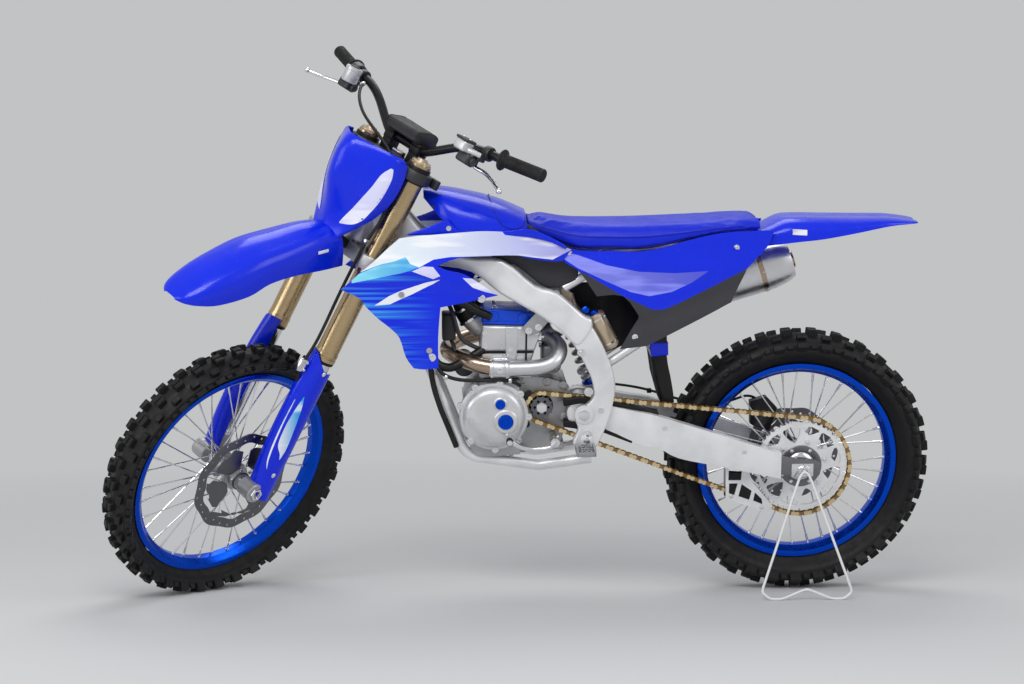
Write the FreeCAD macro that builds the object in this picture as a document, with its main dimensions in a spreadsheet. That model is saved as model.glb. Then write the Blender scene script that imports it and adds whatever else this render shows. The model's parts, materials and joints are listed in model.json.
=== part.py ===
import FreeCAD, Part
import Sketcher
import math
import os

from FreeCAD import Placement, Rotation, Vector

# A motocross bike parked on a triangle stand, leaning left with its steering on the left stop.
# X runs forward, Y to the rider's left, Z up. The chassis is drawn upright, with X from the rear axle.
# The fork's pieces are drawn in the fork's own frame: X forward of the steering axis, Z up along it.

doc = FreeCAD.newDocument("motocross_bike")
sheet = doc.addObject("Spreadsheet::Sheet", "sizes")

SIZES = {
    # stance
    "wheelbase": 1455,
    "seat_height": 965,
    "rake_angle": 26.9,
    "lean_angle": 10,
    "steer_angle": 43,
    "fork_offset": 50,
    "fork_length": 915,
    # clearances
    "fit": 0.3,
    "running_gap": 0.05,
    "overrun": 5,
    "tiny": 0.001,
    # wheels
    "rear_tyre_radius": 340,
    "rear_tyre_width": 116,
    "rear_rim_radius": 254,
    "rear_rim_width": 62,
    "front_tyre_radius": 346,
    "front_tyre_width": 92,
    "front_rim_radius": 279,
    "front_rim_width": 46,
    "lug_height": 15,
    "rim_wall": 4,
    "rim_flange_height": 12,
    "rim_well_depth": 9,
    "spoke_radius": 2,
    "hub_radius": 24,
    "hub_flange_radius": 36,
    "hub_flange_width": 6,
    "front_hub_left": 62,
    "front_hub_right": 50,
    "rear_hub_left": 68,
    "rear_hub_right": 56,
    "rear_hub_flange_place": 30,
    "front_hub_flange_place": 32,
    # axles
    "rear_axle_radius": 12.5,
    "rear_axle_bore": 10,
    "rear_axle_pin_bore": 8,
    "rear_axle_half": 132,
    "rear_axle_pin_depth": 60,
    "front_axle_radius": 11,
    "front_axle_bore": 9,
    "front_axle_half": 128,
    # brakes and drive
    "front_disc_radius": 135,
    "rear_disc_radius": 122,
    "disc_thickness": 3.5,
    "disc_band": 24,
    "disc_window_radius": 20,
    "disc_gap": 2,
    "caliper_wall": 9,
    "chain_line": 72,
    "chain_pitch": 15.875,
    "chain_width": 18,
    "chain_height": 12.5,
    "chain_clearance": 1,
    "sprocket_thickness": 7,
    "sprocket_tip_radius": 118,
    "sprocket_root_radius": 112,
    "front_sprocket_tip_radius": 30,
    "front_sprocket_root_radius": 25,
    # frame
    "spar_inner": 85,
    "spar_outer": 113,
    "spar_head_inner": 8,
    "head_tube_radius": 31,
    "stem_radius": 17,
    "head_tube_low": 664,
    "head_tube_high": 864,
    "plate_corner": 14,
    "cross_member_radius": 17,
    "lower_cross_radius": 10,
    "downtube_radius": 23,
    "cradle_radius": 13,
    "cradle_bend": 60,
    "subframe_radius": 11,
    "subframe_line": 62,
    "subframe_bend": 50,
    "mount_radius": 7,
    "swingarm_inner": 88,
    "swingarm_outer": 116,
    "swingarm_pivot_inner": 54,
    "swingarm_pivot_outer": 82,
    "pivot_radius": 25,
    # engine
    "case_right": 95,
    "case_left": 95,
    "case_chain_side": 52,
    "case_corner": 22,
    "flywheel_cover_radius": 84,
    "flywheel_cover_depth": 34,
    "clutch_cover_radius": 86,
    "clutch_cover_depth": 42,
    "cover_fillet": 8,
    "head_half_width": 72,
    "cam_cover_half_width": 64,
    "head_corner": 8,
    "exhaust_radius": 20,
    "exhaust_bend": 55,
    "silencer_radius": 60,
    "radiator_depth": 32,
    "radiator_width": 80,
    "radiator_height": 220,
    "radiator_inner": 64,
    "radiator_tilt": 25,
    # shock absorber
    "spring_radius": 38,
    "shock_rod_radius": 16,
    "shock_eye_radius": 22,
    "shock_eye_half": 16,
    "reservoir_radius": 24,
    "reservoir_line": 58,
    # bodywork
    "panel_thickness": 3,
    "panel_corner": 8,
    "tank_half_width": 78,
    "tank_corner": 18,
    "flap_half_width": 52,
    "flap_thickness": 4,
    # fork
    "leg_line": 102,
    "leg_offset": 22,
    "outer_tube_radius": 28,
    "inner_tube_radius": 24,
    "outer_tube_low": 372,
    "axle_lug_radius": 25,
    "axle_lug_inner": 78,
    "axle_lug_outer": 125,
    "clamp_boss_radius": 40,
    "lower_clamp_low": 624,
    "lower_clamp_thickness": 36,
    "upper_clamp_low": 868,
    "upper_clamp_thickness": 28,
    "clamp_web": 52,
    # handlebar
    "bar_radius": 11.1,
    "bar_bend": 55,
    "bar_mount_half": 16,
    "bar_mount_place": 42,
    "grip_radius": 16,
    "grip_flange_radius": 26,
    "grip_flange_width": 5,
    "perch_radius": 18,
    "perch_width": 22,
    "lever_radius": 4.5,
    "lever_ball_radius": 8,
    "pad_corner": 12,
    # feet
    "peg_width": 50,
    "peg_inner": 118,
    "peg_outer": 182,
    "peg_thickness": 16,
    "pedal_radius": 7,
    "pedal_bend": 25,
    # hoses
    "hose_radius": 11,
    "breather_radius": 7,
    "brake_hose_radius": 3.5,
    "hose_bend": 400,
    # stand
    "stand_wire_radius": 5.5,
    "stand_foot_line": 232,
    "stand_pin_radius": 7.5,
    "stand_bend": 16,
}

for row, (alias, value) in enumerate(SIZES.items(), 1):
    sheet.set("A%d" % row, alias)
    sheet.set("B%d" % row, str(value))
    sheet.setAlias("B%d" % row, alias)
doc.recompute()


class Sheet:
    """Reads a size from the sheet by its alias."""

    def __getattr__(self, alias):
        return float(sheet.get(alias))


q = Sheet()
REAR_LUG_PITCHES = 32
FRONT_LUG_PITCHES = 36
SPOKES = 36
SPROCKET_TEETH = 48
FRONT_SPROCKET_TEETH = 13
DISC_WINDOWS = 6
SPROCKET_WINDOWS = 6
RUN_SHARE = 0.45
X_AXIS = Vector(1, 0, 0)
Y_AXIS = Vector(0, 1, 0)
Z_AXIS = Vector(0, 0, 1)
ORIGIN = Vector(0, 0, 0)


def at(share, y=0.0):
    """Point of the upright chassis, from its shares of the wheelbase and the seat height."""
    return Vector(share[0] * q.wheelbase, y, share[1] * q.seat_height)


def fork_at(share, y=0.0):
    """Point of the fork's frame, from its shares of the fork's length, forward of and along the axis."""
    return Vector(share[0] * q.fork_length, y, share[1] * q.fork_length)


def rounded(points, radius, closed=False):
    """Wire of straight runs joined by tangent arcs, each no larger than its runs allow."""
    count = len(points)
    corners = range(count) if closed else range(1, count - 1)
    bends = {}
    for i in corners:
        corner = points[i]
        back = points[i - 1] - corner
        ahead = points[(i + 1) % count] - corner
        run = min(back.Length, ahead.Length)
        back.normalize()
        ahead.normalize()
        turn = math.pi - back.getAngle(ahead)
        if turn < q.tiny:
            continue
        reach = min(radius * math.tan(turn / 2), RUN_SHARE * run)
        bend = reach / math.tan(turn / 2)
        middle = back + ahead
        middle.normalize()
        bends[i] = (
            corner + back * reach,
            corner + middle * (bend / math.cos(turn / 2) - bend),
            corner + ahead * reach,
        )
    edges = []
    order = list(range(count)) + ([0] if closed else [])
    for i, j in zip(order, order[1:]):
        start = bends[i][2] if i in bends else points[i]
        end = bends[j][0] if j in bends else points[j]
        edges.append(Part.LineSegment(start, end).toShape())
        if j in bends:
            edges.append(Part.Arc(*bends[j]).toShape())
    return Part.Wire(edges)


def tube(points, radius, bend):
    """Round bar along straight runs joined by arcs."""
    ring = Part.Wire([Part.makeCircle(radius, points[0], points[1] - points[0])])
    return Part.Solid(rounded(points, bend).makePipeShell([ring], True, False).Shells[0])


def rod(start, end, radius, end_radius=None):
    """Round bar, or a cone, between two points."""
    way = end - start
    if end_radius is None:
        return Part.makeCylinder(radius, way.Length, start, way)
    return Part.makeCone(radius, end_radius, way.Length, start, way)


def slab(points, outer, corner=0.0):
    """Solid with the outline of points that lie on one plane across Y, reaching to another such plane."""
    wire = rounded(points, corner, closed=True) if corner else Part.makePolygon(points + points[:1])
    return Part.Face(wire).extrude(Vector(0, outer - points[0].y, 0))


def loft(wires, ruled=True):
    """Closed solid through sections, its faces pointing out."""
    solid = Part.makeLoft(wires, True, ruled)
    if solid.Volume < 0:
        solid.reverse()
    return solid


def notched(shape, others):
    """The shape with room made for each of its neighbours."""
    for other in others:
        if shape.BoundBox.intersect(other.BoundBox):
            shape = shape.cut(other)
    return shape


def mirrored(shape):
    """The same shape on the other side of the middle plane."""
    return shape.mirror(ORIGIN, Y_AXIS)


def spline(points):
    """Smooth edge through points."""
    curve = Part.BSplineCurve()
    curve.interpolate(points)
    return curve.toShape()


def band(points, shift):
    """Closed wire between a smooth line and the same line shifted."""
    moved = [point + shift for point in points]
    return Part.Wire([
        spline(points),
        Part.LineSegment(points[-1], moved[-1]).toShape(),
        spline(moved[::-1]),
        Part.LineSegment(moved[0], points[0]).toShape(),
    ])


# A curved panel's corners shrink by these shares until the cut of its outline holds.
CORNER_SHARES = (1.0, 0.7, 0.4, 0.0)


def skin(outline, low_rail, high_rail, thickness, corner):
    """Curved panel: a side outline cut out of a sheet that runs from a low rail to a high rail."""
    low = band(low_rail, Y_AXIS * thickness)
    high = band(high_rail, Y_AXIS * thickness)
    sheet_solid = loft([low, high])
    reach = max(point.y for point in low_rail + high_rail) + thickness + q.overrun
    for share in CORNER_SHARES:
        panel = slab(outline, reach, corner * share).common(sheet_solid)
        if panel.Solids and panel.isValid():
            return panel
    raise SystemExit("no corner radius gives a valid panel")



ARCH_KNEE_SHARE = 0.78
ARCH_KNEE_WIDTH_SHARE = 0.82


def arch(edge, crown, half_width, thickness):
    """Closed section of a thin arched cover, from one lower edge over its crown to the other."""
    def over(width, side, top, grow):
        down = crown - side
        down = down * (1 - grow / down.Length)
        foot = side
        return [
            Vector(foot.x, -width, foot.z),
            Vector(foot.x + down.x * ARCH_KNEE_SHARE, -width * ARCH_KNEE_WIDTH_SHARE,
                   foot.z + down.z * ARCH_KNEE_SHARE),
            Vector(foot.x + down.x, 0, foot.z + down.z),
            Vector(foot.x + down.x * ARCH_KNEE_SHARE, width * ARCH_KNEE_WIDTH_SHARE,
                   foot.z + down.z * ARCH_KNEE_SHARE),
            Vector(foot.x, width, foot.z),
        ]
    outer = over(half_width, edge, crown, 0)
    inner = over(half_width - thickness, edge, crown, thickness)
    return Part.Wire([
        spline(outer),
        Part.LineSegment(outer[-1], inner[-1]).toShape(),
        spline(inner[::-1]),
        Part.LineSegment(inner[0], outer[0]).toShape(),
    ])


nodes = {}


def add(name, shape):
    """One sub-part made from a finished shape."""
    feature = doc.addObject("Part::Feature", name)
    feature.Label = name
    feature.Shape = shape
    nodes[name] = feature
    return feature


def solids(*shapes):
    """Several solids kept in one sub-part."""
    parts = [solid for shape in shapes for solid in shape.Solids]
    return parts[0] if len(parts) == 1 else Part.makeCompound(parts)


def bound_profile(body, corners):
    """Closed sketch on the XY plane of a body, each corner held at two expressions of the sheet."""
    plane = [f for f in body.Origin.OriginFeatures if f.Role == "XY_Plane"][0]
    sketch = body.newObject("Sketcher::SketchObject", body.Name + "_profile")
    sketch.AttachmentSupport = (plane, [""])
    sketch.MapMode = "FlatFace"
    count = len(corners)
    turns = [2 * math.pi * i / count for i in range(count)]
    ring = [Vector(math.cos(turn), math.sin(turn), 0) for turn in turns]
    for i in range(count):
        sketch.addGeometry(Part.LineSegment(ring[i], ring[(i + 1) % count]), False)
    for i in range(count):
        sketch.addConstraint(Sketcher.Constraint("Coincident", i, 2, (i + 1) % count, 1))
    for i, (across, along) in enumerate(corners):
        for kind, expression in (("DistanceX", across), ("DistanceY", along)):
            index = sketch.addConstraint(Sketcher.Constraint(kind, -1, 1, i, 1, 1.0))
            sketch.setExpression("Constraints[%d]" % index, expression)
    return sketch


# Wheels. Each is drawn about its own centre, with its axle along Y.

# One side of a tyre: the shares of its width and of the height from the rim to the tread's base.
TYRE_TOE_SHARES = (0.25, 0.0)
TYRE_WIDEST_SHARES = (0.485, 0.46)
TYRE_SHOULDER_SHARES = (0.44, 0.80)
TYRE_TREAD_EDGE_SHARES = (0.225, 0.97)
TYRE_CENTRE_SHARES = (0.165, 1.0)
# The lugs' tops: shares of the tyre's width, and of the lug's height above the tread's base.
SHOULDER_TOP_SHARES = (0.5, 0.45)
EDGE_TOP_SHARES = (0.245, 0.86)
CENTRE_TOP_SHARES = (0.145, 1.0)


def tyre_solid(radius, width, seat, pitches):
    """Knobbly tyre with flat facets: slices with a centre lug alternate with slices with shoulder lugs."""
    base = radius - q.lug_height
    slices = 2 * pitches
    seat_radius = (seat + q.fit) / math.cos(math.pi / slices)

    def place(shares, lift=0.0):
        return (shares[0] * width, seat_radius + shares[1] * (base - seat_radius) + lift * q.lug_height)

    toe, widest, shoulder, edge, centre = [place(shares) for shares in (
        TYRE_TOE_SHARES, TYRE_WIDEST_SHARES, TYRE_SHOULDER_SHARES, TYRE_TREAD_EDGE_SHARES,
        TYRE_CENTRE_SHARES)]
    shoulder_top = (SHOULDER_TOP_SHARES[0] * width, shoulder[1] + SHOULDER_TOP_SHARES[1] * q.lug_height)
    edge_top = (EDGE_TOP_SHARES[0] * width, edge[1] + EDGE_TOP_SHARES[1] * q.lug_height)
    centre_top = (CENTRE_TOP_SHARES[0] * width, base + q.lug_height)

    def point(spot, side, angle):
        return Vector(spot[1] * math.cos(angle), side * spot[0], spot[1] * math.sin(angle))

    def facet(corners):
        return Part.Face(Part.makePolygon(corners + corners[:1]))

    faces = []
    for i in range(slices):
        low, high = (2 * math.pi * k / slices for k in (i, i + 1))
        has_centre = i % 2 == 0
        half = [toe, widest, shoulder]
        half += [edge, centre] if has_centre else [shoulder_top, edge_top, edge, centre]
        if has_centre:
            half.append(centre_top)
        loop = [(spot, 1) for spot in half] + [(spot, -1) for spot in half[::-1]]
        for (spot_a, side_a), (spot_b, side_b) in zip(loop, loop[1:] + loop[:1]):
            faces.append(facet([
                point(spot_a, side_a, low), point(spot_b, side_b, low),
                point(spot_b, side_b, high), point(spot_a, side_a, high),
            ]))
        faces.append(facet([point(centre, 1, low), point(centre_top, 1, low),
                            point(centre_top, -1, low), point(centre, -1, low)]))
        for side in (1, -1):
            faces.append(facet([point(shoulder, side, low), point(shoulder_top, side, low),
                                point(edge_top, side, low), point(edge, side, low)]))
    shell = Part.makeShell(faces)
    shell.sewShape()
    solid = Part.Solid(shell.Shells[0] if shell.Shells else shell)
    if solid.Volume < 0:
        solid.reverse()
    return solid


def add_rim(prefix):
    """Rim turned about the axle, its profile held to the sheet."""
    body = doc.addObject("PartDesign::Body", prefix + "_rim")
    body.Label = prefix + "_rim"
    flange = "sizes.%s_rim_radius" % prefix
    half = "sizes.%s_rim_width / 2" % prefix
    wall = "sizes.rim_wall"
    seat = flange + " - sizes.rim_flange_height"
    well = seat + " - sizes.rim_well_depth"
    corners = [
        (flange, half), (flange, "%s - %s" % (half, wall)), (seat, "%s - %s" % (half, wall)),
        (well, half + " / 2"), (well, "-(%s) / 2" % half), (seat, "%s - %s" % (wall, half)),
        (flange, "%s - %s" % (wall, half)), (flange, "-" + half),
        ("%s - %s" % (seat, wall), "-" + half), ("%s - %s" % (well, wall), "-(%s) / 2" % half),
        ("%s - %s" % (well, wall), half + " / 2"), ("%s - %s" % (seat, wall), half),
    ]
    profile = bound_profile(body, corners)
    turned = body.newObject("PartDesign::Revolution", prefix + "_rim_turned")
    turned.Profile = profile
    turned.ReferenceAxis = (profile, ["V_Axis"])
    turned.Angle = 360.0
    nodes[body.Label] = body


def rim_inner_radius(flange):
    """Radius of the rim's inside, where the spokes end."""
    return flange - q.rim_flange_height - q.rim_well_depth - q.rim_wall


SPOKE_SWEEP_SHARE = 0.115
SPOKE_CROSS_SHARE = 1.5


def hub_solid(rim_radius, left, right, flange_place, bore):
    """Hub with two spoke flanges and its crossed spokes."""
    shape = rod(Y_AXIS * -right, Y_AXIS * left, q.hub_radius)
    for side in (1, -1):
        middle = side * flange_place
        shape = shape.fuse(rod(Y_AXIS * (middle - q.hub_flange_width / 2),
                               Y_AXIS * (middle + q.hub_flange_width / 2), q.hub_flange_radius))
    spokes = []
    for i in range(SPOKES):
        side = 1 if i % 2 == 0 else -1
        lean = 1 if i % 4 < 2 else -1
        outward = lean * q.spoke_radius * SPOKE_CROSS_SHARE
        rim_angle = 2 * math.pi * i / SPOKES
        hub_angle = rim_angle - lean * 2 * math.pi * SPOKE_SWEEP_SHARE
        inner = q.hub_flange_radius - q.hub_flange_width / 2
        start = Vector(inner * math.cos(hub_angle), side * flange_place + outward,
                       inner * math.sin(hub_angle))
        outer = rim_inner_radius(rim_radius) - q.fit
        end = Vector(outer * math.cos(rim_angle), side * 2 * q.spoke_radius, outer * math.sin(rim_angle))
        spokes.append(rod(start, end, q.spoke_radius))
    shape = shape.multiFuse(spokes)
    reach = Y_AXIS * (left + q.overrun)
    return shape.cut(rod(Y_AXIS * -(right + q.overrun), reach, bore + q.running_gap))


def disc_solid(radius, inner_face):
    """Brake disc: a band carried on spokes from a ring round the hub."""
    start = Y_AXIS * inner_face
    end = Y_AXIS * (inner_face + q.disc_thickness)
    shape = rod(start, end, radius).cut(rod(start, end, q.hub_radius))
    middle = (q.hub_flange_radius + radius - q.disc_band) / 2
    for i in range(DISC_WINDOWS):
        angle = 2 * math.pi * i / DISC_WINDOWS
        spot = Vector(middle * math.cos(angle), 0, middle * math.sin(angle))
        shape = shape.cut(rod(start + spot, end + spot, q.disc_window_radius))
    return shape


def sprocket_solid(tip, root, teeth, middle):
    """Chain wheel with pointed teeth."""
    points = []
    for i in range(2 * teeth):
        radius = tip if i % 2 else root
        angle = math.pi * i / teeth
        points.append(Vector(radius * math.cos(angle), middle - q.sprocket_thickness / 2,
                             radius * math.sin(angle)))
    return slab(points, middle + q.sprocket_thickness / 2)


def add_wheels():
    add("rear_tyre", tyre_solid(q.rear_tyre_radius, q.rear_tyre_width, q.rear_rim_radius, REAR_LUG_PITCHES))
    add("front_tyre",
        tyre_solid(q.front_tyre_radius, q.front_tyre_width, q.front_rim_radius, FRONT_LUG_PITCHES))
    add_rim("rear")
    add_rim("front")
    add("rear_hub", hub_solid(q.rear_rim_radius, q.rear_hub_left, q.rear_hub_right,
                              q.rear_hub_flange_place, q.rear_axle_radius))
    add("front_hub", hub_solid(q.front_rim_radius, q.front_hub_left, q.front_hub_right,
                               q.front_hub_flange_place, q.front_axle_radius))
    add("front_disc", disc_solid(q.front_disc_radius, q.front_hub_left - q.disc_thickness))
    add("rear_disc", disc_solid(q.rear_disc_radius, -q.rear_hub_right))
    start = Y_AXIS * (q.chain_line - q.sprocket_thickness)
    end = Y_AXIS * (q.chain_line + q.sprocket_thickness)
    sprocket = sprocket_solid(q.sprocket_tip_radius, q.sprocket_root_radius, SPROCKET_TEETH, q.chain_line)
    middle = (q.hub_flange_radius + q.sprocket_root_radius) / 2
    for i in range(SPROCKET_WINDOWS):
        angle = 2 * math.pi * i / SPROCKET_WINDOWS
        spot = Vector(middle * math.cos(angle), 0, middle * math.sin(angle))
        sprocket = sprocket.cut(rod(start + spot, end + spot, q.disc_window_radius))
    hub_end = Y_AXIS * q.rear_hub_left
    boss = rod(hub_end, Y_AXIS * (q.chain_line - q.sprocket_thickness / 2), q.hub_flange_radius)
    sprocket = sprocket.fuse(boss)
    add("rear_sprocket", sprocket.cut(rod(ORIGIN, end * 2, q.rear_axle_radius + q.running_gap)))


# Chassis.

SPAR_OUTLINE_SHARES = [
    (0.7285, 1.101), (0.6893, 1.047), (0.6392, 0.9637), (0.5794, 0.9119), (0.5182, 0.9078),
    (0.4639, 0.8435), (0.4254, 0.8238), (0.3801, 0.7637), (0.3663, 0.7378), (0.3533, 0.7036),
    (0.3388, 0.658), (0.3299, 0.6176), (0.3251, 0.572), (0.3326, 0.514), (0.3457, 0.456),
    (0.3581, 0.4187), (0.3979, 0.4301), (0.3918, 0.4746), (0.3931, 0.5161), (0.3766, 0.5326),
    (0.3636, 0.5554), (0.367, 0.5959), (0.3808, 0.6415), (0.4, 0.6922), (0.4227, 0.7275),
    (0.4639, 0.7731), (0.5216, 0.8228), (0.5698, 0.8756), (0.6392, 0.8933), (0.6942, 0.9119),
    (0.7423, 0.9534),
]
SPAR_RAIL_SHARES = [
    (0.3024, 0), (0.4811, 0), (0.5842, 0), (0.756, 0),
]
SPAR_RAIL_WIDTH_SHARES = (1.0, 1.0, 0.62, 0.0)
SPAR_BAND_SHARES = (0.2, 1.3)
UPPER_CROSS_SHARES = [
    (0.4206, 0.7793),
]
LOWER_CROSS_SHARES = [
    (0.3601, 0.4477),
]
DOWNTUBE_SHARES = [
    (0.7113, 0.9513), (0.6564, 0.6736),
]
CRADLE_SHARES = [
    (0.6584, 0.6788), (0.6357, 0.6062), (0.5808, 0.3917), (0.455, 0.3627), (0.3643, 0.3813),
]
CRADLE_WIDTH_SHARES = (0.25, 0.85, 1.0, 1.0, 1.0)
SUBFRAME_TOP_SHARES = [
    (0.4124, 0.829), (0.3299, 0.9036), (0.1787, 0.9306), (0.0893, 0.9482),
]
SUBFRAME_LOW_SHARES = [
    (0.3436, 0.6218), (0.2818, 0.6839), (0.2268, 0.8083), (0.1718, 0.9171),
]
CRADLE_LINE_SHARE = 0.84
RADIATOR_MOUNT_SHARES = [
    (0.6887, 0.8352), (0.657, 0.7192),
]
PANEL_MOUNT_SHARES = [
    (0.3299, 0.8995),
]


def rail(inner, head_inner, height):
    """Plan line of a spar: wide at the engine, narrowing to the head."""
    points = []
    for spot, share in zip(SPAR_RAIL_SHARES, SPAR_RAIL_WIDTH_SHARES):
        y = head_inner + share * (inner - head_inner)
        points.append(Vector(spot[0] * q.wheelbase, y, height))
    return points


def main_frame():
    low, high = (share * q.seat_height for share in SPAR_BAND_SHARES)
    rails = [rail(q.spar_inner, q.spar_head_inner, height) for height in (low, high)]
    outline = [at(spot) for spot in SPAR_OUTLINE_SHARES]
    left = skin(outline, rails[0], rails[1], q.spar_outer - q.spar_inner, q.plate_corner)
    head = rod(FORK_FRAME.multVec(Z_AXIS * q.head_tube_low), FORK_FRAME.multVec(Z_AXIS * q.head_tube_high),
               q.head_tube_radius)
    shape = left.fuse([mirrored(left), head])
    middle = (q.spar_inner + q.spar_outer) / 2
    members = ((UPPER_CROSS_SHARES[0], q.cross_member_radius), (LOWER_CROSS_SHARES[0], q.lower_cross_radius))
    for spot, radius in members:
        shape = shape.fuse(rod(at(spot, -middle), at(spot, middle), radius))
    bore_low = Z_AXIS * (q.head_tube_low - q.overrun)
    bore_high = Z_AXIS * (q.head_tube_high + q.overrun)
    bore = rod(FORK_FRAME.multVec(bore_low), FORK_FRAME.multVec(bore_high), q.stem_radius + q.running_gap)
    sweep_low = rod(FORK_FRAME.multVec(Z_AXIS * (q.lower_clamp_low - q.overrun)),
                    FORK_FRAME.multVec(Z_AXIS * q.head_tube_low), q.leg_line)
    sweep_high = rod(FORK_FRAME.multVec(Z_AXIS * q.head_tube_high),
                     FORK_FRAME.multVec(Z_AXIS * q.fork_length),
                     q.leg_line)
    return shape.cut([bore, sweep_low, sweep_high])


def lower_cradle():
    line = q.spar_inner * CRADLE_LINE_SHARE
    down = rod(at(DOWNTUBE_SHARES[0]), at(DOWNTUBE_SHARES[1]), q.downtube_radius)
    points = [at(spot, line * share) for spot, share in zip(CRADLE_SHARES, CRADLE_WIDTH_SHARES)]
    left = tube(points, q.cradle_radius, q.cradle_bend)
    mounts = [rod(at(spot, -q.radiator_inner), at(spot, q.radiator_inner), q.mount_radius)
              for spot in RADIATOR_MOUNT_SHARES]
    return down.fuse([left, mirrored(left)] + mounts)


def subframe():
    top, low = [tube([at(spot, q.subframe_line) for spot in run], q.subframe_radius, q.subframe_bend)
                for run in (SUBFRAME_TOP_SHARES, SUBFRAME_LOW_SHARES)]
    end = SUBFRAME_TOP_SHARES[-1]
    bridge = rod(at(end, -q.subframe_line), at(end, q.subframe_line), q.subframe_radius)
    panel_mount = rod(at(PANEL_MOUNT_SHARES[0], -q.spar_outer), at(PANEL_MOUNT_SHARES[0], q.spar_outer),
                      q.mount_radius)
    return top.fuse([low, mirrored(top), mirrored(low), bridge, panel_mount])


SWINGARM_SHARES = [
    (-0.0119, 0.0439), (0.0795, 0.0542), (0.1408, 0.0618), (0.2331, 0.0688), (0.3187, 0.0739),
    (0.5657, 0.065), (0.6727, 0.0578), (0.887, 0.049), (1.033, 0.0779), (1.078, 0.0211),
    (1.067, -0.047), (0.9021, -0.0665), (0.6246, -0.0785), (0.453, -0.087), (0.3584, -0.0656),
    (0.2729, -0.0708), (0.1113, -0.0495), (0.0039, -0.0678), (-0.0623, -0.0242),
]
SWINGARM_RAIL_SHARES = [
    (-0.055, 0), (0.2062, 0), (0.3024, 0), (0.3574, 0), (0.4261, 0),
]
SWINGARM_RAIL_WIDTH_SHARES = (1.0, 1.0, 0.6, 0.1, 0.0)
PIVOT_SHARES = [
    (0.3794, 0.5078),
]
SWINGARM_CROSS_SHARES = [
    (0.1613, -0.0468), (0.2885, -0.0484), (0.2619, 0.0494), (0.1356, 0.0477),
]


def arm_at(share, y=0.0):
    """Point that moves with the swingarm: shares of its length, towards the axle and above that line."""
    pivot = at(PIVOT_SHARES[0])
    way = Vector(0, 0, q.rear_tyre_radius) - pivot
    above = Y_AXIS.cross(way)
    return pivot + way * share[0] + above * share[1] + Y_AXIS * y


def swingarm():
    """Two arms joined by a cross piece and the pivot's tube."""
    def plan(height):
        points = []
        for spot, share in zip(SWINGARM_RAIL_SHARES, SWINGARM_RAIL_WIDTH_SHARES):
            y = q.swingarm_pivot_inner + share * (q.swingarm_inner - q.swingarm_pivot_inner)
            points.append(Vector(spot[0] * q.wheelbase, y, height))
        return points
    outline = [arm_at(spot) for spot in SWINGARM_SHARES]
    left = skin(outline, plan(0), plan(q.seat_height), q.swingarm_outer - q.swingarm_inner, q.plate_corner)
    cross = slab([arm_at(spot, -q.swingarm_inner) for spot in SWINGARM_CROSS_SHARES], q.swingarm_inner)
    pivot = rod(at(PIVOT_SHARES[0], -q.swingarm_pivot_outer), at(PIVOT_SHARES[0], q.swingarm_pivot_outer),
                q.pivot_radius)
    axle = rod(Vector(0, -q.rear_axle_half, q.rear_tyre_radius),
               Vector(0, q.rear_axle_half, q.rear_tyre_radius),
               q.rear_axle_radius)
    return left.fuse([mirrored(left), cross, pivot]).cut(axle)


def add_rear_axle():
    """Hollow axle: a wide bore from the right, a narrower one from the left for the stand's pin."""
    bar = doc.addObject("Part::Cylinder", "rear_axle_bar")
    bar.setExpression("Radius", "sizes.rear_axle_radius")
    bar.setExpression("Height", "sizes.rear_axle_half * 2")
    wide = doc.addObject("Part::Cylinder", "rear_axle_wide_bore")
    wide.setExpression("Radius", "sizes.rear_axle_bore")
    wide.setExpression("Height", "sizes.rear_axle_half * 2 - sizes.rear_axle_pin_depth")
    narrow = doc.addObject("Part::Cylinder", "rear_axle_pin_bore_cut")
    narrow.setExpression("Radius", "sizes.rear_axle_pin_bore")
    narrow.setExpression("Height", "sizes.rear_axle_half * 2")
    bores = doc.addObject("Part::Fuse", "rear_axle_bores")
    bores.Base = wide
    bores.Tool = narrow
    axle = doc.addObject("Part::Cut", "rear_axle")
    axle.Base = bar
    axle.Tool = bores
    nodes["rear_axle"] = axle


def front_axle():
    shape = rod(Y_AXIS * -q.front_axle_half, Y_AXIS * q.front_axle_half, q.front_axle_radius)
    reach = q.front_axle_half + q.overrun
    return shape.cut(rod(Y_AXIS * -reach, Y_AXIS * reach, q.front_axle_bore))


# Engine.

CASE_SHARES = [
    (0.4206, 0.3979), (0.5498, 0.3876), (0.5759, 0.4352), (0.5828, 0.5181), (0.5691, 0.5762),
    (0.5498, 0.599), (0.4742, 0.599), (0.4124, 0.5762), (0.4041, 0.4974),
]
CASE_LEFT_SHARES = [
    (0.4866, 0.3938), (0.5498, 0.3876), (0.5759, 0.4352), (0.5828, 0.5181), (0.5691, 0.5762),
    (0.5498, 0.599), (0.4866, 0.599),
]
FLYWHEEL_SHARES = [
    (0.5326, 0.5036),
]
CLUTCH_SHARES = [
    (0.457, 0.4974),
]
HEAD_SHARES = [
    (0.4742, 0.599), (0.5498, 0.599), (0.5553, 0.6425), (0.5519, 0.7378), (0.4502, 0.7316),
    (0.4619, 0.6632),
]
CAM_SHARES = [
    (0.4502, 0.7316), (0.5519, 0.7378), (0.5498, 0.771), (0.543, 0.7751), (0.4742, 0.7648),
    (0.4467, 0.7482),
]
EXHAUST_LEFT_SHARES = [
    (0.4591, 0.6964), (0.433, 0.6922), (0.4165, 0.6715), (0.4467, 0.628), (0.5216, 0.628),
    (0.5808, 0.6446), (0.6089, 0.6508), (0.5966, 0.6611), (0.5223, 0.6756), (0.4261, 0.715),
    (0.3574, 0.7109), (0.3107, 0.7223),
]
EXHAUST_LINE_SHARES = (0.0, 0.0, 0.62, 1.0, 1.06, 0.80, 0.0, -0.85, -1.38, -1.42, -1.39, -1.32)
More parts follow.
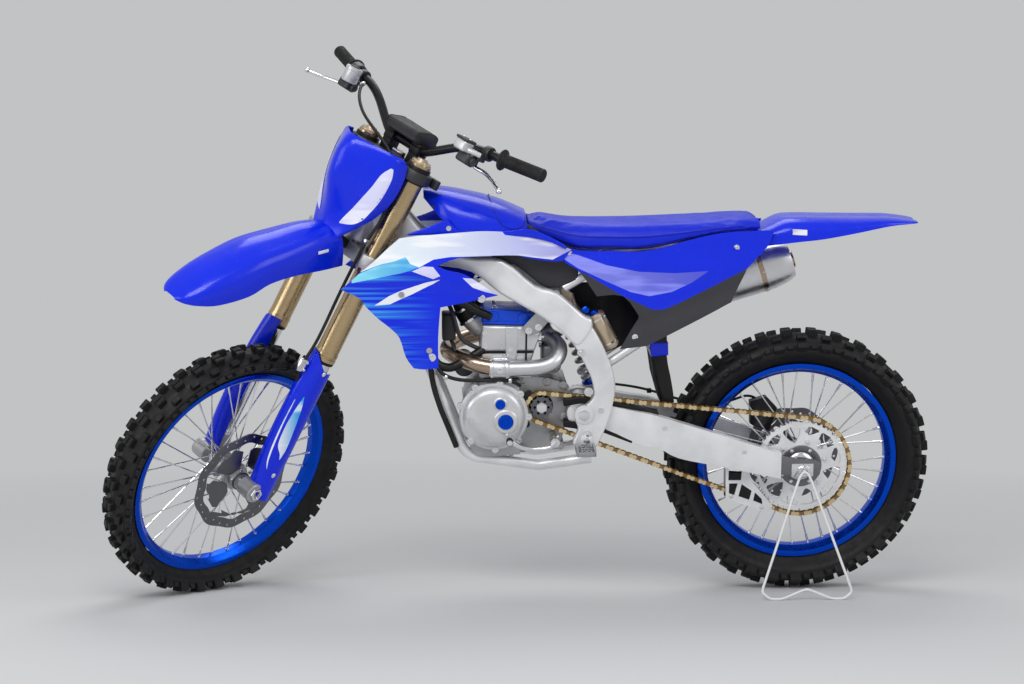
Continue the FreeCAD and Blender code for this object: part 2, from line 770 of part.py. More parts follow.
SILENCER_SHARES = [
    (0.3162, 0.7202), (0.0041, 0.8684),
]
SILENCER_LINE_SHARES = (-1.32, -1.08)
# Stations of the silencer: share of its length, then half height and half width as shares of its radius.
SILENCER_STATION_SHARES = (
    (0.0, 0.43, 0.5), (0.14, 0.5, 0.56), (0.34, 0.94, 0.8),
    (0.84, 1.0, 0.86), (0.93, 0.92, 0.8), (1.0, 0.72, 0.66),
)


def engine_case():
    right = slab([at(spot, -q.case_right) for spot in CASE_SHARES], q.case_chain_side, q.case_corner)
    left = slab([at(spot, q.case_chain_side) for spot in CASE_LEFT_SHARES], q.case_left, q.case_corner)
    return right.fuse(left)


def engine_covers():
    flywheel = rod(at(FLYWHEEL_SHARES[0], q.case_left),
                   at(FLYWHEEL_SHARES[0], q.case_left + q.flywheel_cover_depth), q.flywheel_cover_radius)
    clutch = rod(at(CLUTCH_SHARES[0], -q.case_right - q.clutch_cover_depth),
                 at(CLUTCH_SHARES[0], -q.case_right), q.clutch_cover_radius)
    covers = []
    for cover, face in ((flywheel, 1), (clutch, -1)):
        rims = [e for e in cover.Edges if abs(abs(e.CenterOfMass.y) - abs(q.case_left)) > q.cover_fillet]
        rims = [e for e in rims if len(e.Vertexes) == 1]
        covers.append(cover.makeFillet(q.cover_fillet, rims))
    return solids(*covers)


def cylinder_head():
    return slab([at(spot, -q.head_half_width) for spot in HEAD_SHARES], q.head_half_width, q.head_corner)


def cam_cover():
    return slab([at(spot, -q.cam_cover_half_width) for spot in CAM_SHARES], q.cam_cover_half_width)


def exhaust_points():
    line = q.case_right
    return [at(spot, line * share) for spot, share in zip(EXHAUST_LEFT_SHARES, EXHAUST_LINE_SHARES)]


def exhaust_pipe():
    return tube(exhaust_points(), q.exhaust_radius, q.exhaust_bend)


OVAL_SIDES = 20


def silencer():
    """Oval can on a straight axis, its neck round the end of the exhaust pipe."""
    inlet, tip = [at(spot, q.case_right * line) for spot, line in zip(SILENCER_SHARES, SILENCER_LINE_SHARES)]
    way = tip - inlet
    across = way.cross(Z_AXIS).normalize()
    up = across.cross(way).normalize()
    wires = []
    for share, height, width in SILENCER_STATION_SHARES:
        middle = inlet + way * share
        ring = []
        for i in range(OVAL_SIDES):
            angle = 2 * math.pi * i / OVAL_SIDES
            ring.append(middle + up * (height * q.silencer_radius * math.cos(angle))
                        + across * (width * q.silencer_radius * math.sin(angle)))
        wires.append(Part.makePolygon(ring + ring[:1]))
    return loft(wires)


RADIATOR_SHARES = [
    (0.668, 0.7772),
]
SHROUD_PIN_SHARES = [
    (0.6873, 0.8352), (0.6419, 0.6922),
]
# How far out each shroud pin reaches, as a share of the radiator's width from its inner face.
SHROUD_PIN_LINE_SHARES = (1.24, 1.31)


def radiators():
    """Two cores, each with pins that carry the shroud on its side."""
    core = Part.makeBox(q.radiator_depth, q.radiator_width, q.radiator_height,
                        Vector(-q.radiator_depth / 2, q.radiator_inner, -q.radiator_height / 2))
    leaned = Placement(at(RADIATOR_SHARES[0]), Rotation(Y_AXIS, q.radiator_tilt))
    core.Placement = leaned.multiply(core.Placement)
    pins = []
    for spot, line in zip(SHROUD_PIN_SHARES, SHROUD_PIN_LINE_SHARES):
        start = at(spot, q.radiator_inner + q.radiator_width / 2)
        pins.append(rod(start, at(spot, q.radiator_inner + line * q.radiator_width), q.mount_radius))
    core = core.fuse(pins)
    return solids(core, mirrored(core))


SHOCK_SHARES = [
    (0.4055, 0.7979), (0.3931, 0.7378), (0.3519, 0.5762), (0.3381, 0.5244),
]
RESERVOIR_SHARES = [
    (0.3601, 0.7606), (0.3299, 0.6715),
]


def shock_absorber():
    top, seat, foot, low = [at(spot) for spot in SHOCK_SHARES]
    spring = rod(seat, foot, q.spring_radius)
    rods = rod(top, low, q.shock_rod_radius)
    reservoir = rod(at(RESERVOIR_SHARES[0], q.reservoir_line), at(RESERVOIR_SHARES[1], q.reservoir_line),
                    q.reservoir_radius)
    neck = rod(seat, at(RESERVOIR_SHARES[0], q.reservoir_line), q.shock_rod_radius)
    return spring.fuse([rods, neck, reservoir])


# Drive chain, a fixed loop round both sprockets with a waist between its links.

FRONT_SPROCKET_SHARES = [
    (0.4502, 0.5181),
]
CHAIN_WAIST_SHARE = 0.22


def chain_loop():
    front = at(FRONT_SPROCKET_SHARES[0])
    rear = Vector(0, 0, q.rear_tyre_radius)
    small = q.front_sprocket_tip_radius + q.chain_clearance
    large = q.sprocket_tip_radius + q.chain_clearance
    between = front - rear
    tilt = math.atan2(between.z, between.x)
    spread = math.asin((large - small) / between.Length)
    run = between.Length * math.cos(spread)
    small_wrap = (math.pi - 2 * spread) * small
    large_wrap = (math.pi + 2 * spread) * large
    total = 2 * run + small_wrap + large_wrap
    links = round(total / q.chain_pitch / 2) * 2

    def spot(distance, height):
        """Point of the loop, a distance along its inner line from the start of the top run."""
        distance = distance % total
        up = tilt + math.pi / 2 - spread
        if distance < run:
            normal = Vector(math.cos(up), 0, math.sin(up))
            ahead = Vector(math.cos(up - math.pi / 2), 0, math.sin(up - math.pi / 2))
            return rear + normal * (large + height) + ahead * distance
        distance -= run
        if distance < small_wrap:
            angle = up - distance / small
            return front + Vector(math.cos(angle), 0, math.sin(angle)) * (small + height)
        distance -= small_wrap
        down = up - small_wrap / small
        if distance < run:
            normal = Vector(math.cos(down), 0, math.sin(down))
            ahead = Vector(math.cos(down - math.pi / 2), 0, math.sin(down - math.pi / 2))
            return front + normal * (small + height) + ahead * distance
        angle = down - (distance - run) / large
        return rear + Vector(math.cos(angle), 0, math.sin(angle)) * (large + height)

    side = Vector(0, q.chain_line - q.chain_width / 2, 0)
    outer = []
    for i in range(2 * links):
        waist = CHAIN_WAIST_SHARE * q.chain_height if i % 2 else 0.0
        outer.append(spot(i * total / links / 2, q.chain_height - waist) + side)
    inner = [spot(i * total / links, 0) + side for i in range(links)]
    ring = Part.Face(Part.makePolygon(outer + outer[:1]))
    hole = Part.Face(Part.makePolygon(inner + inner[:1]))
    return ring.cut(hole).extrude(Y_AXIS * q.chain_width)


def front_sprocket():
    shape = sprocket_solid(q.front_sprocket_tip_radius, q.front_sprocket_root_radius, FRONT_SPROCKET_TEETH,
                           q.chain_line)
    shape.translate(at(FRONT_SPROCKET_SHARES[0]))
    shaft = rod(at(FRONT_SPROCKET_SHARES[0], q.case_chain_side),
                at(FRONT_SPROCKET_SHARES[0], q.chain_line + q.sprocket_thickness), q.cross_member_radius)
    return shape.fuse(shaft)


GUIDE_SHARES = [
    (0.6706, -0.0678), (0.7152, -0.2187), (0.79, -0.2273), (0.9191, -0.2357), (0.9278, -0.2008),
    (0.8159, -0.1225), (0.7615, -0.0557),
]
GUIDE_BLOCK_SHARES = [
    (0.7152, -0.2187), (0.9191, -0.2357), (0.9271, -0.2517), (0.7232, -0.2346),
]
GUIDE_WALL_SHARE = 0.16


def chain_guide():
    wall = GUIDE_WALL_SHARE * q.chain_width
    inner = q.chain_line - q.chain_width / 2 - q.overrun
    outer = q.chain_line + q.chain_width / 2 + q.overrun
    plates = [slab([arm_at(spot, outer) for spot in GUIDE_SHARES], outer + wall),
              slab([arm_at(spot, inner - wall) for spot in GUIDE_SHARES], inner)]
    block = slab([arm_at(spot, inner - wall) for spot in GUIDE_BLOCK_SHARES], outer + wall)
    return plates[0].fuse([plates[1], block])


# Bodywork.

SHROUD_SHARES = [
    (0.7869, 0.8518), (0.7285, 0.9254), (0.6893, 0.9762), (0.6392, 0.9813), (0.5574, 0.9876),
    (0.4928, 0.9813), (0.4357, 0.9565), (0.4021, 0.9378), (0.4165, 0.9078), (0.4378, 0.9078),
    (0.4976, 0.9254), (0.5911, 0.9223), (0.6275, 0.9047), (0.6117, 0.8933), (0.5828, 0.8808),
    (0.5553, 0.856), (0.5265, 0.8259), (0.5636, 0.8145), (0.6048, 0.8041), (0.6227, 0.8),
    (0.6268, 0.6466), (0.668, 0.6497), (0.6811, 0.6788), (0.6914, 0.7275), (0.7079, 0.7544),
    (0.7271, 0.7782), (0.7478, 0.8104), (0.756, 0.829),
]
SHROUD_RAIL_SHARES = [
    (0.3849, 0), (0.4811, 0), (0.6186, 0), (0.7216, 0), (0.811, 0),
]
SHROUD_RAIL_LOW_WIDTHS = (0.55, 0.72, 0.93, 1.0, 0.95)
SHROUD_RAIL_HIGH_WIDTHS = (0.565, 0.61, 0.71, 0.85, 0.93)
SHROUD_WIDTH_SHARE = 1.62
SIDE_PANEL_SHARES = [
    (0.4302, 0.9534), (0.3911, 0.9316), (0.2722, 0.9316), (0.1876, 0.9627), (0.134, 0.9751),
    (0.0591, 0.9782), (0.0694, 0.9409), (0.0914, 0.9067), (0.1058, 0.8839), (0.1299, 0.8083),
    (0.1409, 0.7938), (0.2756, 0.6922), (0.321, 0.6839), (0.288, 0.7658), (0.3155, 0.8187),
    (0.3595, 0.8176), (0.3904, 0.8829), (0.4124, 0.9036),
]
SIDE_RAIL_SHARES = [
    (0.0412, 0), (0.1375, 0), (0.2749, 0), (0.3849, 0), (0.4811, 0),
]
SIDE_RAIL_LOW_WIDTHS = (0.90, 1.08, 1.10, 1.0, 0.80)
SIDE_RAIL_HIGH_WIDTHS = (0.70, 0.76, 0.82, 0.74, 0.67)
SIDE_WIDTH_SHARE = 1.17
PANEL_BAND_SHARES = (0.62, 1.0)


def side_skin(outline, rail_spots, low_widths, high_widths, width):
    low, high = (share * q.seat_height for share in PANEL_BAND_SHARES)
    rails = []
    for height, widths in ((low, low_widths), (high, high_widths)):
        rails.append([Vector(spot[0] * q.wheelbase, share * width, height)
                      for spot, share in zip(rail_spots, widths)])
    return skin([at(spot) for spot in outline], rails[0], rails[1], q.panel_thickness, q.panel_corner)


def shroud():
    return side_skin(SHROUD_SHARES, SHROUD_RAIL_SHARES, SHROUD_RAIL_LOW_WIDTHS, SHROUD_RAIL_HIGH_WIDTHS,
                     q.spar_outer * SHROUD_WIDTH_SHARE)


def side_panel():
    return side_skin(SIDE_PANEL_SHARES, SIDE_RAIL_SHARES, SIDE_RAIL_LOW_WIDTHS, SIDE_RAIL_HIGH_WIDTHS,
                     q.spar_outer * SIDE_WIDTH_SHARE)


TANK_SHARES = [
    (0.6357, 1.055), (0.5979, 1.057), (0.5292, 1.032), (0.4742, 0.9969), (0.4192, 0.9378),
    (0.3849, 0.9119), (0.389, 0.8446), (0.4399, 0.829), (0.4811, 0.8756), (0.5223, 0.9161),
    (0.5911, 0.9223), (0.6289, 0.9637), (0.646, 1.021),
]


def fuel_tank():
    points = [at(spot, -q.tank_half_width) for spot in TANK_SHARES]
    return slab(points, q.tank_half_width, q.tank_corner)


# Stations of the arched covers: edge and crown in the side view, and the share of the cover's half width.
TANK_COVER_STATIONS = [
    (0.646, 1.036, 1.086, 0.3717), (0.622, 1.01, 1.085, 0.708), (0.5966, 1.003, 1.079, 0.9558),
    (0.5546, 0.9896, 1.065, 1.026), (0.5182, 0.9865, 1.049, 1.009), (0.477, 0.9876, 1.02, 0.9381),
]
REAR_FENDER_STATIONS = [
    (0.2062, 0.8808, 0.9202, 0.6195), (0.1375, 0.9016, 0.9534, 0.6549),
    (0.0797, 0.9326, 0.972, 0.7434), (0.0715, 0.9409, 1.003, 0.8142), (0.0213, 0.9482, 1.004, 0.8142),
    (-0.0591, 0.9606, 1.003, 0.7611), (-0.1423, 0.9834, 1.002, 0.6372),
    (-0.1938, 0.9845, 0.9907, 0.4071),
]
SEAT_STATIONS = [
    (0.4742, 0.9762, 1.018, 0.5841), (0.4323, 0.9585, 1.003, 0.7611), (0.3911, 0.9358, 0.9959, 0.885),
    (0.3299, 0.9347, 0.9938, 0.9735), (0.2722, 0.9358, 0.9948, 1.009),
    (0.1876, 0.9658, 0.9979, 0.9912), (0.134, 0.9782, 1.002, 0.9204), (0.077, 0.9803, 1.005, 0.8142),
]
SEAT_TOP_WIDTH_SHARE = 0.78
SEAT_CROWN_SHARE = 0.12


def arched(stations, thickness):
    wires = []
    for x, low, high, width in stations:
        wires.append(arch(at((x, low)), at((x, high)), width * q.spar_outer, thickness))
    return loft(wires)


def seat():
    wires = []
    for x, low, high, width in SEAT_STATIONS:
        half = width * q.spar_outer
        crown = at((x, high)).z
        base = at((x, low)).z
        shoulder = crown - SEAT_CROWN_SHARE * (crown - base)
        along = x * q.wheelbase
        points = [
            Vector(along, -half, base), Vector(along, -half * SEAT_TOP_WIDTH_SHARE, shoulder),
            Vector(along, 0, crown), Vector(along, half * SEAT_TOP_WIDTH_SHARE, shoulder),
            Vector(along, half, base),
        ]
        wires.append(Part.makePolygon(points + points[:1]))
    return loft(wires)


FLAP_TOP_SHARES = [
    (0.2591, 0.6632), (0.2371, 0.6632),
]
# The flap's lower end: shares of the rear tyre's radius, ahead of and above its axle.
FLAP_END_SHARES = [
    (0.9647, 0.6471), (0.9471, 0.4706), (1.018, 0.4618), (1.047, 0.6471),
]
FLAP_MOUNT_SHARES = [
    (0.2612, 0.6508), (0.2351, 0.6446), (0.2371, 0.7617), (0.2694, 0.7617),
]


def mud_flap():
    """Flap that hangs from a block held between the subframe's lower tubes."""
    points = [at(spot, -q.flap_half_width) for spot in FLAP_TOP_SHARES]
    for ahead, above in FLAP_END_SHARES:
        points.append(Vector(ahead * q.rear_tyre_radius, -q.flap_half_width,
                             (1 + above) * q.rear_tyre_radius))
    flap = slab(points, q.flap_half_width)
    return flap.fuse(slab([at(spot, -q.subframe_line) for spot in FLAP_MOUNT_SHARES], q.subframe_line))


# Hoses that the bike holds at both ends.

COOLANT_FRONT_SHARES = [
    (0.6419, 0.6881), (0.6309, 0.6404), (0.6062, 0.6259), (0.5773, 0.6466), (0.5485, 0.6715),
]
COOLANT_REAR_SHARES = [
    (0.6873, 0.8663), (0.6598, 0.8497), (0.6268, 0.829), (0.5924, 0.8041), (0.5608, 0.7731),
    (0.5375, 0.7565),
]
BREATHER_SHARES = [
    (0.6447, 0.686), (0.6351, 0.5803), (0.622, 0.5181), (0.6034, 0.4456), (0.5966, 0.4187),
]
COOLANT_LINE_SHARES = (1.14, 1.14, 1.02, 0.88, 0.74)
COOLANT_REAR_LINE_SHARES = (1.14, 1.14, 1.08, 0.96, 0.82, 0.68)
BREATHER_LINE_SHARES = (1.14, 1.12, 1.08, 1.02, 0.98)


def routed(spots, lines, radius, side=1):
    """Hose along points of the chassis, each bend as wide as its two runs allow."""
    points = [at(spot, side * line * q.spar_inner) for spot, line in zip(spots, lines)]
    return tube(points, radius, q.hose_bend)


def coolant_hoses():
    """Hoses between the radiators and the engine."""
    hoses = []
    for side in (1, -1):
        hoses.append(routed(COOLANT_REAR_SHARES, COOLANT_REAR_LINE_SHARES, q.hose_radius, side))
    hoses.append(routed(COOLANT_FRONT_SHARES, COOLANT_LINE_SHARES, q.hose_radius))
    hoses.append(routed(BREATHER_SHARES, BREATHER_LINE_SHARES, q.breather_radius))
    return solids(*hoses)


# Brakes and feet.

REAR_CALIPER_SHARES = [
    (0.8713, 0.0737), (0.7778, 0.0845), (0.7469, 0.1848), (0.8122, 0.2243), (0.8775, 0.1841),
]
PEG_SHARES = [
    (0.3952, 0.4228), (0.3608, 0.4228),
]
GEAR_LEVER_SHARES = [
    (0.4296, 0.4404), (0.4399, 0.4269), (0.4811, 0.4249), (0.5072, 0.4477),
]
BRAKE_PEDAL_SHARES = [
    (0.3794, 0.4518), (0.4151, 0.4394), (0.4399, 0.4021), (0.4948, 0.399), (0.512, 0.4145),
]


def straddling_caliper(points, disc_low, disc_high):
    """Caliper over a disc: a slot lets the disc pass with a clearance on each side."""
    low = disc_low - q.disc_gap - q.caliper_wall
    high = disc_high + q.disc_gap + q.caliper_wall
    block = slab([Vector(p.x, low, p.z) for p in points], high, q.panel_corner)
    return block, disc_low - q.disc_gap, disc_high + q.disc_gap


def rear_caliper():
    points = [arm_at(spot) for spot in REAR_CALIPER_SHARES]
    block, low, high = straddling_caliper(points, -q.rear_hub_right, -q.rear_hub_right + q.disc_thickness)
    centre = Vector(0, 0, q.rear_tyre_radius)
    slot = rod(centre + Y_AXIS * low, centre + Y_AXIS * high, q.rear_disc_radius + q.overrun)
    arm = rod(arm_at(REAR_CALIPER_SHARES[0], low), arm_at(REAR_CALIPER_SHARES[0], -q.swingarm_inner),
              q.cradle_radius)
    return block.cut(slot).fuse(arm.cut(slot))


def foot_controls():
    pieces = []
    front, back = [at(spot) for spot in PEG_SHARES]
    peg = Part.makeBox(front.x - back.x, q.peg_outer - q.peg_inner, q.peg_thickness,
                       Vector(back.x, q.peg_inner, back.z))
    middle = (front + back) * 0.5 + Z_AXIS * (q.peg_thickness / 2)
    bracket = rod(middle + Y_AXIS * (q.spar_outer - q.panel_thickness), middle + Y_AXIS * q.peg_inner,
                  q.peg_thickness / 2)
    peg = peg.fuse(bracket)
    pieces += [peg, mirrored(peg)]
    lever_line = q.case_left + q.flywheel_cover_depth + q.pedal_radius + q.fit
    lever = tube([at(GEAR_LEVER_SHARES[0], q.case_chain_side)] +
                 [at(spot, lever_line) for spot in GEAR_LEVER_SHARES], q.pedal_radius, q.pedal_bend)
    pedal = tube([at(BRAKE_PEDAL_SHARES[0], -q.spar_outer)] +
                 [at(spot, -q.peg_inner - q.peg_width / 2) for spot in BRAKE_PEDAL_SHARES],
                 q.pedal_radius, q.pedal_bend)
    return solids(*pieces, lever, pedal)


# Fork, in its own frame.

GUARD_OUTLINE_SHARES = [
    (-0.0153, 0.0481), (-0.0066, 0.0306), (0.0393, 0.024), (0.0787, 0.0765), (0.0831, 0.3202),
    (0.0765, 0.3913), (0.0809, 0.4284), (0.0437, 0.4306), (0.0219, 0.3781), (-0.0087, 0.3049),
]
GUARD_LINE_SHARES = (-0.55, 0.5, 1.45, 1.85)
FRONT_FENDER_STATIONS = [
    ((0.0712, 0.6607), (0.1172, 0.7514), 0.5882), ((0.1375, 0.6344), (0.1855, 0.729), 0.6471),
    ((0.2204, 0.6046), (0.2615, 0.6855), 0.7059), ((0.2984, 0.5651), (0.337, 0.6411), 0.7549),
    ((0.348, 0.5178), (0.39, 0.6007), 0.7647), ((0.423, 0.4724), (0.4561, 0.5377), 0.7059),
    ((0.4859, 0.4515), (0.5018, 0.4827), 0.5686), ((0.5162, 0.4387), (0.5211, 0.4484), 0.3922),
]
PLATE_STATIONS = [
    ((0.1311, 0.7268), (0.1585, 0.7268), 0.5098), ((0.1224, 0.7541), (0.1661, 0.7541), 0.7059),
    ((0.0852, 0.8197), (0.1858, 0.8197), 0.9804), ((0.0721, 0.8743), (0.212, 0.8743), 1.098),
    ((0.0721, 0.9727), (0.2098, 0.9727), 1.137), ((0.1224, 1.008), (0.2011, 1.008), 0.8235),
]
# The bracket on the lower clamp that carries the front fender.
FENDER_MOUNT_SHARES = [
    (0.0437, 0.6995), (0.1224, 0.6995), (0.1661, 0.7301), (0.118, 0.7454), (0.0437, 0.7213),
]
FENDER_MOUNT_LINE_SHARE = 0.3
BAR_SHARES = [
    (-0.0055, 1.022), (-0.0055, 1.022), (-0.0131, 1.104), (-0.0219, 1.114), (-0.0546, 1.13),
]
BAR_LINES_SHARES = (0.0, 0.175, 0.46, 0.71, 1.0)


def leg(y):
    return Vector(q.leg_offset, y, 0)


def outer_tubes():
    shapes = []
    for side in (1, -1):
        foot = leg(side * q.leg_line)
        shapes.append(rod(foot + Z_AXIS * q.outer_tube_low, foot + Z_AXIS * q.fork_length,
                          q.outer_tube_radius))
    return solids(*shapes)


def inner_tubes():
    shapes = []
    for side in (1, -1):
        foot = leg(side * q.leg_line)
        inner_face = side * q.axle_lug_inner
        outer_face = side * q.axle_lug_outer
        shape = rod(foot, foot + Z_AXIS * q.outer_tube_low, q.inner_tube_radius)
        axle_spot = Vector(q.fork_offset, 0, 0)
        shape = shape.fuse(rod(axle_spot + Y_AXIS * inner_face, axle_spot + Y_AXIS * outer_face,
                               q.axle_lug_radius))
        shapes.append(shape.cut(rod(axle_spot, axle_spot + Y_AXIS * outer_face * 2, q.front_axle_radius)))
    return solids(*shapes)


def clamp_plate(low, thickness):
    """Fork yoke: a web with a boss round each leg and one round the stem."""
    web = Part.makeBox(q.clamp_web, q.leg_line * 2, thickness,
                       Vector(q.leg_offset - q.clamp_web / 2, -q.leg_line, low))
    stem = Part.makeCylinder(q.clamp_boss_radius, thickness, Z_AXIS * low)
    bosses = [Part.makeCylinder(q.clamp_boss_radius, thickness, leg(side * q.leg_line) + Z_AXIS * low)
              for side in (1, -1)]
    shape = web.fuse([stem] + bosses)
    bores = [Part.makeCylinder(q.outer_tube_radius, thickness + 2 * q.overrun,
                               leg(side * q.leg_line) + Z_AXIS * (low - q.overrun)) for side in (1, -1)]
    return shape.cut(bores)


def triple_clamps():
    lower = clamp_plate(q.lower_clamp_low, q.lower_clamp_thickness)
    upper = clamp_plate(q.upper_clamp_low, q.upper_clamp_thickness)
    stem = rod(Z_AXIS * q.lower_clamp_low, Z_AXIS * (q.upper_clamp_low + q.upper_clamp_thickness),
               q.stem_radius)
    line = q.leg_line * FENDER_MOUNT_LINE_SHARE
    fender_mount = slab([fork_at(spot, -line) for spot in FENDER_MOUNT_SHARES], line)
    shape = lower.fuse([upper, stem, fender_mount])
    centre = fork_at(BAR_SHARES[0])
    for side in (1, -1):
        foot = Vector(centre.x - q.bar_mount_half, side * q.bar_mount_place - q.bar_mount_half,
                      q.upper_clamp_low)
        height = centre.z - q.upper_clamp_low + q.bar_mount_half
        shape = shape.fuse(Part.makeBox(2 * q.bar_mount_half, 2 * q.bar_mount_half, height, foot))
    return shape


BAR_HALF_SHARE = 0.437
GRIP_START_SHARE = 0.06
GRIP_END_SHARE = 1.03


def handlebar():
    half = q.fork_length * BAR_HALF_SHARE
    right = [fork_at(spot, -half * share) for spot, share in zip(BAR_SHARES, BAR_LINES_SHARES)]
    left = [fork_at(spot, half * share) for spot, share in zip(BAR_SHARES, BAR_LINES_SHARES)]
    return tube(right[:0:-1] + left[1:], q.bar_radius, q.bar_bend)


def bar_spot(share):
    """Point on the left half of the bar, at a share of the way along its grip run."""
    half = q.fork_length * BAR_HALF_SHARE
    start = fork_at(BAR_SHARES[3], half * BAR_LINES_SHARES[3])
    end = fork_at(BAR_SHARES[4], half * BAR_LINES_SHARES[4])
    return start + (end - start) * share


def grips():
    start, past = bar_spot(GRIP_START_SHARE), bar_spot(GRIP_END_SHARE)
    flange_end = start + (past - start).normalize() * q.grip_flange_width
    grip = rod(start, past, q.grip_radius).fuse(rod(start, flange_end, q.grip_flange_radius))
    return solids(grip, mirrored(grip))


LEVER_SHARES = [
    (0.0044, 1.077), (0.0219, 1.066), (0.0328, 1.051), (0.0328, 1.044),
]
LEVER_LINE_SHARES = (0.60, 0.63, 0.80, 0.96)
MASTER_SHARES = [
    (0.0197, 1.051), (0.0678, 1.058), (0.0721, 1.123), (0.0284, 1.117),
]
MASTER_LINE_SHARES = (0.50, 0.63)
MASTER_FOOT_SHARES = [
    (0.0437, 1.093),
]


def hand_controls():
    half = q.fork_length * BAR_HALF_SHARE
    start = fork_at(BAR_SHARES[2], half * BAR_LINES_SHARES[2])
    end = fork_at(BAR_SHARES[3], half * BAR_LINES_SHARES[3])
    way = (end - start).normalize()
    perch = rod(end - way * (2 * q.perch_width), end - way * q.perch_width, q.perch_radius)
    points = [fork_at(spot, half * share) for spot, share in zip(LEVER_SHARES, LEVER_LINE_SHARES)]
    lever = tube(points, q.lever_radius, q.pedal_bend)
    ball = Part.makeSphere(q.lever_ball_radius, points[-1])
    inner, outer = (half * share for share in MASTER_LINE_SHARES)
    master = slab([fork_at(spot, inner) for spot in MASTER_SHARES], outer, q.panel_corner)
    holder = end - way * (q.perch_width + q.perch_width / 2)
    foot = fork_at(MASTER_FOOT_SHARES[0], inner + (outer - inner) / 2)
    arms = [rod(holder, points[0], q.lever_ball_radius), rod(holder, foot, q.lever_ball_radius)]
    return perch.fuse(arms + [master, lever, ball])


PAD_SHARES = [
    (-0.0481, 1.036), (0.0372, 1.036), (0.0415, 1.077), (-0.0219, 1.086), (-0.0503, 1.077),
]
PAD_LINE_SHARE = 0.25


def bar_pad():
    half = q.fork_length * BAR_HALF_SHARE * PAD_LINE_SHARE
    return slab([fork_at(spot, -half) for spot in PAD_SHARES], half, q.pad_corner)


GUARD_INNER_SHARE = 0.7


def fork_guards():
    """Guards that wrap the outside and front of each leg."""
    centre = leg(q.leg_line)
    reach = q.outer_tube_radius + q.fit + q.panel_thickness
    outer = Part.makeCylinder(reach, q.fork_length, centre)
    inner = Part.makeCylinder(reach - q.panel_thickness, q.fork_length, centre)
    keep = slab([fork_at(spot, q.leg_line - q.outer_tube_radius * GUARD_INNER_SHARE)
                 for spot in GUARD_OUTLINE_SHARES], q.leg_line + reach + q.overrun, q.panel_corner)
    guard = outer.cut(inner).common(keep)
    return solids(guard, mirrored(guard))


def front_fender():
    wires = []
    for edge, crown, width in FRONT_FENDER_STATIONS:
        wires.append(arch(fork_at(edge), fork_at(crown), width * q.leg_line, q.panel_thickness))
    return loft(wires)


def number_plate():
    wires = []
    for edge, crown, width in PLATE_STATIONS:
        half = width * q.leg_line
        inner_half = half - q.panel_thickness
        outer_points = []
        inner_points = []
        for side, knee in ((-1, 0), (-1, 1), (0, 1), (1, 1), (1, 0)):
            outer_points.append(plate_point(edge, crown, half, side, knee, 0))
            inner_points.append(plate_point(edge, crown, inner_half, side, knee, q.panel_thickness))
        wires.append(Part.makePolygon(outer_points + inner_points[::-1] + outer_points[:1]))
    return loft(wires)


PLATE_KNEE_SHARE = 0.62
PLATE_KNEE_WIDTH_SHARE = 0.86


def plate_point(edge, crown, half, side, knee, inset):
    """Point of a plate section: its edge, its knee or its nose."""
    foot = fork_at(edge, side * half)
    nose = fork_at(crown)
    if knee == 0:
        return foot
    if side == 0:
        return nose - X_AXIS * inset
    x = foot.x + PLATE_KNEE_SHARE * (nose.x - foot.x) - inset
    return Vector(x, side * half * PLATE_KNEE_WIDTH_SHARE, foot.z)


FRONT_CALIPER_SHARES = [
    (-0.0328, 0.0437), (-0.0109, 0.0328), (0.0087, 0.1093), (-0.0219, 0.1421), (-0.0568, 0.1202),
]


# The brake hose's route from its master cylinder: shares of the fork's length, forward, left and up.
BRAKE_HOSE_SHARES = [
    (0.0612, -0.2339, 1.096), (0.1137, -0.2142, 1.104), (0.1443, -0.1749, 1.093),
    (0.1639, -0.118, 1.073), (0.1749, -0.0546, 1.047), (0.1661, 0.0087, 1.016),
    (0.1443, 0.0656, 0.977), (0.1202, 0.1093, 0.929), (0.1027, 0.1333, 0.8699),
    (0.0918, 0.1443, 0.8044), (0.0831, 0.1464, 0.7388), (0.0743, 0.1475, 0.6732),
    (0.0678, 0.1486, 0.6077), (0.0612, 0.1497, 0.5421), (0.0481, 0.1519, 0.4852),
    (0.0328, 0.153, 0.4481), (0.024, 0.153, 0.435),
]


def front_brake_hose():
    """Hose from the right hand's master cylinder to the left leg's guard."""
    points = [Vector(*(share * q.fork_length for share in spot)) for spot in BRAKE_HOSE_SHARES]
    return tube(points, q.brake_hose_radius, q.hose_bend)


def front_caliper():
    points = [fork_at(spot) for spot in FRONT_CALIPER_SHARES]
    face = q.front_hub_left - q.disc_thickness
    block, low, high = straddling_caliper(points, face, face + q.disc_thickness)
    centre = Vector(q.fork_offset, 0, 0)
    slot = rod(centre + Y_AXIS * low, centre + Y_AXIS * high, q.front_disc_radius + q.overrun)
    lug = rod(fork_at(FRONT_CALIPER_SHARES[2], high), fork_at(FRONT_CALIPER_SHARES[2], q.leg_line),
              q.cradle_radius)
    return block.cut(slot).fuse(lug.cut(slot))


# Stances: where the upright drawings stand once the bike leans on its stand.

RAKE = Rotation(Y_AXIS, -q.rake_angle)
FRONT_AXLE_SPOT = Vector(q.wheelbase, 0, q.front_tyre_radius)
STEM_FOOT = FRONT_AXLE_SPOT - RAKE.multVec(X_AXIS) * q.fork_offset
FORK_FRAME = Placement(STEM_FOOT, RAKE)
STEERED = FORK_FRAME.multiply(Placement(ORIGIN, Rotation(Z_AXIS, q.steer_angle)))
FRONT_WHEEL_LOCAL = Placement(Vector(q.fork_offset, 0, 0), Rotation())
REAR_WHEEL_LOCAL = Placement(Vector(0, 0, q.rear_tyre_radius), Rotation())
LEVEL_ROUNDS = 6


def lowest(shape, stance):
    """Height of a shape's lowest corner once it stands in a stance."""
    return min(stance.multVec(corner.Point).z for corner in shape.Vertexes)


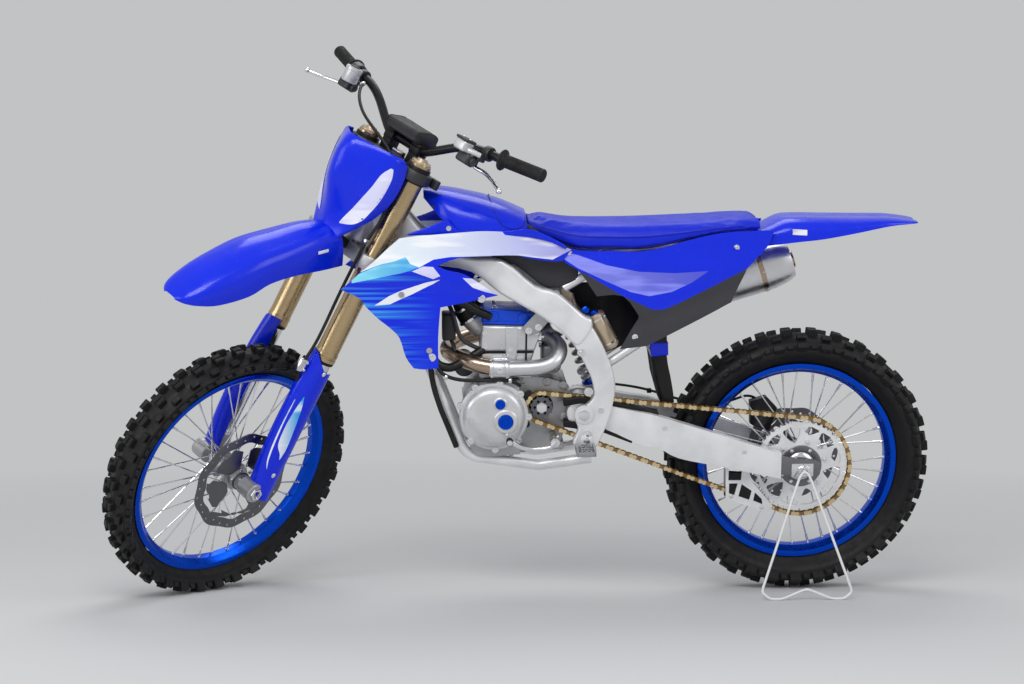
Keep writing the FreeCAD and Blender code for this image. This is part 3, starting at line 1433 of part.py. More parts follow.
def standing():
    """Stance of the upright chassis, leaning left with both tyres on the floor."""
    lean = Rotation(X_AXIS, -q.lean_angle)
    rear = nodes["rear_tyre"].Shape
    front = nodes["front_tyre"].Shape
    pitch = 0.0
    stance = Placement()
    for _ in range(LEVEL_ROUNDS):
        stance = Placement(ORIGIN, Rotation(Y_AXIS, math.degrees(pitch)).multiply(lean))
        rear_low = lowest(rear, stance.multiply(REAR_WHEEL_LOCAL))
        front_low = lowest(front, stance.multiply(STEERED).multiply(FRONT_WHEEL_LOCAL))
        pitch += (front_low - rear_low) / q.wheelbase
    stance = Placement(ORIGIN, Rotation(Y_AXIS, math.degrees(pitch)).multiply(lean))
    lift = -lowest(rear, stance.multiply(REAR_WHEEL_LOCAL))
    return Placement(Z_AXIS * lift, stance.Rotation)


# The stand's wire, from its pin to one foot: shares of the axle's height, outward and up.
STAND_CORNER_SHARES = (0.357, 0.066)
STAND_FOOT_SHARES = (0.285, 0.0)
STAND_TOE_SHARES = (0.20, 0.0)
STAND_BUMP_SHARES = (0.0, 0.075)
STAND_TOP_SHARES = (0.03, 1.0)


def stand_wire(stance):
    """Wire stand, drawn where it stands: a pin in the hollow axle, two legs and a wavy foot."""
    end = stance.multVec(Vector(0, q.rear_axle_half, q.rear_tyre_radius))
    inside = stance.multVec(Vector(0, q.rear_axle_half - q.rear_axle_pin_depth / 2, q.rear_tyre_radius))
    outward = (end - inside).normalize()
    top = end + outward * (q.fit + q.stand_wire_radius)

    def spot(shares, side):
        height = q.stand_wire_radius + shares[1] * (top.z - q.stand_wire_radius)
        across = q.stand_foot_line + (top.y - q.stand_foot_line) * shares[1]
        return Vector(top.x + side * shares[0] * top.z, across, height)

    points = []
    for side in (1, -1):
        half = [spot(shares, side) for shares in
                (STAND_TOP_SHARES, STAND_CORNER_SHARES, STAND_FOOT_SHARES, STAND_TOE_SHARES)]
        points.append(half)
    loop = points[0] + [spot(STAND_BUMP_SHARES, 1)] + points[1][::-1]
    return loop, inside


def prop_stand(stance):
    loop, inside = stand_wire(stance)
    half_way = (loop[0] + loop[-1]) * 0.5
    path = [half_way] + loop + [half_way]
    wire = rounded(path, q.stand_bend)
    ring = Part.Wire([Part.makeCircle(q.stand_wire_radius, half_way, loop[0] - half_way)])
    frame = wire.makePipeShell([ring], True, False)
    pin = rod(inside, half_way, q.stand_pin_radius)
    return Part.Solid(frame.Shells[0]).fuse(pin)


SLIVER_SHARE = 0.01
WHOLE_SHARE = 1.0


def seat_in(name, shape, *neighbours, least_share=SLIVER_SHARE):
    """Adds a sub-part, with room made in it for the neighbours already there and no slivers left over."""
    shape = notched(shape, [nodes[neighbour].Shape for neighbour in neighbours])
    whole_volume = max(solid.Volume for solid in shape.Solids)
    kept = [solid for solid in shape.Solids if solid.Volume >= whole_volume * least_share]
    add(name, solids(*kept))


def build():
    add_wheels()
    seat_in("main_frame", main_frame())
    seat_in("lower_cradle", lower_cradle(), "main_frame")
    seat_in("subframe", subframe(), "main_frame")
    seat_in("swingarm", swingarm(), "main_frame")
    add_rear_axle()
    seat_in("crankcase", engine_case(), "main_frame", "lower_cradle")
    seat_in("engine_covers", engine_covers(), "main_frame", "lower_cradle")
    seat_in("cylinder_head", cylinder_head(), "main_frame")
    seat_in("cam_cover", cam_cover(), "main_frame")
    seat_in("exhaust_pipe", exhaust_pipe(), "main_frame", "lower_cradle", "crankcase", "cylinder_head",
            "cam_cover")
    seat_in("silencer", silencer(), "exhaust_pipe")
    seat_in("radiators", radiators(), "main_frame", "lower_cradle", "exhaust_pipe")
    seat_in("coolant_hoses", coolant_hoses(), "radiators", "main_frame", "lower_cradle", "crankcase",
            "cylinder_head",
            "cam_cover", "exhaust_pipe")
    seat_in("shock_absorber", shock_absorber(), "main_frame", "swingarm", "exhaust_pipe", "subframe")
    seat_in("drive_chain", chain_loop())
    seat_in("front_sprocket", front_sprocket())
    seat_in("chain_guide", chain_guide(), "swingarm")
    seat_in("tank_cover", arched(TANK_COVER_STATIONS, q.panel_thickness), "main_frame")
    seat_in("fuel_tank", fuel_tank(), "main_frame", "tank_cover", "subframe", "shock_absorber", "cam_cover")
    seat_in("seat", seat(), "fuel_tank", "subframe", "tank_cover")
    seat_in("rear_fender", arched(REAR_FENDER_STATIONS, q.panel_thickness), "seat", "subframe", "silencer")
    for side, left in (("left", True), ("right", False)):
        outer, rear = (shroud(), side_panel()) if left else (mirrored(shroud()), mirrored(side_panel()))
        seat_in(side + "_shroud", outer, "tank_cover", "fuel_tank", "seat", "radiators", "main_frame",
                "exhaust_pipe")
        seat_in(side + "_side_panel", rear, "seat", "fuel_tank", "rear_fender", side + "_shroud",
                "main_frame", "subframe", "silencer", "exhaust_pipe", least_share=WHOLE_SHARE)
    seat_in("mud_flap", mud_flap(), "subframe", "swingarm")
    seat_in("rear_caliper", rear_caliper(), "swingarm")
    seat_in("foot_controls", foot_controls(), "main_frame", "lower_cradle", "crankcase", "engine_covers",
            "swingarm")
    seat_in("handlebar", handlebar())
    seat_in("triple_clamps", triple_clamps(), "handlebar")
    seat_in("fork_outer_tubes", outer_tubes(), "handlebar")
    seat_in("fork_inner_tubes", inner_tubes())
    seat_in("grips", grips(), "handlebar")
    seat_in("left_hand_controls", hand_controls(), "handlebar")
    seat_in("right_hand_controls", mirrored(hand_controls()), "handlebar")
    seat_in("bar_pad", bar_pad(), "handlebar", "triple_clamps")
    seat_in("fork_guards", fork_guards(), "fork_inner_tubes")
    seat_in("front_fender", front_fender(), "triple_clamps", "fork_outer_tubes")
    seat_in("number_plate", number_plate(), "triple_clamps", "fork_outer_tubes", "front_fender")
    seat_in("front_axle", front_axle())
    seat_in("front_caliper", front_caliper(), "fork_inner_tubes", "fork_guards", "fork_outer_tubes")
    seat_in("front_brake_hose", front_brake_hose(), "right_hand_controls", "fork_guards", "fork_outer_tubes",
            "number_plate", "triple_clamps")
    add("prop_stand", Part.makeSphere(q.stand_wire_radius))


FRONT_WHEEL_NODES = ("front_tyre", "front_rim", "front_hub", "front_disc")
REAR_WHEEL_NODES = ("rear_tyre", "rear_rim", "rear_hub", "rear_disc", "rear_sprocket")
STEERED_NODES = (
    "handlebar", "triple_clamps", "fork_outer_tubes", "fork_inner_tubes", "grips", "left_hand_controls",
    "right_hand_controls", "bar_pad", "fork_guards", "front_fender", "number_plate", "front_caliper",
    "front_brake_hose",
)


def stance_of(name, stance):
    """Placement of a sub-part once the bike stands."""
    if name in FRONT_WHEEL_NODES or name == "front_axle":
        return stance.multiply(STEERED).multiply(FRONT_WHEEL_LOCAL)
    if name in REAR_WHEEL_NODES:
        return stance.multiply(REAR_WHEEL_LOCAL)
    if name in STEERED_NODES:
        return stance.multiply(STEERED)
    if name == "prop_stand":
        return Placement()
    return stance


build()
doc.recompute()
stance = standing()
nodes["prop_stand"].Shape = prop_stand(stance)
AXLE_TURN = Placement(Vector(0, -q.rear_axle_half, q.rear_tyre_radius), Rotation(X_AXIS, -90))
for name, node in nodes.items():
    standing_place = stance_of(name, stance)
    if name == "rear_axle":
        standing_place = standing_place.multiply(AXLE_TURN)
    node.Placement = standing_place
doc.recompute()

box = FreeCAD.BoundBox()
for node in nodes.values():
    box.add(node.Shape.optimalBoundingBox(False, False))
shift = Placement(Vector(-box.Center.x, -box.Center.y, -box.ZMin), Rotation())
for node in nodes.values():
    node.Placement = shift.multiply(node.Placement)
doc.recompute()

for item in doc.Objects:
    if "Invalid" in item.State or "Error" in item.State:
        raise SystemExit("%s failed: %s" % (item.Label, item.State))
for name, node in nodes.items():
    if node.Shape.isNull() or not node.Shape.isValid():
        raise SystemExit("%s is not a valid shape" % name)

os.makedirs("parts", exist_ok=True)
for name, node in nodes.items():
    node.Shape.exportStep(os.path.join("parts", name + ".step"))
whole = shift.multiply(stance)
print("stance", whole)
print("size", box.XLength, box.YLength, box.ZLength)
print("rear axle", whole.multVec(Vector(0, 0, q.rear_tyre_radius)), whole.Rotation.multVec(Y_AXIS))
steer = whole.multiply(STEERED)
print("stem foot", steer.multVec(ORIGIN), steer.Rotation.multVec(Z_AXIS))
print("front axle", steer.multVec(Vector(q.fork_offset, 0, 0)), steer.Rotation.multVec(Y_AXIS))
start, end = bar_spot(GRIP_START_SHARE), bar_spot(GRIP_END_SHARE)
flange = start + (end - start).normalize() * q.grip_flange_width
for side, flip in (("left", 1), ("right", -1)):
    tip = Vector(end.x, end.y * flip, end.z)
    foot = Vector(flange.x, flange.y * flip, flange.z)
    print(side, "grip", steer.multVec((tip + foot) * 0.5), steer.Rotation.multVec((tip - foot).normalize()))
print("grip length", (end - flange).Length)
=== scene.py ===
import json
import math

import bmesh
import bpy
from mathutils import Matrix, Vector


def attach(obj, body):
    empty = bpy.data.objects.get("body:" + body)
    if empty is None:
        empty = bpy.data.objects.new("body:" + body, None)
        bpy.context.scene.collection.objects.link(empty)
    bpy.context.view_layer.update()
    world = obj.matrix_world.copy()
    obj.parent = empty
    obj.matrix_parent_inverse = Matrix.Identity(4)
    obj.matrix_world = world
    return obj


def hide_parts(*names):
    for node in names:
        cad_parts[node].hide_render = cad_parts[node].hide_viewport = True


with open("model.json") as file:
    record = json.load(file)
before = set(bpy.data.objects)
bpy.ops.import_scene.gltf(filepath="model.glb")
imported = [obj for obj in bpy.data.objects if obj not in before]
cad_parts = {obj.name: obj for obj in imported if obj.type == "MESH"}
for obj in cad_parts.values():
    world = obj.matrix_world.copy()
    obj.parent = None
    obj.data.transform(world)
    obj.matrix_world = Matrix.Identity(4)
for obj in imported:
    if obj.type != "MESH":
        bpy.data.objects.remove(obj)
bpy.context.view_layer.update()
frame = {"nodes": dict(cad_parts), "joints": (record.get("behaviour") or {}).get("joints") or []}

# The bike's own frames, in millimetres: chassis, fork and the two wheels.
MM = Matrix.Scale(0.001, 4)
REAR_RADIUS = 340
FRONT_RADIUS = 346
FORK_OFFSET = 50
JOINTS = {joint["name"]: joint for joint in frame["joints"]}


def framed(origin, ahead, side, up):
    """Matrix from millimetres ahead, to the left and up of a point to the frame of the whole bike."""
    matrix = Matrix((ahead, side, up)).transposed().to_4x4()
    matrix.translation = origin
    return matrix @ MM


def axis_of(name):
    """Place and direction of one of the bike's axes."""
    joint = JOINTS[name]
    return Vector(joint["pos_m"]), Vector(joint["axis"]).normalized()


REAR_SPOT, SIDE = axis_of("rear_wheel_spin")
FRONT_SPOT, FORK_SIDE = axis_of("front_wheel_spin")
FORK_UP = axis_of("steering")[1]
AHEAD = Vector((-SIDE.z, 0, SIDE.x)).normalized()
if AHEAD.x < 0:
    AHEAD = -AHEAD
UP = AHEAD.cross(SIDE)
FORK_AHEAD = FORK_SIDE.cross(FORK_UP)
CHASSIS = framed(REAR_SPOT - UP * REAR_RADIUS / 1000, AHEAD, SIDE, UP)
FORK = framed(FRONT_SPOT - FORK_AHEAD * FORK_OFFSET / 1000, FORK_AHEAD, FORK_SIDE, FORK_UP)
REAR_WHEEL = framed(REAR_SPOT, AHEAD, SIDE, UP)
FRONT_WHEEL = framed(FRONT_SPOT, FORK_AHEAD, FORK_SIDE, FORK_UP)

# Camera, at the photograph's viewing angle.
CAMERA_PLACE = Vector((0.2781, 5.0301, 0.8449))
CAMERA_WAY = Vector((-0.0483, -0.998, -0.0407))
CAMERA_LENS = 71.13
X_AXIS = Vector((1, 0, 0))
Y_AXIS = Vector((0, 1, 0))
Z_AXIS = Vector((0, 0, 1))
TURN = 2 * math.pi


def add_camera():
    data = bpy.data.cameras.new("camera")
    data.lens = CAMERA_LENS
    data.sensor_width = 36
    data.clip_end = 60
    camera = bpy.data.objects.new("camera", data)
    camera.location = CAMERA_PLACE
    camera.rotation_euler = CAMERA_WAY.to_track_quat("-Z", "Y").to_euler()
    bpy.context.scene.collection.objects.link(camera)
    bpy.context.scene.camera = camera


add_camera()


# Finishes.

class Finish:
    """A procedural material that reads Object coordinates, built up step by step."""

    def __init__(self, name, colour, roughness=0.4, metallic=0.0, coat=0.0, gloss=0.5):
        self.material = bpy.data.materials.new(name)
        self.material.use_nodes = True
        self.tree = self.material.node_tree
        self.shader = self.tree.nodes["Principled BSDF"]
        self.shader.inputs["Base Color"].default_value = (*colour, 1)
        self.shader.inputs["Roughness"].default_value = roughness
        self.shader.inputs["Metallic"].default_value = metallic
        self.shader.inputs["Coat Weight"].default_value = coat
        self.shader.inputs["Coat Roughness"].default_value = 0.06
        self.shader.inputs["Specular IOR Level"].default_value = gloss
        self.place = self.node("ShaderNodeTexCoord").outputs["Object"]
        self.colour = None
        self.base = colour

    def node(self, kind, **settings):
        made = self.tree.nodes.new(kind)
        for key, value in settings.items():
            setattr(made, key, value)
        return made

    def link(self, source, target):
        self.tree.links.new(source, target)

    def stretched(self, scale):
        """The place on the piece, stretched along its axes."""
        mapping = self.node("ShaderNodeMapping")
        mapping.inputs["Scale"].default_value = scale
        self.link(self.place, mapping.inputs["Vector"])
        return mapping.outputs["Vector"]

    def noise(self, scale, detail, stretch=None):
        made = self.node("ShaderNodeTexNoise")
        made.inputs["Scale"].default_value = scale
        made.inputs["Detail"].default_value = detail
        self.link(self.stretched(stretch) if stretch else self.place, made.inputs["Vector"])
        return made.outputs["Fac"]

    def spread(self, source, low, high, start=0.3, end=0.7):
        """The source brought to the range from low to high."""
        made = self.node("ShaderNodeMapRange")
        for name, value in (("From Min", start), ("From Max", end), ("To Min", low), ("To Max", high)):
            made.inputs[name].default_value = value
        self.link(source, made.inputs["Value"])
        return made.outputs["Result"]

    def mottle(self, scale, low, high, detail=4.0):
        """Uneven gloss."""
        self.link(self.spread(self.noise(scale, detail), low, high), self.shader.inputs["Roughness"])
        return self

    def tint(self, scale, other, amount, start=0.4, end=0.7, detail=4.0, stretch=None):
        """Patches of another colour."""
        factor = self.spread(self.noise(scale, detail, stretch), 0.0, amount, start, end)
        return self.blend(factor, other)

    def blend(self, factor, other):
        """Another colour, where the factor is high."""
        mix = self.node("ShaderNodeMix", data_type="RGBA")
        self.link(factor, mix.inputs["Factor"])
        if self.colour is None:
            mix.inputs["A"].default_value = (*self.base, 1)
        else:
            self.link(self.colour, mix.inputs["A"])
        mix.inputs["B"].default_value = (*other, 1)
        self.colour = mix.outputs["Result"]
        self.link(self.colour, self.shader.inputs["Base Color"])
        return self

    def bumps(self, source, strength, distance):
        bump = self.node("ShaderNodeBump")
        bump.inputs["Strength"].default_value = strength
        bump.inputs["Distance"].default_value = distance
        self.link(source, bump.inputs["Height"])
        self.link(bump.outputs["Normal"], self.shader.inputs["Normal"])
        return self

    def ahead(self, start, end):
        """Zero to one along the bike, between two places in metres."""
        split = self.node("ShaderNodeSeparateXYZ")
        self.link(self.place, split.inputs["Vector"])
        return self.spread(split.outputs["X"], 0.0, 1.0, start, end)

    def grain(self, scale, strength, distance):
        """Fine relief."""
        return self.bumps(self.noise(scale, 6.0), strength, distance)


BLUE = (0.0, 0.02, 0.72)


def plastic(name, colour, roughness=0.2, coat=0.15):
    """Glossy moulded plastic with a faint orange peel and handling marks."""
    finish = Finish(name, colour, roughness, coat=coat, gloss=0.3)
    finish.tint(9, [c * 0.86 for c in colour], 0.3).mottle(34, roughness * 0.8, roughness * 1.5)
    return finish.grain(420, 0.05, 0.0003).material


def alloy(name, colour, low, high, cast=False):
    """Bare aluminium: satin and drawn, or rough from the casting."""
    finish = Finish(name, colour, low, 0.75 if cast else 0.5)
    finish.tint(14, [c * 0.72 for c in colour], 0.6).mottle(60 if cast else 26, low, high, 6.0)
    return finish.grain(900 if cast else 260, 0.35 if cast else 0.08, 0.0004).material


def steel(name, colour, low, high, metallic=1.0):
    finish = Finish(name, colour, low, metallic)
    finish.tint(16, [c * 0.8 for c in colour], 0.25).mottle(60, low, high, 2.0)
    return finish.grain(700, 0.004, 0.0001).material


def rubber(name, colour, low=0.55, high=0.8, scale=300):
    finish = Finish(name, colour, low, gloss=0.35)
    finish.tint(18, [c * 2.0 + 0.004 for c in colour], 0.6).mottle(70, low, high)
    return finish.grain(scale, 0.35, 0.0006).material


def dusty(name, colour):
    """Tyre rubber, dull and greyer in patches where it has met the ground."""
    finish = Finish(name, colour, 0.6, gloss=0.3)
    finish.tint(7, (0.02, 0.019, 0.018), 0.5, 0.45, 0.75).mottle(50, 0.45, 0.75)
    return finish.grain(240, 0.4, 0.0006).material


def vinyl(name, colour):
    """Seat cover with a gripping grain."""
    finish = Finish(name, colour, 0.42, gloss=0.3)
    finish.tint(6, [c * 0.8 for c in colour], 0.4).mottle(22, 0.36, 0.52)
    cells = finish.node("ShaderNodeTexVoronoi")
    cells.inputs["Scale"].default_value = 520
    finish.link(finish.place, cells.inputs["Vector"])
    return finish.bumps(cells.outputs["Distance"], 0.3, 0.0006).material


def graded(name, near, far, start, end):
    """Colour graded from one to another along the bike, with soft slanting streaks: printed film on most
    pieces, painted highlight on some.
    """
    finish = Finish(name, near, 0.2, coat=0.15, gloss=0.3)
    finish.blend(finish.ahead(start, end), far)
    finish.tint(7, [min(1.0, c * 1.25 + 0.05) for c in far], 0.7, 0.5, 0.62, 2.0, (0.9, 1.0, 5.0))
    return finish.grain(420, 0.04, 0.0003).material


def streaked(name, colour, flash, start, end):
    """Blue film with thin level streaks of a lighter colour that fade towards the rear."""
    finish = Finish(name, colour, 0.2, coat=0.15, gloss=0.3)
    ahead = finish.ahead(start, end)
    lines = finish.spread(finish.noise(9, 2.0, (0.25, 0.4, 11.0)), 0.0, 1.0, 0.47, 0.68)
    both = finish.node("ShaderNodeMath", operation="MULTIPLY")
    finish.link(ahead, both.inputs[0])
    finish.link(lines, both.inputs[1])
    finish.blend(both.outputs["Value"], flash)
    return finish.grain(420, 0.04, 0.0003).material


BLUE_PLASTIC = plastic("blue_plastic", BLUE)
BLACK_PLASTIC = plastic("black_plastic", (0.006, 0.006, 0.007), 0.42, 0.0)
GREY_PLASTIC = plastic("grey_plastic", (0.04, 0.04, 0.046), 0.42, 0.0)
WHITE_FILM = plastic("white_film", (0.82, 0.84, 0.9), 0.25)
BAND_FILM = graded("band_film", (0.44, 0.45, 0.84), (0.8, 0.88, 0.95), -0.06, 0.28)
CYAN_FILM = graded("cyan_film", (0.02, 0.28, 0.75), (0.25, 0.72, 0.9), 0.25, 0.42)
# Pale violet painted highlight, standing in for the light caught along the shroud's fold and on the number
# plate's swept sides.
VIOLET_HIGHLIGHT_PAINT = graded("violet_painted_highlight", (0.42, 0.42, 0.85), (0.7, 0.7, 0.93), -0.2, 0.3)
STREAK_FILM = streaked("streak_film", BLUE, (0.06, 0.46, 0.9), 0.22, 0.42)
FRAME_ALLOY = alloy("frame_alloy", (0.86, 0.86, 0.87), 0.32, 0.48)
ENGINE_ALLOY = alloy("engine_alloy", (0.46, 0.46, 0.47), 0.34, 0.55, cast=True)
DARK_ALLOY = alloy("dark_alloy", (0.2, 0.2, 0.21), 0.35, 0.55, cast=True)
BLUE_ALLOY = steel("blue_alloy", (0.004, 0.07, 0.62), 0.2, 0.32)
GOLD_ALLOY = steel("gold_alloy", (0.52, 0.39, 0.22), 0.2, 0.34)
PALE_GOLD = steel("pale_gold", (0.62, 0.5, 0.36), 0.3, 0.45, 0.8)
HEADER_METAL = steel("header_metal", (0.45, 0.34, 0.25), 0.16, 0.32)
CAN_METAL = steel("can_metal", (0.72, 0.72, 0.74), 0.28, 0.42)
POLISHED = steel("polished_steel", (0.78, 0.78, 0.8), 0.1, 0.2)
DARK_STEEL = steel("dark_steel", (0.16, 0.16, 0.17), 0.3, 0.45)
CHAIN_GOLD = steel("chain_gold", (0.8, 0.62, 0.36), 0.2, 0.35)
DULL_GOLD = steel("dull_gold", (0.3, 0.2, 0.08), 0.35, 0.5)
WHITE_STEEL = plastic("white_steel", (0.78, 0.78, 0.78), 0.3)
TYRE_RUBBER = dusty("tyre_rubber", (0.006, 0.006, 0.0065))
HOSE_RUBBER = rubber("hose_rubber", (0.006, 0.006, 0.0065), 0.35, 0.5)
GRIP_RUBBER = rubber("grip_rubber", (0.008, 0.008, 0.009))
SEAT_VINYL = vinyl("seat_vinyl", (0.0, 0.015, 0.58))


# Shapes, in millimetres of one of the bike's frames.

SHARP = 0.6
PANEL_WALL = 2.5
PANEL_ROLL = 2.5
PANEL_STEP = 16
SKIN_WALL = 3
BODY_FRAMES = {"chassis": CHASSIS, "fork": FORK, "rear_wheel": REAR_WHEEL, "front_wheel": FRONT_WHEEL}


def new_shape():
    """Empty shape whose faces remember whether they have their finish."""
    bm = bmesh.new()
    bm.faces.layers.int.new("painted")
    return bm


def whole(faces):
    """Faces with their corners and edges, as the cutting tool wants them."""
    return list({part for face in faces for part in (*face.verts, *face.edges)}) + faces


def fresh_faces(bm):
    """Faces that no finish has been given to yet."""
    painted = bm.faces.layers.int["painted"]
    return [face for face in bm.faces if not face[painted]]


def paint(bm, index=None):
    """Gives the faces made since the last call the finish of that number, or leaves them their own."""
    painted = bm.faces.layers.int["painted"]
    for face in fresh_faces(bm):
        face.material_index = face.material_index if index is None else index
        face[painted] = 1


def outward(bm):
    """Closes doubles in the newest shape and turns its faces outwards."""
    faces = fresh_faces(bm)
    verts = list({vert for face in faces for vert in face.verts})
    bmesh.ops.remove_doubles(bm, verts=verts, dist=0.01)
    bmesh.ops.recalc_face_normals(bm, faces=fresh_faces(bm))


def rounded_edges(bm, edges, offset, segments=2):
    bmesh.ops.bevel(bm, geom=edges, offset=offset, offset_type="OFFSET", affect="EDGES",
                    segments=segments, profile=0.5, material=-1, clamp_overlap=True)


def pointed(way):
    """Turn that brings Z along the way."""
    return way.to_track_quat("Z", "Y").to_matrix().to_4x4()


def block(bm, centre, size, edge, turn=None, segments=2):
    """Box with rounded edges."""
    place = Matrix.Translation(centre) @ (turn or Matrix.Identity(4)) @ Matrix.Diagonal((*size, 1.0))
    made = bmesh.ops.create_cube(bm, size=1.0, matrix=place)
    if edge:
        rounded_edges(bm, list({e for v in made["verts"] for e in v.link_edges}), edge, segments)


def rod(bm, start, end, radius, end_radius=None, sides=20, edge=0.0):
    """Round bar or cone between two points."""
    start, end = Vector(start), Vector(end)
    way = end - start
    place = Matrix.Translation((start + end) / 2) @ pointed(way)
    far_radius = radius if end_radius is None else end_radius
    made = bmesh.ops.create_cone(bm, cap_ends=True, segments=sides, radius1=radius, radius2=far_radius,
                                 depth=way.length, matrix=place)
    if edge:
        caps = {f for v in made["verts"] for f in v.link_faces if len(f.verts) == sides}
        rounded_edges(bm, list({e for f in caps for e in f.edges}), edge)


def pin(bm, x, z, start, end, radius, **shape):
    """Round bar across the bike."""
    rod(bm, (x, start, z), (x, end, z), radius, **shape)


def ball(bm, centre, radius):
    bmesh.ops.create_uvsphere(bm, u_segments=16, v_segments=8, radius=radius,
                              matrix=Matrix.Translation(centre))


def turned(bm, profile, centre, axis, sides, closed=False):
    """Shape turned about an axis, from places (radius, along)."""
    centre = Vector(centre)
    axis = Vector(axis).normalized()
    out = axis.orthogonal().normalized()
    verts = [bm.verts.new(centre + axis * along + out * radius) for radius, along in profile]
    pairs = list(zip(verts, verts[1:])) + ([(verts[-1], verts[0])] if closed else [])
    edges = [bm.edges.new(pair) for pair in pairs]
    bmesh.ops.spin(bm, geom=verts + edges, cent=centre, axis=axis, angle=TURN, steps=sides,
                   use_merge=True)
    outward(bm)


def eased(before, here, there, after, t):
    """Value between the middle two of four in a row, on the smooth line through them all."""
    return 0.5 * (2 * here + (there - before) * t + (2 * before - 5 * here + 4 * there - after) * t * t
                  + (3 * here - before - 3 * there + after) * t ** 3)


def curved(points, steps, closed=True):
    """Smooth line through places; a place given twice is a corner."""
    spots = [Vector(point) for point in points]
    count = len(spots)
    line = []
    for i in range(count if closed else count - 1):
        if closed:
            before, here, there, after = (spots[(i + k) % count] for k in (-1, 0, 1, 2))
        else:
            before, here, there, after = (spots[min(max(i + k, 0), count - 1)] for k in (-1, 0, 1, 2))
        if (there - here).length < 0.01:
            continue
        for k in range(steps):
            t = k / steps
            line.append(eased(before, here, there, after, t))
    if not closed:
        line.append(spots[-1])
    return line


def opposite(points):
    """The same points on the other side of the bike."""
    return [Vector((p.x, -p.y, p.z)) for p in points]


def outlined(places, steps=3):
    """Smooth closed outline through places."""
    return [tuple(spot) for spot in curved(places, steps)]


def smooth_table(x, places, values):
    """Value at x of a smooth line through a table."""
    x = min(max(x, places[0]), places[-1])
    count = len(places)
    i = max(k for k in range(count - 1) if places[k] <= x)
    span = places[i + 1] - places[i]
    t = (x - places[i]) / span

    def slope(k):
        low, high = max(k - 1, 0), min(k + 1, count - 1)
        return (values[high] - values[low]) / (places[high] - places[low]) * span

    return ((2 * t ** 3 - 3 * t * t + 1) * values[i] + (t ** 3 - 2 * t * t + t) * slope(i)
            + (3 * t * t - 2 * t ** 3) * values[i + 1] + (t ** 3 - t * t) * slope(i + 1))


def flat_face(bm, outline, y=0.0):
    return bm.faces.new([bm.verts.new((x, y, z)) for x, z in outline])


def raised(bm, faces, way):
    """Gives faces a thickness along a way."""
    made = bmesh.ops.extrude_face_region(bm, geom=faces, use_keep_orig=True)
    bmesh.ops.translate(bm, verts=[v for v in made["geom"] if isinstance(v, bmesh.types.BMVert)], vec=way)


def plate(bm, outline, low, high, edge, segments=2):
    """Plate across the bike with rounded edges, from an outline of places (ahead, up)."""
    raised(bm, [flat_face(bm, outline, low)], (0, high - low, 0))
    outward(bm)
    if edge:
        edges = {e for f in fresh_faces(bm) for e in f.edges}
        rims = [e for e in edges if len(e.link_faces) == 2 and e.calc_face_angle() > SHARP
                and abs(e.verts[0].co.y - e.verts[1].co.y) < 0.01]
        rounded_edges(bm, rims, edge, segments)


def cut_across(bm, axis, step):
    """Cuts the newest shape at even steps along an axis, so that it can bend there."""
    faces = fresh_faces(bm)
    values = [v.co.dot(axis) for f in faces for v in f.verts]
    place = min(values) + step / 2
    while place < max(values):
        bmesh.ops.bisect_plane(bm, geom=whole(fresh_faces(bm)), plane_co=axis * place, plane_no=axis,
                               dist=0.001)
        place += step


def bent_plate(bm, outline, depth, plan, edge, step=24, segments=3):
    """Plate that follows a plan line y = plan(x) along the bike."""
    plate(bm, outline, 0.0, depth, edge, segments)
    cut_across(bm, X_AXIS, step)
    for vert in {v for f in fresh_faces(bm) for v in f.verts}:
        vert.co.y += plan(vert.co.x)


def inside(x, z, outline):
    """Whether a place lies in an outline."""
    hit = False
    for (x1, z1), (x2, z2) in zip(outline, outline[1:] + outline[:1]):
        if (z1 > z) != (z2 > z) and x < (x2 - x1) * (z - z1) / (z2 - z1) + x1:
            hit = not hit
    return hit


def reaches(values, start, end):
    """Whether some of the values come within a millimetre of the stretch from start to end."""
    return max(values) >= min(start, end) - 1 and min(values) <= max(start, end) + 1


def panel(bm, outline, surface, zones):
    """Moulded panel on y = surface(x, z), its rim rolled inwards; each zone is (outline, finish)."""
    rim = list(flat_face(bm, outline).verts)
    for width in (2.5, 3.5):
        inner = [f for f in fresh_faces(bm) if len(f.verts) > 8] or fresh_faces(bm)
        bmesh.ops.inset_region(bm, faces=inner, thickness=width, use_even_offset=True, use_boundary=True)
    for axis in (X_AXIS, Z_AXIS):
        cut_across(bm, axis, PANEL_STEP)
    for zone, _ in zones:
        for (x1, z1), (x2, z2) in zip(zone, zone[1:] + zone[:1]):
            normal = Vector((z1 - z2, 0, x2 - x1))
            if normal.length < 0.5:
                continue
            near = [f for f in fresh_faces(bm) if reaches([v.co.x for v in f.verts], x1, x2)]
            near = [f for f in near if reaches([v.co.z for v in f.verts], z1, z2)]
            bmesh.ops.bisect_plane(bm, geom=whole(near), plane_co=(x1, 0, z1),
                                   plane_no=normal.normalized(), dist=0.01)
    edge_verts = {v for f in fresh_faces(bm) for e in f.edges if len(e.link_faces) == 1 for v in e.verts}
    rolled = {v for v in rim if v.is_valid} | edge_verts
    faces = fresh_faces(bm)
    for vert in {v for f in faces for v in f.verts}:
        x, z = vert.co.x, vert.co.z
        vert.co.y = surface(x, z) - (math.copysign(PANEL_ROLL, surface(x, z)) if vert in rolled else 0.0)
    bmesh.ops.recalc_face_normals(bm, faces=faces)
    sample = max(faces, key=lambda f: f.calc_area())
    if sample.normal.y * sample.calc_center_median().y < 0:
        bmesh.ops.reverse_faces(bm, faces=faces)
    for f in faces:
        centre = f.calc_center_median()
        for zone, finish in zones:
            if inside(centre.x, centre.z, zone):
                f.material_index = finish
    bmesh.ops.solidify(bm, geom=faces, thickness=PANEL_WALL)
    paint(bm)


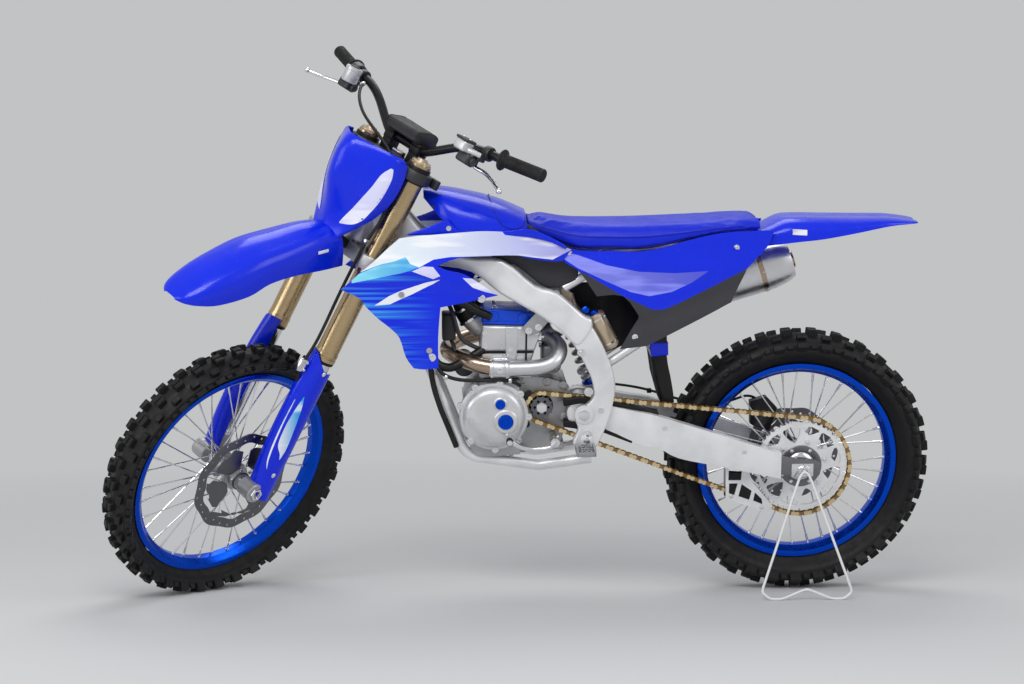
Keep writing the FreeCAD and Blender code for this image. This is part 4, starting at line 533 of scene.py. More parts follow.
def lofted(bm, rings, closed=True):
    """Skin through rings of points, each joined to the next."""
    chains = []
    for ring in rings:
        verts = [bm.verts.new(point) for point in ring]
        pairs = list(zip(verts, verts[1:])) + ([(verts[-1], verts[0])] if closed else [])
        chains.append([bm.edges.new(pair) for pair in pairs])
    for low, high in zip(chains, chains[1:]):
        bmesh.ops.bridge_loops(bm, edges=low + high)
    if closed:
        for chain in (chains[0], chains[-1]):
            bmesh.ops.contextual_create(bm, geom=chain)
    outward(bm)


def facing(bm, way):
    """Turns an open skin's faces towards one side."""
    faces = fresh_faces(bm)
    if sum(f.normal.dot(way) * f.calc_area() for f in faces) < 0:
        bmesh.ops.reverse_faces(bm, faces=faces)


def walled(bm, thickness):
    """Gives an open skin its wall, inwards."""
    bmesh.ops.solidify(bm, geom=fresh_faces(bm), thickness=thickness)


def hose(bm, points, radius, sides):
    """Round hose along a smooth route."""
    data = bpy.data.curves.new("route", "CURVE")
    data.dimensions = "3D"
    data.bevel_depth = radius
    data.bevel_resolution = sides
    data.use_fill_caps = True
    data.resolution_u = 6
    spline = data.splines.new("NURBS")
    spline.points.add(len(points) - 1)
    for spot, point in zip(spline.points, points):
        spot.co = (*point, 1)
    spline.order_u = 3
    spline.use_endpoint_u = True
    holder = bpy.data.objects.new("route", data)
    bpy.context.scene.collection.objects.link(holder)
    bpy.context.view_layer.update()
    mesh = bpy.data.meshes.new_from_object(holder.evaluated_get(bpy.context.evaluated_depsgraph_get()))
    bm.from_mesh(mesh)
    bpy.data.objects.remove(holder)
    bpy.data.curves.remove(data)
    bpy.data.meshes.remove(mesh)
    outward(bm)


def pierced(bm, outline, holes, low, high):
    """Flat plate across the axle with holes through it."""
    edges = []
    for ring in [outline] + holes:
        verts = [bm.verts.new((x, low, z)) for x, z in ring]
        edges += [bm.edges.new(pair) for pair in zip(verts, verts[1:] + verts[:1])]
    made = bmesh.ops.triangle_fill(bm, edges=edges, use_beauty=True, use_dissolve=False)
    raised(bm, [g for g in made["geom"] if isinstance(g, bmesh.types.BMFace)], (0, high - low, 0))
    outward(bm)


def circle(x, z, radius, sides):
    return [(x + radius * math.cos(TURN * i / sides), z + radius * math.sin(TURN * i / sides))
            for i in range(sides)]


def polar(radius, angle):
    return radius * math.cos(angle), radius * math.sin(angle)


def bolt(bm, spot, way, radius, height):
    """Flanged bolt head with six flats, standing on a face."""
    spot, way = Vector(spot), Vector(way).normalized()
    rod(bm, spot, spot + way * height * 0.35, radius * 1.25, sides=14)
    rod(bm, spot + way * height * 0.35, spot + way * height, radius * 0.8, radius * 0.74, sides=6,
        edge=radius * 0.08)


def finished(name, bm, body, materials, replaced, angle=38):
    """Puts a shape drawn in millimetres on the bike as a piece."""
    for face in bm.faces:
        face.smooth = True
    for edge in bm.edges:
        edge.smooth = len(edge.link_faces) == 2 and edge.calc_face_angle(0.0) < math.radians(angle)
    bm.faces.layers.int.remove(bm.faces.layers.int["painted"])
    bm.transform(BODY_FRAMES[body])
    mesh = bpy.data.meshes.new(name)
    bm.to_mesh(mesh)
    bm.free()
    for material in materials:
        mesh.materials.append(material)
    piece = bpy.data.objects.new(name, mesh)
    bpy.context.scene.collection.objects.link(piece)
    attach(piece, body)
    if replaced:
        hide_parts(replaced)
    return piece


# Wheels, about their own centres.

SPOKES = 36
SPOKE_SWEEP = 0.115
PETALS = 10
REAR_TEETH = 48
# Tread blocks by turns, each as (across, width, length, tilt, height).
TREAD_ROWS = (((0.56, 0.27, 0.72, 24, 14.5), (0.88, 0.22, 0.86, 50, 17)),
              ((0.17, 0.25, 0.76, 0, 14.5), (0.86, 0.16, 0.5, 50, 12)))


def add_tyre(name, body, radius, width, rim, pitches):
    """Knobbly tyre: a turned carcass with blocks in rows by turns nearer the middle and the sides."""
    bm = new_shape()
    base = radius - 14
    half = width / 2
    toe = rim + 1
    side = [(toe, half * 0.42), (toe + 14, half * 0.66), (toe + (base - toe) * 0.45, half * 0.96),
            (toe + (base - toe) * 0.78, half * 0.87), (base - 7, half * 0.58), (base, half * 0.2)]
    outline = curved(side + [(base + 1, 0)] + [(r, -y) for r, y in side[::-1]], 3, closed=False)
    ring = [tuple(spot) for spot in outline]
    ring += [(toe + 5, -half * 0.34), (toe + 5, half * 0.34)]
    turned(bm, ring, (0, 0, 0), Y_AXIS, 96, closed=True)
    paint(bm)
    for i in range(2 * pitches):
        angle = TURN * i / (2 * pitches)
        spin = Matrix.Rotation(-angle, 4, "Y")
        pitch = TURN * radius / (2 * pitches)
        for across, wide, long, tilt, tall in TREAD_ROWS[i % 2]:
            for flank in (1, -1):
                reach = base - 4 + (0 if across < 0.3 else -8 if across < 0.7 else -25) * width / 116
                lean = Matrix.Rotation(-flank * math.radians(tilt), 4, "X")
                middle = Vector((0, flank * half * across, reach))
                top = lean @ Vector((0, 0, tall / 2))
                spot = spin @ (middle + top)
                block(bm, spot, (pitch * long, half * wide * 1.15, tall + 6), 1.6, spin @ lean, 1)
    paint(bm, 0)
    for flank in (1, -1):
        line = toe + (base - toe) * 0.55
        turned(bm, [(line - 1.2, flank * half * 0.965), (line + 1.2, flank * half * 0.96)], (0, 0, 0),
               Y_AXIS, 96)
        paint(bm, 1)
    finished(name + "_knobbly", bm, body, [TYRE_RUBBER, DARK_STEEL], name)


add_tyre("rear_tyre", "rear_wheel", 340, 116, 254, 32)
add_tyre("front_tyre", "front_wheel", 346, 92, 279, 36)


def add_rim(name, body, radius, width):
    """Deep rim with rolled lips, and a nipple seat at every spoke."""
    bm = new_shape()
    half = width / 2
    profile = [(radius, half), (radius - 1, half - 4), (radius - 12, half - 5),
               (radius - 14, half * 0.55), (radius - 21, half * 0.42), (radius - 21, -half * 0.42),
               (radius - 14, -half * 0.55), (radius - 12, 5 - half), (radius - 1, 4 - half),
               (radius, -half), (radius - 3, -half - 0.5), (radius - 13, -half + 1.5),
               (radius - 19, -half * 0.62), (radius - 25, -half * 0.42), (radius - 26, 0),
               (radius - 25, half * 0.42), (radius - 19, half * 0.62), (radius - 13, half - 1.5),
               (radius - 3, half + 0.5)]
    turned(bm, profile, (0, 0, 0), Y_AXIS, 96, closed=True)
    paint(bm)
    for i in range(SPOKES):
        x, z = polar(1.0, TURN * i / SPOKES)
        flank = 1 if i % 2 == 0 else -1
        out = Vector((x, 0, z))
        foot = out * (radius - 25) + Y_AXIS * flank * 4
        rod(bm, foot + out * 2, foot - out * 5, 4.5, 3.6, 10)
    paint(bm, 1)
    finished(name + "_lipped", bm, body, [BLUE_ALLOY, POLISHED], name)


add_rim("rear_rim", "rear_wheel", 254, 62)
add_rim("front_rim", "front_wheel", 279, 46)


def add_hub(name, body, rim, left, right, flange, bore):
    """Machined hub with two drilled flanges and crossed spokes."""
    bm = new_shape()
    profile = [(bore + 0.1, -right), (20, -right), (24, -right + 3), (24, -flange - 6), (36, -flange - 4),
               (37, -flange), (36, -flange + 4), (25, -flange + 7), (21, -flange / 2), (21, flange / 2),
               (25, flange - 7), (36, flange - 4), (37, flange), (36, flange + 4), (24, flange + 6),
               (24, left - 3), (20, left), (bore + 0.1, left)]
    turned(bm, profile, (0, 0, 0), Y_AXIS, 48, closed=True)
    paint(bm)
    for i in range(SPOKES):
        flank = 1 if i % 2 == 0 else -1
        lean = 1 if i % 4 < 2 else -1
        rim_angle = TURN * i / SPOKES
        x, z = polar(33, rim_angle - lean * TURN * SPOKE_SWEEP)
        start = Vector((x, flank * flange + lean * 3, z))
        x, z = polar(rim - 28, rim_angle)
        end = Vector((x, flank * 4, z))
        near = end + (start - end).normalized() * 22
        rod(bm, start, end, 1.8, sides=8)
        rod(bm, end, near, 3.2, 2.6, 8)
        rod(bm, start - Y_AXIS * lean * 4, start + Y_AXIS * lean * 1.5, 3.2, sides=8)
    paint(bm, 1)
    finished(name + "_spoked", bm, body, [ENGINE_ALLOY, POLISHED], name)


add_hub("rear_hub", "rear_wheel", 254, 68, 56, 30, 12.5)
add_hub("front_hub", "front_wheel", 279, 62, 50, 32, 11)


def add_disc(name, body, radius, face):
    """Petal disc: a wavy drilled band on a spoked carrier."""
    bm = new_shape()
    sides = PETALS * 12
    angles = [TURN * i / sides for i in range(sides)]
    outline = [polar(radius - 2.5 + 2.5 * math.cos(PETALS * angle), angle) for angle in angles]
    inner = [polar(radius - 27 + 3 * math.cos(PETALS * angle), angle) for angle in angles]
    holes = [inner]
    for i in range(PETALS * 3):
        angle = TURN * (i + 0.5) / (PETALS * 3)
        x, z = polar(radius - 9 - (i % 3) * 4.0, angle)
        holes.append(circle(x, z, 3.2, 8))
    pierced(bm, outline, holes, face, face + 3.5)
    paint(bm)
    carrier = [polar(radius - 33 + 10 * math.cos(PETALS / 2 * angle) ** 3, angle) for angle in angles]
    windows = [circle(0, 0, 25, 32)]
    window = ((42, -0.3), (40, 0.0), (42, 0.3), (50, 0.42), (radius - 48, 0.5), (radius - 40, 0.4),
              (radius - 36, 0.0), (radius - 40, -0.4), (radius - 48, -0.5), (50, -0.42))
    for i in range(5):
        angle = TURN * (i + 0.5) / 5
        windows.append([polar(reach, angle + spread) for reach, spread in window])
    pierced(bm, carrier, windows, face + 0.4, face + 3.1)
    paint(bm)
    for i in range(6):
        x, z = polar(31, TURN * i / 6)
        flank = 1 if face > 0 else -1
        bolt(bm, (x, face + (3.1 if flank > 0 else 0.4), z), (0, flank, 0), 4.0, 2.6)
    paint(bm, 1)
    finished(name + "_petal", bm, body, [DARK_STEEL, POLISHED], name)


add_disc("front_disc", "front_wheel", 135, 58.5)
add_disc("rear_disc", "rear_wheel", 122, -56)


# Windows of the rear sprocket by turns, each as places (radius, angle).
SPROCKET_WINDOWS = (
    ((60, 0.0), (66, -0.1), (80, -0.2), (97, -0.236), (102, -0.2), (104.5, 0.0), (102, 0.2),
     (97, 0.236), (80, 0.2), (66, 0.1)),
    ((81, 0.0), (86, -0.12), (96, -0.225), (102, -0.21), (104.5, 0.0), (102, 0.21), (96, 0.225),
     (86, 0.12)),
)


def add_rear_sprocket():
    """Alloy sprocket with cut-outs, on six bolts."""
    bm = new_shape()
    outline = []
    for i in range(REAR_TEETH):
        angle = TURN * i / REAR_TEETH
        for share, radius in ((0.0, 112), (0.25, 112.6), (0.42, 117), (0.5, 118), (0.58, 117),
                              (0.75, 112.6)):
            outline.append(polar(radius, angle + TURN * share / REAR_TEETH))
    holes = [circle(0, 0, 30, 32)]
    for i in range(12):
        angle = TURN * (i + 0.5) / 12
        shape = SPROCKET_WINDOWS[i % 2]
        holes.append([polar(radius, angle + spread) for radius, spread in shape])
    pierced(bm, outline, holes, 68.5, 75.5)
    paint(bm)
    turned(bm, [(36, 68.4), (54, 68.4), (54, 75.8), (52, 77.5), (40, 77.5), (36, 76)], (0, 0, 0),
           Y_AXIS, 48, closed=True)
    paint(bm, 2)
    turned(bm, [(12.6, 68.1), (36, 68.1), (36, 72), (33, 76), (24, 79), (12.6, 79)], (0, 0, 0),
           Y_AXIS, 48, closed=True)
    for i in range(6):
        x, z = polar(63, TURN * (i + 0.75) / 6)
        bolt(bm, (x, 75.5, z), Y_AXIS, 5.5, 5)
        x, z = polar(46, TURN * i / 6)
        bolt(bm, (x, 77.4, z), Y_AXIS, 3.5, 2.5)
    paint(bm, 1)
    finished("rear_sprocket_toothed", bm, "rear_wheel", [FRAME_ALLOY, POLISHED, DARK_ALLOY],
             "rear_sprocket")


add_rear_sprocket()


# Drive chain: the same loop as the frame's, round both sprockets.
FRONT_SPROCKET = Vector((655, 0, 500))
CHAIN_Y = 72
CHAIN_SMALL = 31.0
CHAIN_LARGE = 119.0
CHAIN_HEIGHT = 12.5
CHAIN_PITCH = 15.875
CHAIN_LINK = [(-10.5, 0), (-9, 4.4), (-5.5, 5.6), (0, 3.6), (5.5, 5.6), (9, 4.4), (10.5, 0), (9, -4.4),
              (5.5, -5.6), (0, -3.6), (-5.5, -5.6), (-9, -4.4)]


def chain_spot(distance, height):
    """Place and heading on the loop, a distance from the start of its top run."""
    rear = Vector((0, 0, REAR_RADIUS))
    between = FRONT_SPROCKET - rear
    tilt = math.atan2(between.z, between.x)
    spread = math.asin((CHAIN_LARGE - CHAIN_SMALL) / between.length)
    run = between.length * math.cos(spread)
    small_wrap = (math.pi - 2 * spread) * CHAIN_SMALL
    large_wrap = (math.pi + 2 * spread) * CHAIN_LARGE
    total = 2 * run + small_wrap + large_wrap
    distance %= total
    up = tilt + math.pi / 2 - spread
    down = up - small_wrap / CHAIN_SMALL

    def out(angle):
        return Vector((math.cos(angle), 0, math.sin(angle)))

    if distance < run:
        spot = rear + out(up) * (CHAIN_LARGE + height) + out(up - math.pi / 2) * distance
        return spot, up - math.pi / 2, total
    distance -= run
    if distance < small_wrap:
        angle = up - distance / CHAIN_SMALL
        return FRONT_SPROCKET + out(angle) * (CHAIN_SMALL + height), angle - math.pi / 2, total
    distance -= small_wrap
    if distance < run:
        spot = FRONT_SPROCKET + out(down) * (CHAIN_SMALL + height) + out(down - math.pi / 2) * distance
        return spot, down - math.pi / 2, total
    angle = down - (distance - run) / CHAIN_LARGE
    return rear + out(angle) * (CHAIN_LARGE + height), angle - math.pi / 2, total


def add_chain():
    """Side plates, pins and rollers of every link on the loop."""
    bm = new_shape()
    total = chain_spot(0, 0)[2]
    links = round(total / CHAIN_PITCH / 2) * 2
    for i in range(links):
        middle, heading, _ = chain_spot((i + 0.5) * total / links, CHAIN_HEIGHT / 2)
        turn = Matrix.Rotation(-heading, 4, "Y")
        for flank in (1, -1):
            y = CHAIN_Y + flank * (6.4 if i % 2 == 0 else 4.4)
            side = bm.faces.new([bm.verts.new(middle + turn @ Vector((x, y, z))) for x, z in CHAIN_LINK])
            raised(bm, [side], (0, flank * 1.7, 0))
            paint(bm, i % 2)
        joint = middle + turn @ Vector((-7.9, CHAIN_Y, 0))
        rod(bm, joint - Y_AXIS * 8.8, joint + Y_AXIS * 8.8, 2.6, sides=8)
        paint(bm, 0)
        rod(bm, joint - Y_AXIS * 4.2, joint + Y_AXIS * 4.2, 4.6, sides=8)
        paint(bm, 1)
    bmesh.ops.recalc_face_normals(bm, faces=bm.faces)
    finished("drive_chain_links", bm, "chassis", [CHAIN_GOLD, DULL_GOLD], "drive_chain")


add_chain()


# Frame, drawn on the upright chassis.

# The steering axis as the upright chassis sees it.
RAKE = math.radians(26.9)
WHEELBASE = 1455
FORK_TO_CHASSIS = (Matrix.Translation((WHEELBASE - FORK_OFFSET * math.cos(RAKE), 0,
                                       FRONT_RADIUS - FORK_OFFSET * math.sin(RAKE)))
                   @ Matrix.Rotation(-RAKE, 4, "Y"))
SPAR_PLACES = (440, 700, 850, 1100)
SPAR_INNERS = (85, 85, 55.7, 8)
SWINGARM_PLACES = (-80, 300, 440, 520, 620)
SWINGARM_INNERS = (88, 88, 74.4, 57.4, 54)
SHROUD_PLACES = (560, 700, 900, 1050, 1180)
SHROUD_LOWS = (100.7, 131.8, 170.2, 183.1, 173.9)
SHROUD_HIGHS = (103.4, 111.7, 130.0, 155.6, 170.2)
SIDE_PLACES = (60, 200, 400, 560, 700)
SIDE_LOWS = (119.0, 142.8, 145.4, 132.2, 105.8)
SIDE_HIGHS = (92.5, 100.5, 108.4, 97.8, 88.6)
PANEL_LOW = 598.3
PANEL_HIGH = 965.0


def spar_plan(x):
    return smooth_table(x, SPAR_PLACES, SPAR_INNERS)


def swingarm_plan(x):
    return smooth_table(x, SWINGARM_PLACES, SWINGARM_INNERS)


def between_rails(x, z, places, lows, highs):
    share = (z - PANEL_LOW) / (PANEL_HIGH - PANEL_LOW)
    low, high = smooth_table(x, places, lows), smooth_table(x, places, highs)
    return low + (high - low) * share


def ridge(x, z, start, end, width, height):
    """Height of a soft fold along a line from start to end."""
    way = Vector(end) - Vector(start)
    spot = Vector((x, z)) - Vector(start)
    along = spot.dot(way) / way.length_squared
    across = abs(spot.x * way.y - spot.y * way.x) / way.length
    if across > width:
        return 0.0
    fade = max(0.0, 1.0 - 2.0 * max(0.0, -along, along - 1.0))
    return height * fade * (0.5 + 0.5 * math.cos(math.pi * across / width))


def flip(surface):
    """The same surface on the right of the bike."""
    return lambda x, z: -surface(x, z)


def mirrored(bm):
    """Adds the other side of everything in the shape."""
    faces = list(bm.faces)
    made = bmesh.ops.duplicate(bm, geom=list(bm.verts) + list(bm.edges) + faces)
    verts = [g for g in made["geom"] if isinstance(g, bmesh.types.BMVert)]
    bmesh.ops.scale(bm, vec=(1, -1, 1), verts=verts)
    bmesh.ops.reverse_faces(bm, faces=[g for g in made["geom"] if isinstance(g, bmesh.types.BMFace)])


LOWER_PLATE = [(636, 716), (600, 690), (577, 664), (552, 619), (533, 577), (528, 536), (546, 513),
               (571, 500), (574, 476), (566, 452), (579, 419), (566, 410), (521, 404), (521, 404),
               (503, 440), (484, 496), (474, 552), (480, 596), (493, 635), (514, 679), (534, 712),
               (560, 742), (600, 768)]
BEAM = [(1010, 878), (925, 862), (829, 846), (759, 795), (675, 748), (615, 704), (585, 674), (570, 664),
        (556, 672), (536, 700), (532, 716), (536, 732), (556, 742), (619, 797), (675, 816), (754, 878),
        (843, 884), (930, 930), (1000, 1008), (1052, 1056), (1080, 1010), (1060, 920)]


def add_main_frame():
    """Twin spars: a rounded beam welded over a cast pivot plate, joined at the head tube."""
    bm = new_shape()
    bent_plate(bm, outlined(LOWER_PLATE), 26, spar_plan, 5)
    paint(bm)
    bent_plate(bm, outlined(BEAM), 33, lambda x: spar_plan(x) - 3, 9, 20, 4)
    paint(bm)
    for x, z, radius in ((560, 648, 8), (541, 548, 9), (542, 440, 8), (510, 500, 6)):
        bolt(bm, (x, spar_plan(x) + 26, z), Y_AXIS, radius, 6)
    paint(bm, 1)
    for x, z, radius in ((552, 490, 24), (545, 424, 15)):
        y = spar_plan(x) + 25
        pin(bm, x, z, y - 2, y + 5, radius, edge=1.5, sides=32)
        paint(bm)
        pin(bm, x, z, y + 4, y + 8, radius * 0.62, edge=1.2, sides=6)
        paint(bm, 1)
    mirrored(bm)
    for x, z, radius in ((612, 752, 17), (524, 432, 10)):
        pin(bm, x, z, -100, 100, radius)
    paint(bm)
    foot = FORK_TO_CHASSIS @ Vector((0, 0, 0))
    turned(bm, [(17.2, 664), (29, 664), (32, 667), (32, 690), (29, 694), (29, 834), (32, 838), (32, 861),
                (29, 864), (17.2, 864)], foot, FORK_TO_CHASSIS @ Z_AXIS - foot, 40, closed=True)
    paint(bm)
    finished("main_frame_spars", bm, "chassis", [FRAME_ALLOY, POLISHED], "main_frame")


add_main_frame()

SWINGARM = [(560, 518), (500, 509), (465, 502), (413, 492), (365, 482), (230, 440), (172, 421), (70, 388),
            (56, 384), (56, 384), (56, 319), (56, 319), (64, 320), (219, 354), (315, 375), (364, 400),
            (412, 410), (498, 446), (560, 452), (588, 470), (588, 500)]


def add_swingarm():
    """Tapered arms with darker dropouts for the axle, chain adjusters and a black rubbing strip."""
    bm = new_shape()
    bent_plate(bm, outlined(SWINGARM), 27, swingarm_plan, 7, 24, 4)
    paint(bm)
    plate(bm, [(64, 376), (12, 366), (-34, 362), (-44, 352), (-44, 328), (-34, 318), (64, 328)],
          94, 112, 2.5)
    paint(bm, 3)
    plate(bm, [(30, 357), (30, 323), (-26, 323), (-26, 357)], 108, 116, 2)
    pin(bm, 0, 340, 114, 126, 16, edge=1.5, sides=6)
    for z in (350, 330):
        rod(bm, (66, 103, z), (26, 103, z), 5)
        rod(bm, (60, 103, z), (48, 103, z), 9, sides=6, edge=0.8)
    paint(bm, 1)
    for x, z in ((150, 390), (350, 452)):
        bolt(bm, (x, swingarm_plan(x) + 27, z), Y_AXIS, 4.5, 3.5)
    paint(bm, 1)
    mirrored(bm)
    pin(bm, 552, 490, -82, 82, 25)
    for x, z, size in ((420, 450, (70, 176, 44)), (455, 470, (60, 176, 36))):
        block(bm, (x, 0, z), size, 8)
    paint(bm)
    strip = [(600, 524), (560, 530), (500, 520), (420, 503), (365, 490), (360, 478), (420, 489),
             (500, 505), (560, 512), (600, 505)]
    plate(bm, strip, 62, 90, 3)
    low = [(600, 452), (560, 446), (500, 436), (430, 408), (425, 418), (500, 448), (560, 462), (600, 470)]
    plate(bm, low, 62, 90, 3)
    paint(bm, 2)
    finished("swingarm_arms", bm, "chassis", [FRAME_ALLOY, POLISHED, BLACK_PLASTIC, DARK_ALLOY],
             "swingarm")


add_swingarm()


# Bodywork.

SHROUD = [(1145, 822), (1145, 822), (1100, 860), (1060, 893), (1030, 920), (1003, 942), (1003, 942),
          (960, 946), (930, 947), (870, 950), (811, 953), (760, 951), (717, 947), (670, 934), (634, 923),
          (585, 905), (585, 905), (606, 876), (606, 876), (637, 876), (680, 883), (724, 893), (790, 893),
          (860, 890), (913, 873), (913, 873), (890, 862), (848, 850), (808, 826), (766, 797), (766, 797),
          (820, 786), (880, 776), (906, 772), (906, 772), (912, 700), (912, 624), (912, 624), (945, 623),
          (972, 627), (972, 627), (991, 655), (1006, 702), (1030, 728), (1058, 751), (1088, 782),
          (1100, 800)]
WHITE_BAND = [(1147, 821), (1147, 830), (1076, 886), (1003, 945), (938, 948), (880, 951), (798, 955),
              (723, 949), (681, 940), (640, 926), (585, 904), (631, 880), (673, 886), (715, 893),
              (765, 894), (827, 893), (881, 893), (922, 888), (956, 871), (978, 880), (989, 897),
              (1013, 888), (1047, 882), (1109, 859)]
CYAN_ZONE = [(1120, 851), (1047, 882), (1013, 888), (989, 897), (978, 880), (956, 871), (1005, 858),
             (1118, 838)]
STREAK = [(1065, 782), (1031, 803), (994, 818), (939, 834), (906, 840), (923, 830), (973, 807),
          (1027, 784)]
# Painted highlight: pale violet strips along the fold at the top of the shroud's lower tongue.
FOLD_HIGHLIGHT_FRONT = [(974, 863), (947, 873), (923, 871), (906, 849), (923, 842)]
FOLD_HIGHLIGHT_REAR = [(852, 842), (827, 839), (765, 798), (798, 807), (827, 818)]
SHROUD_ALL = [(1200, 560), (1200, 1000), (880, 1000), (880, 560)]


def shroud_surface(x, z):
    """Side of the shroud, with its folds and the flare of its lower edge."""
    y = between_rails(x, z, SHROUD_PLACES, SHROUD_LOWS, SHROUD_HIGHS)
    y += ridge(x, z, (985, 866), (763, 802), 26, 5)
    y += ridge(x, z, (1120, 838), (640, 900), 30, 4)
    return y - ridge(x, z, (1010, 800), (930, 640), 34, 5)


def add_shroud(name, flank):
    bm = new_shape()
    # Zone 3 is painted highlight along the fold.
    zones = [(SHROUD_ALL, 4), (CYAN_ZONE, 2), (WHITE_BAND, 1), (STREAK, 5), (FOLD_HIGHLIGHT_FRONT, 3),
             (FOLD_HIGHLIGHT_REAR, 3)]
    surface = shroud_surface if flank > 0 else flip(shroud_surface)
    panel(bm, outlined(SHROUD), surface, zones)
    for x, z in ((928, 651), (806, 790)):
        y = shroud_surface(x, z)
        bolt(bm, (x, flank * (y - 1), z), (0, flank, 0), 6.5, 4)
        rod(bm, (x, flank * (y - 2), z), (x, flank * (y + 1), z), 11, 10)
    paint(bm, 6)
    finished(name + "_panel", bm, "chassis", [BLUE_PLASTIC, BAND_FILM, CYAN_FILM, VIOLET_HIGHLIGHT_PAINT,
                                              STREAK_FILM, WHITE_FILM, POLISHED], name)


add_shroud("left_shroud", 1)
add_shroud("right_shroud", -1)

SIDE_PANEL = [(626, 920), (626, 920), (569, 901), (480, 900), (396, 901), (273, 931), (195, 943),
              (86, 946), (86, 946), (101, 908), (133, 875), (154, 853), (154, 853), (189, 780),
              (205, 766), (300, 718), (401, 668), (401, 668), (467, 660), (467, 660), (440, 705),
              (419, 739), (419, 739), (459, 790), (523, 789), (523, 789), (568, 852), (600, 872)]
SIDE_GREY = [(560, 850), (459, 790), (387, 757), (360, 756), (322, 772), (230, 816), (150, 856),
             (120, 700), (420, 620), (560, 640)]
# Painted highlight: a paler band along the side panel's upper fold, standing in for the light it catches.
SIDE_PAINTED_HIGHLIGHT = [(640, 905), (569, 858), (500, 826), (440, 800), (395, 790), (340, 800), (290, 822),
              (250, 850), (330, 846), (420, 850), (500, 866), (570, 890)]
SIDE_HIGHLIGHT_PAINT = graded("side_painted_highlight", (0.06, 0.07, 0.66), (0.2, 0.22, 0.78), -0.5, -0.15)


def side_surface(x, z):
    y = between_rails(x, z, SIDE_PLACES, SIDE_LOWS, SIDE_HIGHS)
    y += ridge(x, z, (600, 868), (250, 850), 30, 4)
    return y - ridge(x, z, (470, 700), (200, 800), 26, 4)


def add_side_panel(name, flank):
    bm = new_shape()
    surface = side_surface if flank > 0 else flip(side_surface)
    # The paler zone is painted highlight.
    panel(bm, outlined(SIDE_PANEL), surface, [(SIDE_PAINTED_HIGHLIGHT, 2), (SIDE_GREY, 1)])
    for x, z in ((590, 893), (430, 690), (180, 905)):
        y = side_surface(x, z)
        bolt(bm, (x, flank * (y - 1), z), (0, flank, 0), 6, 3.5)
    paint(bm, 3)
    finished(name + "_moulded", bm, "chassis", [BLUE_PLASTIC, GREY_PLASTIC, SIDE_HIGHLIGHT_PAINT, POLISHED],
             name)


add_side_panel("left_side_panel", 1)
add_side_panel("right_side_panel", -1)


ARCH_POWER = 2.6


def arch(x, foot, crown, width, steps=16, power=ARCH_POWER):
    """Half ring over the bike at x: its feet at one height, its crown at another."""
    ring = []
    for i in range(steps + 1):
        angle = math.pi * i / steps
        c, s = math.cos(angle), math.sin(angle)
        across = math.copysign(abs(c) ** (2 / power), c)
        ring.append(Vector((x, -width * across, foot + (crown - foot) * abs(s) ** (2 / power))))
    return ring


def smooth_rows(rows, steps):
    """Rows of numbers joined smoothly."""
    count = len(rows)
    made = []
    for i in range(count - 1):
        before, here, there, after = (rows[min(max(i + k, 0), count - 1)] for k in (-1, 0, 1, 2))
        for k in range(steps):
            t = k / steps
            made.append([eased(*four, t) for four in zip(before, here, there, after)])
    made.append(list(rows[-1]))
    return made


TANK_COVER = [(944, 1024, 1046, 40), (925, 1004, 1047, 64), (902, 980, 1046, 90), (868, 957, 1041, 107),
              (807, 945, 1028, 114), (754, 945, 1012, 112), (694, 946, 985, 104)]
SEAM_PROUD = 0.4
COVER_SEAM = ((780, 70), (777, 48), (770, 30), (757, 14), (738, 6), (718, 6), (704, 14), (699, 30),
              (697, 50))
TRIM = [(987, 944), (940, 961), (893, 979), (880, 972), (865, 958), (830, 948), (754, 952), (694, 956),
        (660, 946), (622, 928), (600, 914), (602, 907), (632, 922), (680, 934), (717, 939), (784, 942),
        (867, 943), (930, 944)]
SEAM_BLUE = plastic("seam_blue", (0.0, 0.008, 0.2), 0.4, 0.0)


def cover_spot(x, angle):
    """Place on the left of the tank cover, an angle in degrees up from its lower edge."""
    ring = smooth_rows(TANK_COVER, 12)
    low, high, width = min(ring, key=lambda row: abs(row[0] - x))[1:]
    c, s = math.cos(math.radians(angle)), math.sin(math.radians(angle))
    return Vector((x, (width + SEAM_PROUD) * c ** (2 / ARCH_POWER),
                   low + (high - low + SEAM_PROUD) * s ** (2 / ARCH_POWER)))


def add_tank_cover():
    """Blue cover over the front of the tank, with the joint line of its lid and a trim strip below."""
    bm = new_shape()
    lofted(bm, [arch(x, low, high, width) for x, low, high, width in smooth_rows(TANK_COVER, 4)],
           closed=False)
    walled(bm, SKIN_WALL)
    paint(bm)
    seam = [cover_spot(x, angle) for x, angle in COVER_SEAM]
    bridge = [seam[0], seam[0].lerp(Vector((784, 0, 1022)), 0.5) + Vector((0, 0, 5)),
              Vector((785, 0, 1022.5))]
    for points in (seam, bridge):
        hose(bm, points, 1.1, 2)
        hose(bm, opposite(points), 1.1, 2)
    paint(bm, 1)
    for flank in (1, -1):
        plate(bm, outlined(TRIM), flank * 108, flank * 117, 2)
    paint(bm)
    for flank in (1, -1):
        bolt(bm, (884, flank * 117, 960), (0, flank, 0), 5, 3.5)
    paint(bm, 2)
    finished("tank_cover_shell", bm, "chassis", [BLUE_PLASTIC, SEAM_BLUE, POLISHED], "tank_cover")


add_tank_cover()

REAR_FENDER = [(300, 850, 886, 66), (200, 870, 918, 70), (116, 900, 940, 80), (60, 910, 966, 90),
               (20, 915, 970, 92), (-40, 921, 969, 90), (-120, 934, 967, 84), (-207, 949, 966, 72),
               (-262, 952, 960, 58), (-282, 952, 956, 44)]
GROOVE_SHARE = 0.45
GROOVE_DEPTH = 3.0
GROOVE_START = 60


